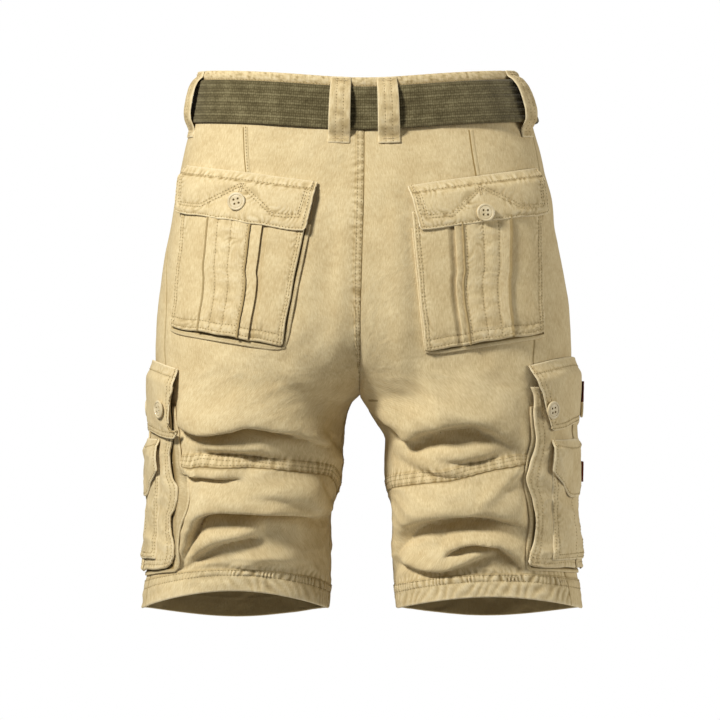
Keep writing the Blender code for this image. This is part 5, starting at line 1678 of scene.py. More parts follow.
    def _loop(self, name: str, middle: float, sewing: Sewing, tacks: Sewing) -> None:
        """One belt loop, with two rows of stitches and a bar tack at each end.

        Args:
            name: name of the piece and of its CAD node.
            middle: its turn round the waist.
            sewing: takes its rows of stitches.
            tacks: takes its bar tacks.
        """
        garment = self.garment
        kinds = {"band": 0.0, "belt": 1.0, "between": 0.5, "panel": 0.0}
        low = {"band": BAND_LIFT[1] + 0.9 * MM, "belt": LAY_GAP, "between": LAY_GAP, "panel": LAY_GAP}
        places = []
        for height, kind, extra in LOOP_PATH:
            slack = float(belt_slack(np.array(middle), height * MM))
            over = BELT_LIFT + BELT_THICKNESS + self.rib + LAY_GAP + slack
            lift = kinds[kind] * over + (1 - kinds[kind]) * low[kind]
            places.append((height * MM, lift + extra * MM + self.loop_thickness))
        path = through(np.array(places), 1.4 * MM)
        across = np.array([-10, -9.3, -8.2, -6, -4.4, -3.4, -2.4, 0, 2.4, 3.4, 4.4, 6, 8.2, 9.3, 10]) * MM
        across = across * self.loop_width / (20 * MM)
        turns = np.array([garment.turn_after(middle, float(x)) for x in across])
        down = arc_length(path)
        x, v = np.meshgrid(across, down)
        noise = garment.noise["pucker"]
        edge = self.loop_width / 2 - np.abs(x)
        rise = -0.5 * MM * fade(edge, 0.8 * MM) + 0.3 * MM * bell(x, 0, 2.2 * MM, 4)
        rise -= 0.3 * MM * bell(np.abs(x), self.loop_rows, 0.8 * MM)
        rise += 0.22 * MM * swing(v / (6.5 * MM) + noise(v / 0.02, middle)) * fade(np.abs(x), 0.006)
        rise += 0.35 * MM * noise(v / 0.014 + middle, x / 0.02)
        turn_grid, height_grid = np.meshgrid(turns, path[:, 0])
        outer = garment.waist(turn_grid, height_grid, path[:, 1:2] + rise)
        normals = outward_normals(outer, garment.waist(turn_grid, height_grid, 0.02) -
                                  garment.waist(turn_grid, height_grid, 0.0))
        wear_and_shading = 0.7 * fade(edge, 1.0 * MM) + 0.6 * noise(v / 0.009 + middle, x / 0.012) - 0.1
        piece = cloth_sheet(name, outer, normals, self.loop_thickness, self.dresser.wardrobe.twill, wear_and_shading, 0.9)
        length = float(down[-1])
        cut = ClothCut(self.loop_width * 1.08, length, "folded")
        self.dresser.cloth(piece, cut, ["waistband"], name)
        stitched = outer + normals * 0.12 * MM
        for column in (5, 9):
            sewing.add(stitched[1:-1, column])
        for row in (2, -4):
            tacks.add(stitched[row, 3:12])


# ---------------------------------------------------------------- buttons

class Buttons:
    """Four-hole buttons and the thread that holds them."""

    hole = 1.15 * MM
    spread = 2.15 * MM
    profile = (
        (0.0, 2.4), (5.9, 2.4), (6.2, 2.1), (6.5, 2.1), (6.8, 2.5), (7.3, 2.7), (8.2, 2.7), (8.7, 2.4),
        (9.0, 1.8), (8.8, 0.9), (8.2, 0.25), (7.2, 0.0), (3.5, 0.0), (0.0, 0.0),
    )

    def __init__(self, garment: Garment, dresser: Dresser) -> None:
        """Turns the pattern of the button once."""
        self.garment, self.dresser = garment, dresser
        self.pattern = self._turned()
        self.threads: list[tuple[Array, Array]] = []
        self.hole_shades: list[tuple[Array, Array]] = []

    def _turned(self) -> bpy.types.Mesh:
        """A turned button with its four holes drilled.

        Returns:
            The mesh, lying on the XY plane and facing +Z.
        """
        work = bmesh.new()
        steps = 48
        rings = []
        for radius, z in self.profile:
            if radius == 0:
                rings.append([work.verts.new((0, 0, z * MM))])
                continue
            rings.append([work.verts.new((radius * MM * math.cos(2 * math.pi * i / steps),
                                          radius * MM * math.sin(2 * math.pi * i / steps), z * MM))
                          for i in range(steps)])
        for a, b in zip(rings[:-1], rings[1:]):
            for i in range(steps):
                j = (i + 1) % steps
                corners = [a[i % len(a)], a[j % len(a)], b[j % len(b)], b[i % len(b)]]
                work.faces.new(list(dict.fromkeys(corners)))
        bmesh.ops.recalc_face_normals(work, faces=work.faces)
        mesh = bpy.data.meshes.new("button_pattern")
        work.to_mesh(mesh)
        work.free()
        body = linked("button_pattern", mesh)
        drill = bmesh.new()
        for x in (-1, 1):
            for y in (-1, 1):
                bmesh.ops.create_cone(drill, cap_ends=True, segments=14, radius1=self.hole, radius2=self.hole,
                                      depth=10 * MM,
                                      matrix=Matrix.Translation((x * self.spread, y * self.spread, 2 * MM)))
        tool_mesh = bpy.data.meshes.new("button_drill")
        drill.to_mesh(tool_mesh)
        drill.free()
        tool = linked("button_drill", tool_mesh)
        cut = body.modifiers.new("holes", "BOOLEAN")
        cut.operation, cut.object, cut.solver = "DIFFERENCE", tool, "EXACT"
        graph = bpy.context.evaluated_depsgraph_get()
        result = bpy.data.meshes.new_from_object(body.evaluated_get(graph), depsgraph=graph)
        for item in (body, tool):
            bpy.data.objects.remove(item, do_unlink=True)
        return result

    def place(self, name: str, side: Side, angle: float, height: float, lift: float, turn: float = 0.3,
              level: float = 0.0) -> None:
        """Puts a button on the garment.

        Args:
            name: name of the piece and of its CAD node.
            side: the half.
            angle: its angle round the half's centre.
            height: its height.
            lift: distance of its underside from the folded face.
            turn: how far it is turned on its thread.
            level: share by which it tips to face straight back.
        """
        point = self.garment.lifted(side, angle, height, lift)
        out = self.garment.normal(self.garment.base, side, np.array([angle]), np.array([height]), 0.1)[0]
        out = out * (1 - level) + np.array((0, level, 0))
        facing = Vector(out).to_track_quat("Z", "Y").to_matrix().to_4x4()
        place = Matrix.Translation(Vector(point)) @ facing @ Matrix.Rotation(turn, 4, "Z")
        mesh = self.pattern.copy()
        mesh.name = name
        mesh.transform(place)
        mesh.materials.clear()
        mesh.materials.append(self.dresser.wardrobe.button)
        mesh.shade_smooth()
        mesh.set_sharp_from_angle(angle=math.radians(12))
        self.dresser.add(linked(name, mesh), Slot.BUTTON, name)
        for y in (-1, 1):
            path = [(x * MM, y * self.spread + (0.3 - abs(x) * 0.1) * MM * y, z * MM)
                    for x, z in ((-1.5, 1.2), (-1.35, 2.1), (-0.8, 2.4), (0, 2.5), (0.8, 2.4), (1.35, 2.1), (1.5, 1.2))]
            rings = []
            for x, y_here, z in path:
                rings.append([place @ Vector((x, y_here + 0.32 * MM * math.cos(a), z + 0.25 * MM * math.sin(a)))
                              for a in np.linspace(0, 2 * math.pi, 6, endpoint=False)])
            self.threads.append(ring_mesh(np.array([[list(p) for p in ring] for ring in rings])))
            # a dark plug of painted shade at the bottom of each hole
            for x in (-1, 1):
                rings = [[place @ Vector((x * self.spread + self.hole * math.cos(a), y * self.spread
                                          + self.hole * math.sin(a), z * MM))
                          for a in np.linspace(0, 2 * math.pi, 8, endpoint=False)] for z in (0.2, 1.3)]
                self.hole_shades.append(ring_mesh(np.array([[list(p) for p in ring] for ring in rings])))

    def finish(self) -> None:
        """Joins the threads of every button, and the shade at the bottom of its holes."""
        wardrobe = self.dresser.wardrobe
        for name, parts, finish in (("button_threads", self.threads, wardrobe.thread),
                                    ("button_wells", self.hole_shades, wardrobe.hole)):
            points, quads, start = [], [], 0
            for part_points, part_quads in parts:
                points.append(part_points)
                quads.append(part_quads + start)
                start += len(part_points)
            made = mesh_object(name, np.concatenate(points), np.concatenate(quads), finish, None)
            self.dresser.add(made, Slot.TWILL)


# ---------------------------------------------------------------- pockets

def flat_size(garment: Garment, side: Side, angle: Array, height: Array) -> tuple[float, float]:
    """Mean width and height of a grid of angles and heights, on the garment without its folds."""
    flat = garment.base(side, angle, height)
    return float(run_along(flat, 1)[:, -1].mean()), float(run_along(flat, 0)[-1].mean())


def edge_shares(size: tuple[float, float], step: float, marks: Sequence[float]) -> list[Array]:
    """Shares of a piece's width and height at its columns and rows, which lie close together at its edges."""
    return [spaced(length, step, marks, marks)[0] / length for length in size]


def frame_line(wide: float, tall: float, inset: float, start: float = 0.0) -> Array:
    """The line down a piece's sides and along its foot, at a distance from its edge."""
    return straight([(inset, start), (inset, tall - inset), (wide - inset, tall - inset), (wide - inset, start)])


def edge_distance(u: Array, v: Array, wide: float, tall: float) -> Array:
    """Distance of each point of a flap from its nearest edge."""
    return np.minimum(np.minimum(u, wide - u), np.minimum(tall - v, v + 0.3 * MM))


class Patch:
    """A cut piece laid on the garment, as a grid with the cloth's own width and height."""

    def __init__(self, garment: Garment, side: Side, angle: Array, height: Array, lift: Array | float) -> None:
        """Lays the piece.

        Args:
            garment: the garment.
            side: the half.
            angle: angles of the grid.
            height: heights of the grid.
            lift: distance of its outer face from the folded face.
        """
        self.points = garment.lifted(side, angle, height, lift)
        self.reference = garment.normal(garment.base, side, angle, height, 0.1)
        self.normals = outward_normals(self.points, self.reference)
        self.width, self.tall = flat_size(garment, side, angle, height)

    def raise_by(self, rise: Array) -> None:
        """Moves the face out by a height at each point."""
        self.points = self.points + self.reference * rise[..., None]

    def finish(self, name: str, dresser: Dresser, layer: tuple[float, float], wear_and_shading: Array, cut: ClothCut,
               rests_on: Sequence[str]) -> None:
        """Gives the face its thickness and adds the piece to the garment.

        Args:
            name: name of the piece and of its CAD node.
            dresser: takes the piece.
            layer: its thickness, and how worn its edges are.
            wear_and_shading: how worn its face is, with its painted shade and highlight.
            cut: its flat size.
            rests_on: names of what it is sewn to.
        """
        self.normals = outward_normals(self.points, self.reference)
        piece = cloth_sheet(name, self.points, self.normals, layer[0], dresser.wardrobe.twill,
                            np.clip(wear_and_shading, -1, 1), layer[1])
        dresser.cloth(piece, cut, rests_on, name)

    def stitched(self, lift: float = STITCH_LIFT) -> Array:
        """The face, moved out to where stitches lie."""
        return self.points + self.normals * lift

    def line(self, s: Array, t: Array, places: Array, lift: float = STITCH_LIFT) -> Array:
        """A line on the face.

        Args:
            s: share of the width at each column.
            t: share of the height at each row.
            places: (u, v) in metres along the line.
            lift: distance off the face.

        Returns:
            Points in space.
        """
        fine = through(places, 1.5 * MM) if len(places) > 2 else np.linspace(places[0], places[-1], 40)
        column = np.interp(fine[:, 0] / self.width, s, np.arange(len(s)))
        row = np.interp(fine[:, 1] / self.tall, t, np.arange(len(t)))
        i = np.clip(row.astype(int), 0, len(t) - 2)
        j = np.clip(column.astype(int), 0, len(s) - 2)
        a, b = (row - i)[:, None], (column - j)[:, None]
        face = self.stitched(lift)
        return (face[i, j] * (1 - a) * (1 - b) + face[i + 1, j] * a * (1 - b)
                + face[i, j + 1] * (1 - a) * b + face[i + 1, j + 1] * a * b)

    def tack_ends(self, tacks: Sewing, s: Array, t: Array, wide: float, foot: float = 8.5 * MM) -> None:
        """Adds a bar tack at each end of the line along which a flap is sewn down."""
        for u in (3.0 * MM, wide - 3.0 * MM):
            tacks.add(self.line(s, t, np.array([(u, 1.0 * MM), (u, foot)]), TACK_LIFT))


def straight(line: Sequence[Sequence[float]]) -> Array:
    """A line with points every few millimetres between its corners."""
    line = np.asarray(line, float)
    length = arc_length(line)
    even = np.union1d(np.linspace(0, length[-1], max(2, round(length[-1] / (4 * MM)))), length)
    return np.stack([np.interp(even, length, line[:, i]) for i in range(2)], axis=1)


def offset_line(line: Sequence[Sequence[float]], distance: float) -> Array:
    """A line moved sideways by a distance."""
    line = np.asarray(line, float)
    way = np.gradient(line, axis=0)
    way /= np.linalg.norm(way, axis=1, keepdims=True)
    return line + np.stack([-way[:, 1], way[:, 0]], axis=1) * distance


def corner_grid(garment: Garment, side: Side, corners: Sequence[Sequence[float]], s: Array,
                t: Array) -> tuple[Array, Array]:
    """Angles and heights between four corners.

    Args:
        garment: the garment.
        side: the half.
        corners: outer top, inner top, inner bottom, outer bottom, as (across, height) in mm.
        s: share of the width from the outer edge.
        t: share of the height from the top.

    Returns:
        Angles and heights.
    """
    (x0, z0), (x1, z1), (x2, z2), (x3, z3) = np.array(corners, float) * MM
    if np.ndim(s) == 1:
        s, t = np.meshgrid(s, t)
    z_outer, z_inner = z0 + (z3 - z0) * t, z1 + (z2 - z1) * t
    outer = garment.angle_at(side, x0 + (x3 - x0) * t, z_outer)
    inner = garment.angle_at(side, x1 + (x2 - x1) * t, z_inner)
    return outer + (inner - outer) * s, z_outer + (z_inner - z_outer) * s


def soft_outline(noise: Noise, width: float, tall: float, s: Array, t: Array, radius: float,
                 wave: float = 0.9 * MM) -> tuple[Array, Array]:
    """Shares of a piece's width and height whose lower corners are round and whose edges wander.

    Args:
        noise: noise that moves the edges.
        width: width of the piece.
        tall: its height.
        s: share of the width.
        t: share of the height.
        radius: radius of the lower corners.
        wave: how far an edge wanders.

    Returns:
        The changed shares.
    """
    near = np.minimum(np.minimum(s, 1 - s) * width, radius)
    foot = radius - np.sqrt(np.maximum(radius**2 - (radius - near) ** 2, 0))
    down = wave * noise(s * width / (22 * MM) + 7, 0.4) - foot
    aside = wave * (noise(0.7, t * tall / (26 * MM) + 3) * (1 - s) + noise(5.7, t * tall / (26 * MM)) * s)
    return s + aside / width * np.clip(t * 3, 0, 1), t * (1 + down / tall)


def edge_grid(garment: Garment, side: Side, edge: Sequence[Sequence[float]], widths: tuple[float, float], s: Array,
              t: Array) -> tuple[Array, Array]:
    """Angles and heights of a piece that runs forward from a slanting back edge.

    Args:
        garment: the garment.
        side: the half.
        edge: top and bottom of the back edge, as (across, height) in mm.
        widths: width at the top and at the bottom.
        s: share of the width from the back edge.
        t: share of the height from the top.

    Returns:
        Angles and heights.
    """
    ends = []
    for (x, z), width in zip(edge, widths):
        back = float(garment.angle_at(side, x * MM, z * MM))
        ends.append((back, garment.angle_after(side, back, z * MM, -width), z * MM))
    if np.ndim(s) == 1:
        s, t = np.meshgrid(s, t)
    back = ends[0][0] + (ends[1][0] - ends[0][0]) * t
    front = ends[0][1] + (ends[1][1] - ends[0][1]) * t
    return back + (front - back) * s, ends[0][2] + (ends[1][2] - ends[0][2]) * t


# Section of the bellows: share of its width at which a point hangs, mm outwards from there, mm off the panel, and wear
# with painted tone: painted shade where it lies low by the panel and under the pouch's edge, pale on its folded edge
GUSSET_PATH = (
    (0, -8, 0.4, -0.6), (1, -2, 0.4, -0.4), (1, 0, 0.4, -0.7), (1, 0.8, 0.7, -0.2), (1, 1.0, 1.3, 0.1),
    (1, 0.8, 1.9, 0.4), (1, 0, 2.4, 0.2), (1, -1.4, 2.3, -0.3), (0.5, 0, 2.6, -0.1), (0, 0.8, 1.8, -0.9),
    (0, -2.5, 1.2, -1.0), (0, -8, 0.9, -1.0),
)


def gusset(name: str, garment: Garment, side: Side, angle: Array, height: Array, proud: tuple[float, float, float],
           dresser: Dresser, bellows: Curve | None = None) -> None:
    """The folded bellows strip under a pouch's sides and bottom.

    Args:
        name: name of the piece and of its CAD node.
        garment: the garment.
        side: the half.
        angle: angles of the pouch's grid.
        height: heights of the pouch's grid.
        proud: how far it shows past the pouch's first side, its bottom and its last side.
        dresser: takes the piece.
        bellows: how far it shows past the first side, by height, in place of the first number.
    """
    rows, columns = angle.shape
    first = rows // 9
    path = [(i, 0, 0) for i in range(first, rows, 2)] + [(rows - 1, j, 1) for j in range(0, columns, 2)]
    path += [(i, columns - 1, 2) for i in range(rows - 1, first - 1, -2)]
    place = np.array([(angle[i, j], height[i, j]) for i, j, _ in path])
    kind = np.array([k for _, _, k in path])
    scale = 0.01 / np.linalg.norm(garment.base(side, place[:, 0] + 0.01, place[:, 1])
                                  - garment.base(side, place[:, 0], place[:, 1]), axis=-1)
    outward_turn = np.sign(angle[0, 0] - angle[0, -1])
    way = np.stack([np.select([kind == 0, kind == 2], [outward_turn, -outward_turn], 0.0),
                    np.where(kind == 1, -1.0, 0.0)], axis=1)
    margin = np.select([kind == 0, kind == 1], [proud[0], proud[1]], proud[2])
    if bellows is not None:
        margin = np.where(kind == 0, bellows(place[:, 1]), margin)
    for _ in range(3):
        way[1:-1] = (way[:-2] + way[1:-1] + way[2:]) / 3
        margin[1:-1] = (margin[:-2] + margin[1:-1] + margin[2:]) / 3
    way /= np.linalg.norm(way, axis=1, keepdims=True)
    rings, furthest = [], margin
    for share, inset, lift, _ in GUSSET_PATH:
        off = (inset - share) * MM + share * margin
        if lift > 1.9:
            furthest = off = np.minimum(off, furthest)
        elif inset < 1 and lift > 0.8:
            off = np.minimum(off, furthest - 0.2 * MM)
        spot = place + way * off[:, None] * np.stack([scale, np.ones_like(scale)], axis=1)
        wave = 0.4 * MM * garment.noise["pucker"](np.arange(len(path)) / 4.0, lift)
        rings.append(garment.lifted(side, spot[:, 0], spot[:, 1], lift * MM + wave * (lift > 1)))
    rings = np.stack(rings, axis=1)
    piece = sweep(name, rings, dresser.wardrobe.twill, np.tile([row[3] for row in GUSSET_PATH], (len(rings), 1)))
    length = float(arc_length(rings[:, 4])[-1])
    dresser.cloth(piece, ClothCut(16 * MM, length, "folded"), [], name)


def flap_rise(t: Array, sewn: float, low: float, high: float) -> Array:
    """Lift of a flap's outer face, which is sewn down along its top and rises over its pouch."""
    return low + (high - low) * smooth(t, 0.0, sewn)


@dataclass
class BackPocket:
    """One pleated back pocket with its flap, bellows strip and button."""

    garment: Garment
    dresser: Dresser
    buttons: Buttons
    side: Side
    flap_corners: tuple[tuple[float, float], ...]
    pouch_corners: tuple[tuple[float, float], ...]
    pleat: tuple[float, float, float, float, float, float]  # across, mm: edge, three rows, crease, second edge
    button: tuple[float, float]
    proud: tuple[float, float, float]  # how far the bellows show past the outer side, the foot and the inner side
    lean: tuple[float, float] = (0.0, 0.0)  # shift of the pleat inwards, and how much more of it from top to foot
    step: float = 1.5 * MM
    strip: float = 1.9 * MM  # height of the pleat over the pouch
    flap_height: float = 9.3 * MM
    zigzag: tuple[tuple[float, float], ...] = (
        (0.045, 0.20), (0.06, 0.80), (0.24, 0.80), (0.49, 0.28), (0.74, 0.78), (0.94, 0.74), (0.955, 0.22),
    )

    def build(self) -> None:
        """Makes, sews and dresses the pocket."""
        name = self.side.value
        sewing = self.dresser.topstitch(f"sewing_back_pocket_{name}", 31)
        tacks = self.dresser.bar_tacks(f"bar_tacks_back_{name}", 32)
        self._pouch(sewing)
        self._flap(sewing, tacks)
        x, z = self.button
        angle = float(self.garment.angle_at(self.side, x * MM, z * MM))
        self.buttons.place(f"back_button_{name}", self.side, angle, z * MM, self.flap_height + 1.7 * MM,
                           0.25 if self.side is L else 0.0, 0.5)
        self.dresser.sew(sewing, tacks)

    def _pouch(self, sewing: Sewing) -> None:
        """The pouch, whose pleat is folded into its cloth."""
        garment, side = self.garment, self.side
        corners = self.pouch_corners
        middle = (corners[0][1] + corners[3][1]) / 2 * MM
        even = np.linspace(0, 1, 30)
        width, tall = flat_size(garment, side, *corner_grid(garment, side, corners, even, even))
        edge, row_1, row_2, row_3, crease, second = (
            self._share_at(corners, x * MM, middle, 0.5) * width for x in self.pleat)
        up = self.strip
        path = [(0.0, -1.6), (0.3, -0.5), (1.3, 0.0), (8.0, 0.1)]
        path += [(edge / MM + x, z) for x, z in ((-4, 0.0), (-0.5, -0.4), (1.6, -0.5), (1.5, 0.0), (0.4, 0.25),
                                                 (0.0, up / MM / 2), (0.4, up / MM - 0.1), (1.6, up / MM))]
        path += [(crease / MM + x, z) for x, z in ((-1.6, up / MM), (-0.4, up / MM - 0.05), (0.0, up / MM - 0.4),
                                                   (0.1, 0.9), (0.8, 0.85))]
        path += [(second / MM + x, z) for x, z in ((-1.6, 1.1), (-0.4, 1.05), (0.0, 0.7), (-0.3, 0.2), (-1.2, -0.1),
                                                   (-2.4, -0.3), (-1.8, -1.2), (0.4, -1.7), (2.6, -1.4), (6.0, -0.3),
                                                   (9.0, 0.0))]
        path += [(width / MM + x, z) for x, z in ((-8.0, 0.1), (-1.3, 0.0), (-0.3, -0.5), (0.0, -1.6))]
        line = through(np.array(path) * MM, 1.0 * MM)
        t = np.concatenate([np.linspace(0, 1 - 3.5 * MM / tall, round(tall / self.step)),
                            1 - np.array([2.4, 1.5, 0.7, 0.0]) * MM / tall])
        s, t_grid = np.meshgrid(np.clip(line[:, 0] / width, 0, 1), t)
        s_soft, t_soft = soft_outline(garment.noise["pucker"], width, tall, s, t_grid, 3.5 * MM, 1.1 * MM)
        lean = smooth(s, 0.15, 0.38) * (1 - smooth(s, 0.72, 1)) * (self.lean[0] + self.lean[1] * (t_grid - 0.5))
        angle, height = corner_grid(garment, side, corners, s_soft + lean / width, t_soft)
        lift = np.broadcast_to(line[:, 1][None, :], angle.shape)
        up_from_foot = (1 - t_grid) * tall
        lift = lift - 1.6 * MM * bell(up_from_foot, 0, 0.8 * MM, 1.5)
        rows = [row_1, row_2, row_3, 2.6 * MM, 6.2 * MM, width - 2.6 * MM, width - 6.2 * MM]
        lines = [straight([(x, 0), (x, tall)]) for x in rows]
        feet = [tall - 3.2 * MM, tall - 10.5 * MM]
        lines += [straight([(0, y), (width, y)]) for y in feet]
        field_ = SeamField(lines, garment.noise["pucker"], 0.9 * MM, 0.32 * MM, 0.35 * MM, 6 * MM)
        rise, tone = field_(s * width, t_grid * tall)
        noise = garment.noise["crease"]
        across = (s * width - row_2) / (12 * MM)
        sagged = bell(across, 0, 1, 4) * noise(s * 3 + 5, t_grid * tall / (7 * MM))
        # painted tone that follows the sag: highlight where it rises, shade where it sinks
        rise, tone = rise + 0.6 * MM * sagged, tone + 0.5 * sagged
        rise = rise + 0.8 * MM * garment.noise["broad"](s * 4.2, t_grid * 3.1 + side.sign)
        # painted shade in the low valleys and on the steep walls of the pleat
        step = np.gradient(line[:, 1]) / np.maximum(np.gradient(arc_length(line)), 1e-6)
        inside = np.abs(line[:, 0] - width / 2) < width / 2 - 9 * MM
        low = np.clip((0.3 * MM - line[:, 1]) / (0.8 * MM), 0, 1) * inside
        tone = tone - 0.12 * low[None, :] - 0.5 * np.abs(step)[None, :] * (low > 0)[None, :]
        patch = Patch(garment, side, angle, height, POUCH_LIFT + lift)
        patch.raise_by(rise)
        edge_near = np.minimum(np.minimum(s * width, (1 - s) * width), up_from_foot)
        # pale rubbed edges, painted highlight on the raised pleat, and the painted tone of the seams
        wear_and_shading = 0.7 * fade(edge_near, 1.2 * MM) + np.clip(lift / MM - 1.2, 0, 1) * 0.15 + tone
        patch.finish(f"back_pocket_{side.value}", self.dresser, (0.8 * MM, 0.8), wear_and_shading,
                     ClothCut(width + 26 * MM, tall, "folded"), [f"back_upper_{side.value}"])
        shares, face = np.maximum.accumulate(np.clip(line[:, 0] / width, 0, 1)), patch.stitched()
        for x in rows[:3]:
            column = int(np.argmin(np.abs(line[:, 0] - x) + (line[:, 1] < up * 0.7)))
            sewing.add(face[(t > 0.03) & (t < 1 - 6 * MM / tall), column])
        for x in rows[3:]:
            sewing.add(face[t < 1 - 2.5 * MM / tall, nearest(line[:, 0], x)])
        for y in feet:
            sewing.add(face[nearest(t * tall, y)][(shares > 0.02) & (shares < 0.98)])
        coarse = corner_grid(garment, side, corners, np.linspace(0, 1, 40), np.linspace(0, 1, 44))
        gusset(f"back_gusset_{side.value}", garment, side, *coarse, self.proud, self.dresser)

    def _flap(self, sewing: Sewing, tacks: Sewing) -> None:
        """The flap: a stitched band along its top, a double zigzag on its face."""
        garment, side = self.garment, self.side
        corners, even = self.flap_corners, np.linspace(0, 1, 20)
        s, t = edge_shares(flat_size(garment, side, *corner_grid(garment, side, corners, even, even)), self.step,
                           np.array([0.0, 0.5, 1.2, 1.8, 2.5]) * MM)
        s_grid, t_grid = np.meshgrid(s, t)
        lift = flap_rise(t_grid, 0.34, FLAP_SEWN, self.flap_height)
        width, tall = flat_size(garment, side, *corner_grid(garment, side, corners, s_grid, t_grid))
        patch = Patch(garment, side, *corner_grid(garment, side, corners, *soft_outline(
            garment.noise["pucker"], width, tall, s_grid, t_grid, 3.5 * MM)), lift)
        zigzag = [(u * width, v * tall) for u, v in self.zigzag]
        pair = [offset_line(straight(zigzag), d) for d in (-1.5 * MM, 1.5 * MM)]
        border = frame_line(width, tall, 1.8 * MM)
        band = straight([(0, FLAP_BAND), (width, FLAP_BAND)])
        field_ = SeamField([*pair, border, band], garment.noise["pucker"], 1.1 * MM, 0.55 * MM, 0.4 * MM, 5.5 * MM)
        u, v = s_grid * width, t_grid * tall
        rise, tone = field_(u, v)
        edge = edge_distance(u, v, width, tall)
        rise = rise - 0.55 * MM * fade(edge, 0.7 * MM)
        puckers = swing(u / (7.5 * MM) + 1.4 * garment.noise["pucker"](u / 0.02, 8.1))
        puckers = puckers * bell(v, 5.5 * MM, 3.6 * MM, 4)
        puckers = puckers * (0.2 + 1.4 * np.abs(garment.noise["pucker"](u / 0.037, 2.7)))
        rise = rise + 0.4 * MM * puckers + 0.8 * MM * (1 - smooth(v, *FLAP_BAND_FOOT))
        # painted highlight and shade on the band's puckers, and a painted shadow line under the band
        tone = tone + 0.4 * puckers - 0.7 * bell(v, 10.0 * MM, 0.8 * MM)
        rise = rise + 0.9 * MM * garment.noise["broad"](s_grid * 3.7 + 2, t_grid * 1.7 + side.sign)
        patch.raise_by(rise)
        patch.finish(f"back_flap_{side.value}", self.dresser, (FLAP_THICKNESS, 1.0),
                     0.9 * fade(edge, 0.9 * MM) + 0.12 + tone, ClothCut(width * 1.02, tall * 1.02, "folded"),
                     [f"back_upper_{side.value}"])
        for line in (*pair, border, band):
            sewing.add(patch.line(s, t, line))
        patch.tack_ends(tacks, s, t, width)
        self._buttonhole(patch, s, t, tacks)

    def _share_at(self, corners: Sequence[Sequence[float]], across: float, height: float, t: float) -> float:
        """Share of the width between corners at a distance from the centre plane.

        Args:
            corners: corners of the piece, as corner_grid takes them.
            across: the distance.
            height: height at which it is measured.
            t: share of the piece's height there.

        Returns:
            The share, from the outer edge.
        """
        angle = float(self.garment.angle_at(self.side, across, height))
        outer, inner = (float(corner_grid(self.garment, self.side, corners, np.array([s]), np.array([t]))[0][0, 0])
                        for s in (0, 1))
        return (angle - outer) / (inner - outer)

    def _buttonhole(self, patch: Patch, s: Array, t: Array, tacks: Sewing) -> None:
        """The end of the buttonhole that shows past the button."""
        x, z = self.button
        u = self._share_at(self.flap_corners, x * MM, z * MM, 0.6) * patch.width
        v = 0.33 * patch.tall
        for shift in (-1.0 * MM, 1.0 * MM):
            tacks.add(patch.line(s, t, np.array([(u + shift, v - 4 * MM), (u + shift, v + 5 * MM)]), 0.2 * MM))


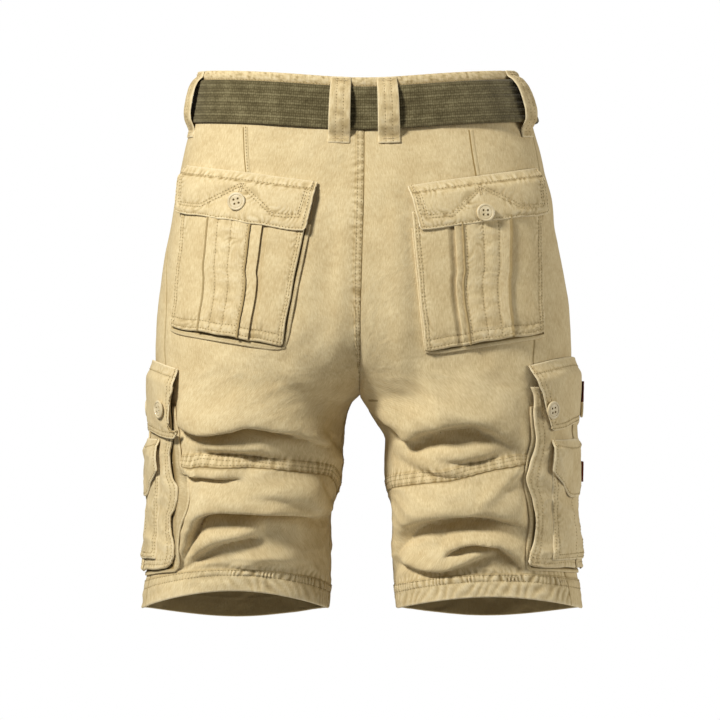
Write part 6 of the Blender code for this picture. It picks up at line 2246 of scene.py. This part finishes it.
@dataclass
class CargoPocket:
    """One side pocket: bellows pouch with a box pleat, two-button flap, and a slim pocket with a pointed flap."""

    garment: Garment
    dresser: Dresser
    buttons: Buttons
    side: Side
    flap_edge: tuple[tuple[float, float], tuple[float, float]]
    button: tuple[float, float]
    back_wave: tuple[tuple[float, float], ...]  # height and shift of the pouch's back edge forwards, in mm
    bellows: tuple[tuple[float, float], ...]  # height and width of the bellows behind the pouch, in mm
    step: float = 1.85 * MM
    flap_height: float = 9.6 * MM
    flap_extra: float = 6 * MM
    flap_taper: float = 6 * MM
    arch: float = 9 * MM
    bow: float = 5 * MM  # how far the flap's back edge bows backwards
    spread: float = 106 * MM
    small_width: float = 74 * MM
    small_back: float = 20 * MM
    small_heights: tuple[float, float] = (-350 * MM, -462 * MM)
    small_flap: tuple[float, float, float] = (-341 * MM, -371 * MM, -398 * MM)

    def build(self) -> None:
        """Makes, sews and dresses the pocket."""
        name = self.side.value
        sewing = self.dresser.topstitch(f"sewing_cargo_{name}", 41)
        tacks = self.dresser.bar_tacks(f"bar_tacks_cargo_{name}", 42)
        self._pouch(sewing)
        self._flap(sewing, tacks)
        self._small_pocket(sewing)
        self._small_flap(sewing, tacks)
        x, z = self.button
        behind = float(self.garment.angle_at(self.side, x * MM, z * MM))
        ahead = self.garment.angle_after(self.side, behind, z * MM, -self.spread)
        for label, angle in (("cargo_button", behind), ("cargo_button_front", ahead)):
            self.buttons.place(f"{label}_{name}", self.side, angle, z * MM, self.flap_height + 1.7 * MM, 0.2)
        self.dresser.sew(sewing, tacks)

    def _slump(self, u: Array, height: Array) -> tuple[Array, Array]:
        """How far the empty pouch, and what lies on it, folds outwards.

        Args:
            u: distance from the pouch's back edge.
            height: heights.

        Returns:
            Rise, and the painted tone that goes with it: highlight where the cloth folds out, shade where it folds in.
        """
        noise, (top, foot) = self.garment.noise, (z * MM for _, z in CARGO_EDGE[self.side])
        v = top - height
        sag = noise["broad"](u / (34 * MM) + 3, v / (46 * MM) + self.side.sign)
        fold = 0.35 - np.abs(noise["crease"]((u + 0.5 * v) / (42 * MM), (v - 0.4 * u) / (26 * MM) + self.side.sign))
        below = top - self.flap_edge[1][1] * MM
        free = smooth(v, below - 8 * MM, below + 12 * MM) * smooth(u, 0, 12 * MM) * smooth(height, foot, foot + 22 * MM)
        # the second value is painted highlight and shade that follow the folds
        return (2.2 * sag + 4.2 * fold) * MM * free, 0.2 * sag + 0.5 * fold

    def _pouch(self, sewing: Sewing) -> None:
        """The pouch, with a box pleat down its middle and a waved back edge."""
        garment, side = self.garment, self.side
        edge = CARGO_EDGE[side]
        widths = (CARGO_WIDTH, CARGO_WIDTH)
        even = np.linspace(0, 1, 30)
        width, tall = flat_size(garment, side, *edge_grid(garment, side, edge, widths, even, even))
        middle = width / MM / 2
        path = [(0.0, -1.8), (0.3, -0.5), (1.4, 0.0), (10.0, 0.4), (24.0, 0.6)]
        for sign in (-1, 1):
            lip = [(-24.0, 0.4), (-18.4, 0.0), (-16.6, -0.4), (-16.8, 0.1), (-17.8, 0.4), (-18.0, 1.0), (-17.6, 1.6),
                   (-16.0, 1.8), (-5.0, 2.0), (-1.0, 1.6)]
            path += [(middle + x, z) for x, z in lip] if sign < 0 else [(middle - x, z) for x, z in lip[::-1]]
            if sign < 0:
                path.append((middle, 0.2))
        path += [(width / MM - x, z) for x, z in ((24.0, 0.6), (10.0, 0.4), (1.4, 0.0), (0.3, -0.5), (0.0, -1.8))]
        line = through(np.array(path) * MM, 1.35 * MM)
        t = np.concatenate([np.linspace(0, 1 - 4 * MM / tall, round(tall / self.step)),
                            1 - np.array([2.6, 1.5, 0.7, 0.0]) * MM / tall])
        s, t_grid = np.meshgrid(np.clip(line[:, 0] / width, 0, 1), t)
        angle, height = edge_grid(garment, side, edge, widths, *soft_outline(
            garment.noise["pucker"], width, tall, s, t_grid, 7 * MM, 1.2 * MM))
        shift = Curve(self.back_wave, MM)(height) * fade(s * width, 14 * MM)
        per_metre = (angle[:, -1:] - angle[:, :1]) / width
        angle = angle + per_metre * shift
        up_from_foot = (1 - t_grid) * tall
        lift = line[:, 1][None, :] - 1.8 * MM * bell(up_from_foot, 0, 0.8 * MM, 1.5)
        rows = [2.6 * MM, 6.2 * MM, width - 2.6 * MM, width - 6.2 * MM]
        feet = [tall - 5.0 * MM, tall - 12.0 * MM]
        lines = [straight([(x, 0), (x, tall)]) for x in rows] + [straight([(0, y), (width, y)]) for y in feet]
        field_ = SeamField(lines, garment.noise["pucker"], 1.2 * MM, 0.34 * MM, 0.35 * MM, 8 * MM)
        u, v = s * width, t_grid * tall
        rise, tone = field_(u, v)
        slump, fold_shading = self._slump(u, height)
        patch = Patch(garment, side, angle, height, POUCH_LIFT + lift)
        patch.raise_by(rise + slump)
        edge_near = np.minimum(np.minimum(u, width - u), up_from_foot)
        wear_and_shading = 0.7 * fade(edge_near, 1.2 * MM) + 0.1 + tone + fold_shading
        patch.finish(f"cargo_pocket_{side.value}", self.dresser, (0.9 * MM, 0.9), wear_and_shading,
                     ClothCut(width + 40 * MM, tall, "folded"), [f"back_upper_{side.value}", f"front_{side.value}"])
        face = patch.stitched()
        for x in rows:
            sewing.add(face[t < 1 - 2.5 * MM / tall, nearest(line[:, 0], x)])
        steady = np.concatenate([[True], np.diff(np.maximum.accumulate(line[:, 0])) > 0])
        for y in feet:
            sewing.add(face[nearest(t * tall, y)][steady])
        coarse = edge_grid(garment, side, edge, widths, np.linspace(0, 1, 46), np.linspace(0, 1, 60))
        gusset(f"cargo_gusset_{side.value}", garment, side, *coarse, (3.5 * MM, 4.5 * MM, 3.5 * MM), self.dresser,
               Curve(self.bellows, MM))

    def _flap(self, sewing: Sewing, tacks: Sewing) -> None:
        """The wide flap over the pouch's mouth."""
        garment, side = self.garment, self.side
        edge = self.flap_edge
        width = CARGO_WIDTH + self.flap_extra
        slant = abs(edge[0][0] - edge[1][0]) * MM
        widths = (width, width - slant - self.flap_taper)
        even = np.linspace(0, 1, 20)
        size = flat_size(garment, side, *edge_grid(garment, side, edge, widths, even, even))
        s, t = edge_shares(size, self.step, np.array([0.0, 0.5, 1.2, 1.9, 2.6]) * MM)
        s_grid, t_grid = np.meshgrid(s, t)
        angle, height = edge_grid(garment, side, edge, widths, *soft_outline(
            garment.noise["pucker"], *size, s_grid, t_grid, 3.5 * MM))
        height = height + self.arch * np.sin(math.pi * s)[None, :]
        bow = self.bow * np.sin(math.pi * t_grid) * fade(s_grid * width, 20 * MM)
        angle = angle + np.sign(angle[:, :1] - angle[:, -1:]) * bow / OUTSEAM_RADIUS
        lift = flap_rise(t_grid, 0.26, FLAP_SEWN, self.flap_height)
        patch = Patch(garment, side, angle, height, lift)
        wide, tall = patch.width, patch.tall
        border, inner_border = frame_line(wide, tall, 2.0 * MM), frame_line(wide, tall, 6.0 * MM, 9 * MM)
        band = straight([(0, FLAP_BAND), (wide, FLAP_BAND)])
        field_ = SeamField([border, inner_border, band], garment.noise["pucker"], 0.9 * MM, 0.32 * MM, 0.4 * MM, 7 * MM)
        u, v = s_grid * wide, t_grid * tall
        edge_near = edge_distance(u, v, wide, tall)
        rise, tone = field_(u, v)
        rise = rise - 0.55 * MM * fade(edge_near, 0.7 * MM) + 0.8 * MM * (1 - smooth(v, *FLAP_BAND_FOOT))
        rise = rise + 1.2 * MM * np.abs(garment.noise["broad"](s_grid * 4.3 + 4, t_grid * 1.9 + side.sign))
        curl = smooth(v, 0.5 * tall, tall) * (1 - np.cos(2 * math.pi * s_grid * 2.0)) * 0.5 * MM
        patch.raise_by(rise + curl)
        patch.finish(f"cargo_flap_{side.value}", self.dresser, (FLAP_THICKNESS, 1.0),
                     0.9 * fade(edge_near, 0.9 * MM) + 0.12 + tone, ClothCut(wide * 1.02, tall * 1.02, "folded"),
                     [f"back_upper_{side.value}", f"front_{side.value}"])
        for line in (border, inner_border, band):
            sewing.add(patch.line(s, t, line))
        patch.tack_ends(tacks, s, t, wide)

    def _small_angles(self) -> tuple[float, float]:
        """Angles of the slim pocket's back and front edges."""
        (x_top, _), (x_bottom, _) = CARGO_EDGE[self.side]
        middle = sum(self.small_heights) / 2
        back = float(self.garment.angle_at(self.side, (x_top + x_bottom) / 2 * MM, middle))
        start = self.garment.angle_after(self.side, back, middle, -self.small_back)
        return start, self.garment.angle_after(self.side, start, middle, -self.small_width)

    def _small_pocket(self, sewing: Sewing) -> None:
        """The slim pocket that lies on the pouch."""
        start, end = self._small_angles()
        s = np.linspace(0, 1, 52)
        t = np.linspace(0, 1, 76)
        s_grid, t_grid = np.meshgrid(s, t)
        top, bottom = self.small_heights
        patch = Patch(self.garment, self.side, start + (end - start) * s_grid, top + (bottom - top) * t_grid, 9.5 * MM)
        wide, tall = patch.width, patch.tall
        rows = [frame_line(wide, tall, 2.0 * MM), frame_line(wide, tall, 6.0 * MM),
                straight([(wide / 2, 0), (wide / 2, tall)])]
        field_ = SeamField(rows, self.garment.noise["pucker"], 1.0 * MM, 0.3 * MM)
        u, v = s_grid * wide, t_grid * tall
        edge = np.minimum(np.minimum(u, wide - u), tall - v)
        rise, tone = field_(u, v)
        slump, fold_shading = self._slump(self.small_back + u, top + (bottom - top) * t_grid)
        rise = rise + slump - 0.7 * MM * fade(edge, 0.8 * MM) - 1.6 * MM * fade(u, 2 * MM)
        patch.raise_by(rise)
        patch.finish(f"small_pocket_{self.side.value}", self.dresser, (1.3 * MM, 0.9),
                     0.8 * fade(edge, 1.0 * MM) + 0.1 + tone + fold_shading, ClothCut(wide * 1.02, tall * 1.02),
                     [f"cargo_pocket_{self.side.value}"])
        for line in rows:
            sewing.add(patch.line(s, t, line))

    def _small_flap(self, sewing: Sewing, tacks: Sewing) -> None:
        """The pointed flap of the slim pocket."""
        start, end = self._small_angles()
        top, side_level, point = self.small_flap
        margin = 0.03
        s = np.linspace(0, 1, 52)
        t = np.linspace(0, 1, 40)
        s_grid, t_grid = np.meshgrid(s, t)
        lower = np.interp(s, (0, 0.34, 0.40, 0.60, 0.66, 1), (side_level, point + 1.5 * MM, point, point,
                                                               point + 1.5 * MM, side_level))
        angle = start + margin + (end - start - 2 * margin) * s_grid
        height = top + (lower[None, :] - top) * t_grid
        sewn = POUCH_LIFT + LAY_GAP + FLAP_THICKNESS + 2.0 * MM
        patch = Patch(self.garment, self.side, angle, height, flap_rise(t_grid, 0.22, sewn, 12.6 * MM))
        wide, tall = patch.width, patch.tall
        inset = 2.2 / (tall / MM)
        u, v = s_grid * wide, t_grid * tall
        foot = [(k * wide, (1 - inset) * tall) for k in (0.03, 0.2, 0.4, 0.6, 0.8, 0.97)]
        border = straight([(0.03 * wide, 0), *foot, (0.97 * wide, 0)])
        field_ = SeamField([border, straight([(0, 7 * MM), (wide, 7 * MM)])], self.garment.noise["pucker"], 0.8 * MM)
        edge = edge_distance(u, v, wide, tall)
        rise, tone = field_(u, v)
        slump, fold_shading = self._slump(self.small_back + u, height)
        patch.raise_by(rise + slump - 0.5 * MM * fade(edge, 0.7 * MM))
        patch.finish(f"small_flap_{self.side.value}", self.dresser, (FLAP_THICKNESS, 1.0),
                     0.9 * fade(edge, 0.9 * MM) + 0.12 + tone + fold_shading, ClothCut(wide * 1.02, 58 * MM, "folded"),
                     [f"cargo_pocket_{self.side.value}"])
        for line in (border, straight([(2 * MM, 7 * MM), (wide - 2 * MM, 7 * MM)])):
            sewing.add(patch.line(s, t, line))
        patch.tack_ends(tacks, s, t, wide, 7 * MM)


# ---------------------------------------------------------------- front and small pieces

@dataclass
class FrontClosure:
    """The fly placket, the zip behind it, darts of the seat and plain tabs."""

    garment: Garment
    dresser: Dresser
    placket: tuple[tuple[float, float], ...] = (
        (-28, 36), (-103.5, 36), (-122.4, 35), (-141.3, 31), (-159.5, 22), (-178, 8),
    )
    zip_heights: tuple[float, float] = (-30 * MM, -168 * MM)
    zip_half: float = 15 * MM
    tape_lift: float = -2.5 * MM
    tape_thickness: float = 1.0 * MM
    slider: tuple[float, float] = (-38 * MM, -50 * MM)

    def build(self) -> None:
        """Makes, sews and dresses the pieces."""
        sewing = self.dresser.topstitch("sewing_front", 51)
        self._placket(sewing)
        self._zip()
        for side, places in ((L, ((118.7, -31), (117.5, -60), (115.5, -79))),
                             (R, ((103.0, -33), (106.0, -58), (110.0, -80)))):
            self._dart(side, places, sewing)
        for name, middle, lift in (("flap_tab", -294 * MM, 11.2 * MM), ("small_flap_tab", -374 * MM, 13.6 * MM)):
            self._tab(name, middle, lift)
        self.dresser.sew(sewing)

    def _placket(self, sewing: Sewing) -> None:
        """The placket on the left front, with its J-shaped double row."""
        rows = np.array(self.placket) * MM
        heights = np.linspace(rows[0, 0], rows[-1, 0], 90)
        widths = np.interp(-heights, -rows[:, 0], rows[:, 1])
        columns = 22
        share, height = np.meshgrid(np.linspace(0, 1, columns), heights)
        angle = self.garment.angle_at(L, SEAM_GAP + widths[:, None] * share, height, FRONT)
        patch = Patch(self.garment, L, angle, height, LAY_GAP + WALL)
        edge = np.minimum(share, 1 - share) * widths[:, None]
        ripple = 0.2 * MM * self.garment.noise["fine"](share * 3, height / (8 * MM))
        grooves = sum(bell((1 - share) * widths[:, None], d, 0.9 * MM) for d in (2.0 * MM, 8.0 * MM))
        patch.raise_by(ripple - 0.6 * MM * fade(edge, 0.8 * MM) - 0.25 * MM * grooves)
        patch.normals = outward_normals(patch.points, patch.reference)
        points = self.garment.kept_on_side(L, patch.points)
        wear_and_shading = 0.6 * fade(edge, 1.2 * MM)
        piece = cloth_sheet("fly_placket", points, patch.normals, WALL, self.dresser.wardrobe.twill, wear_and_shading, 0.8)
        cut = ClothCut(37 * MM, 152 * MM, "folded")
        self.dresser.cloth(piece, cut, ["front_left"], "fly_placket")
        for inset in (2.0 * MM, 8.0 * MM):
            column = np.clip(1 - inset / widths, 0.02, 0.98) * (columns - 1)
            j = np.clip(column.astype(int), 0, columns - 2)
            b = (column - j)[:, None]
            rows_ = np.arange(len(heights))
            face = points + patch.normals * STITCH_LIFT
            sewing.add((face[rows_, j] * (1 - b) + face[rows_, j + 1] * b)[: 84 if inset > 4 * MM else 89])

    def _centre(self, x: Array, height: Array, lift: float) -> Array:
        """Points across the front's middle, by distance to the left of it."""
        left = self.garment.angle_at(L, np.abs(x), height, FRONT)
        right = math.pi - self.garment.angle_at(R, np.abs(x), height, FRONT)
        return self.garment.waist(np.where(x > 0, left, right), height, lift)

    def _zip(self) -> None:
        """Woven tape, two rows of brass teeth and a slider with its pull."""
        top, bottom = self.zip_heights
        x, height = np.meshgrid(np.linspace(-self.zip_half, self.zip_half, 16), np.linspace(top, bottom, 60))
        front = self._centre(x, height, self.tape_lift)
        normals = front - self._centre(x, height, self.tape_lift - 1 * MM)
        normals /= np.linalg.norm(normals, axis=-1, keepdims=True)
        piece = cloth_sheet("zip_tape", front, normals, self.tape_thickness, self.dresser.wardrobe.tape, 0.0, 0.0)
        length = abs(top - bottom)
        self.dresser.cloth(piece, ClothCut(31 * MM, length * 1.02), ["fly_placket"], "zip_tape",
                           slot=Slot.ZIP_TAPE)
        teeth = Sewing("zip_teeth", ZIP_TEETH, self.dresser.wardrobe.brass, 52)
        levels = np.linspace(top - 2 * MM, bottom + 6 * MM, 60)
        for shift in (-1.1 * MM, 1.1 * MM):
            teeth.add(self._centre(np.full(60, shift), levels, self.tape_lift - self.tape_thickness - 0.5 * MM))
        self.dresser.add(teeth.sew(), Slot.ZIP_BRASS)
        upper, lower = self.slider
        middle = self.tape_lift - self.tape_thickness - 1.7 * MM
        parts = []
        turn = np.linspace(0, 2 * math.pi, 12, endpoint=False)
        x_share, z_share = (np.sign(part) * np.abs(part) ** 0.6 for part in (np.cos(turn), np.sin(turn)))
        body, pull = (upper, lower, 4.0, 2.6, 0.0), (upper - 3 * MM, lower - 18 * MM, 2.6, 1.0, -2.4)
        for start, end, half, thick, deep in (body, pull):
            rings = []
            for h, size in zip(np.linspace(start, end, 9), (0.6, 0.88, 1, 1, 1, 1, 1, 0.88, 0.6)):
                across = x_share * half * size * MM
                lift = middle + deep * MM + z_share * thick / 2 * size * MM
                rings.append(np.array([self._centre(np.array(a), np.array(h), float(b)) for a, b in zip(across, lift)]))
            parts.append(ring_mesh(np.array(rings)))
        points = np.concatenate([part[0] for part in parts])
        quads = np.concatenate([parts[0][1], parts[1][1] + len(parts[0][0])])
        slider = mesh_object("zip_slider", points, quads, self.dresser.wardrobe.brass)
        self.dresser.add(slider, Slot.ZIP_BRASS, "zip_slider")

    def _dart(self, side: Side, places: Sequence[tuple[float, float]], sewing: Sewing) -> None:
        """A dart of the seat: a narrow tuck pressed to one side, stitched beside its fold."""
        line = through(np.array(places, float) * MM, 1.3 * MM)
        across = np.array([-0.6, 0.0, 0.5, 1.0, 2.4, 4.0, 4.6]) * MM
        rise = np.array([0.0, 0.1, 0.5, 0.6, 0.45, 0.25, 0.0]) * MM
        x = line[:, :1] - across[None, :] * (1 if side is L else -1)
        height = np.repeat(line[:, 1:2], len(across), axis=1)
        angle = self.garment.angle_at(side, x, height)
        point = self.garment.lifted(side, angle, height, rise[None, :] + self.garment.wrinkles(side, angle, height))
        reference = self.garment.normal(self.garment.base, side, angle, height, 0.1)
        # painted shade in the gap beside the fold and a pale pressed edge
        wear_and_shading = np.tile([-1.0, -1.0, -0.9, 0.3, 0.1, -0.2, 0.0], (len(line), 1))
        name = f"seat_dart_{side.value}"
        piece = cloth_sheet(name, point, outward_normals(point, reference), 0.6 * MM, self.dresser.wardrobe.twill,
                            wear_and_shading, 0.0)
        length = float(arc_length(point[:, 0])[-1])
        self.dresser.cloth(piece, ClothCut(10 * MM, length, "folded"), [f"back_upper_{side.value}"])
        if side is L:
            sewing.add(point[:, 4] + reference[:, 4] * 0.25 * MM)

    def _tab(self, name: str, middle: float, lift: float) -> None:
        """A plain woven tab at the edge of a flap on the right side."""
        s, t = np.meshgrid(np.linspace(0.14, 0.06, 8), np.linspace(middle + 10 * MM, middle - 10 * MM, 16))
        patch = Patch(self.garment, R, s, t, lift)
        patch.raise_by(0.25 * MM * self.garment.noise["fine"](s * 40, t * 200) + 2.4 * MM * (s - 0.06) / 0.08)
        piece = cloth_sheet(name, patch.points, patch.normals, 0.8 * MM, self.dresser.wardrobe.tab, 0.0, 0.0)
        cut = ClothCut(max(patch.width * 1.1, 12 * MM), patch.tall, "folded")
        self.dresser.cloth(piece, cut, ["cargo_flap_right"], name, slot=Slot.TAB)


# ---------------------------------------------------------------- studio

@dataclass
class Studio:
    """Pale floor, soft key from the upper left behind the viewer, and a white surround."""

    target: tuple[float, float, float] = (4 * MM, 0.0, -263 * MM)
    distance: float = 5.0
    lens: float = 250.0
    key_from: tuple[float, float, float] = (0.55, 0.60, 0.60)
    key_distance: float = 3.2
    key_size: float = 0.55
    key_power: float = 127.0
    fill_from: tuple[float, float, float] = (-1.0, 0.12, 0.10)
    fill_distance: float = 3.0
    fill_size: float = 1.4
    fill_power: float = 45.0
    surround: float = 0.13
    floor_level: float = -1.05
    floor_half: float = 0.9

    def build(self) -> None:
        """Sets the camera, the lights, the floor and the surround."""
        scene = bpy.context.scene
        scene.view_settings.view_transform = "Standard"
        camera_data = bpy.data.cameras.new("camera")
        camera_data.lens, camera_data.sensor_width = self.lens, 36.0
        camera = linked("camera", camera_data)
        target = Vector(self.target)
        camera.location = target + Vector((0, self.distance, 0))
        camera.rotation_euler = (target - camera.location).to_track_quat("-Z", "Y").to_euler()
        scene.camera = camera
        self._area("key", Vector(self.key_from), self.key_distance, self.key_size, self.key_power, "FFFDF9")
        self._area("fill", Vector(self.fill_from), self.fill_distance, self.fill_size, self.fill_power, "FFFCF6")
        self._floor()
        self._surround()

    def _area(self, name: str, way: Vector, distance: float, size: float, power: float, colour: str) -> None:
        """Adds a square light that faces the garment.

        Args:
            name: name of the light.
            way: direction in which it stands.
            distance: distance from the garment's middle.
            size: side of the light.
            power: its power in watts.
            colour: its colour.
        """
        data = bpy.data.lights.new(name, "AREA")
        data.energy, data.size, data.color = power, size, linear(colour)[:3]
        made = linked(name, data)
        target = Vector(self.target)
        made.location = target + way.normalized() * distance
        made.rotation_euler = (target - made.location).to_track_quat("-Z", "Y").to_euler()

    def _floor(self) -> None:
        """Adds the floor, as far below the garment as when it is worn."""
        points = np.array([(-1, -1, 0), (1, -1, 0), (1, 1, 0), (-1, 1, 0)]) * self.floor_half
        points[:, 2] = self.floor_level
        mesh = bpy.data.meshes.new("floor")
        mesh.from_pydata(points.tolist(), [], [(0, 1, 2, 3)])
        floor = linked("floor", mesh)
        mesh.materials.append(PlainFinish("painted_floor", "D9D9D9", "DDDDDD", 0.6, cloud=2.0, grain=300.0).make())

    def _surround(self) -> None:
        """Lights from all round, seen as plain white."""
        world = bpy.data.worlds.new("surround")
        bpy.context.scene.world = world
        world.use_nodes = True
        tree = world.node_tree
        tree.nodes.clear()
        seen = add_node(tree, "ShaderNodeBackground", {"Color": (1, 1, 1, 1), "Strength": 1.0})
        light = add_node(tree, "ShaderNodeBackground", {"Color": (1, 1, 1, 1), "Strength": self.surround})
        path = add_node(tree, "ShaderNodeLightPath")
        mix = add_node(tree, "ShaderNodeMixShader", links={0: path.outputs["Is Camera Ray"], 1: light.outputs[0],
                                                           2: seen.outputs[0]})
        add_node(tree, "ShaderNodeOutputWorld", links={"Surface": mix.outputs[0]})


def main() -> None:
    """Builds the garment's sub-assemblies in order, then the studio."""
    logging.basicConfig(level=logging.INFO, format="%(name)s %(message)s")
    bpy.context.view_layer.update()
    garment = Garment()
    dresser = Dresser(Wardrobe())
    buttons = Buttons(garment, dresser)
    Panels(garment, dresser).build()
    Waist(garment, dresser).build()
    FrontClosure(garment, dresser).build()
    BackPocket(garment, dresser, buttons, L, ((175, -70), (45, -86), (54, -140), (180, -117)),
               ((174, -100), (52, -116), (75, -249), (183, -231)), (150.2, 140.8, 128.4, 113.6, 112.0, 100.5),
               (119.5, -110), (1.5 * MM, 5.5 * MM, 4.8 * MM), (1.2 * MM, 6.6 * MM)).build()
    BackPocket(garment, dresser, buttons, R, ((170, -73), (43, -90), (56, -138), (177, -119)),
               ((172, -103), (47, -119), (64, -254), (178, -237)), (141.5, 131.0, 116.5, 101.0, 98.5, 90.5),
               (115.5, -121), (1.5 * MM, 4.5 * MM, 1.6 * MM)).build()
    CargoPocket(garment, dresser, buttons, L, ((177.5, -272), (174.5, -341)), (187, -311),
                ((-290, 0), (-342, -3), (-358, 3), (-378, 1), (-389, -8), (-399, -9), (-409, -4), (-418, 1.5),
                 (-433, 0), (-448, -5), (-460, -2), (-474, 2)),
                ((-300, 6), (-350, 12), (-368, 14), (-382, 26), (-402, 28), (-422, 17), (-443, 12), (-464, 9))).build()
    CargoPocket(garment, dresser, buttons, R, ((164, -269), (182, -333)), (180, -311),
                ((-290, -4), (-331, -6), (-345, -6), (-378, -10), (-400, -3), (-415, 0), (-438, -1), (-460, -5),
                 (-471, -6)),
                ((-290, 8), (-345, 10), (-378, 14), (-400, 8), (-415, 5), (-438, 6), (-471, 10))).build()
    waist_height = WAIST_BUTTON[1] * MM
    waist_angle = float(garment.angle_at(L, WAIST_BUTTON[0] * MM, waist_height, FRONT))
    buttons.place("waist_button", L, waist_angle, waist_height, BAND_LIFT[1] + LAY_GAP)
    buttons.finish()
    Studio().build()
    log.info("triangles added: %d", dresser.triangles)


if __name__ == "__main__":
    main()
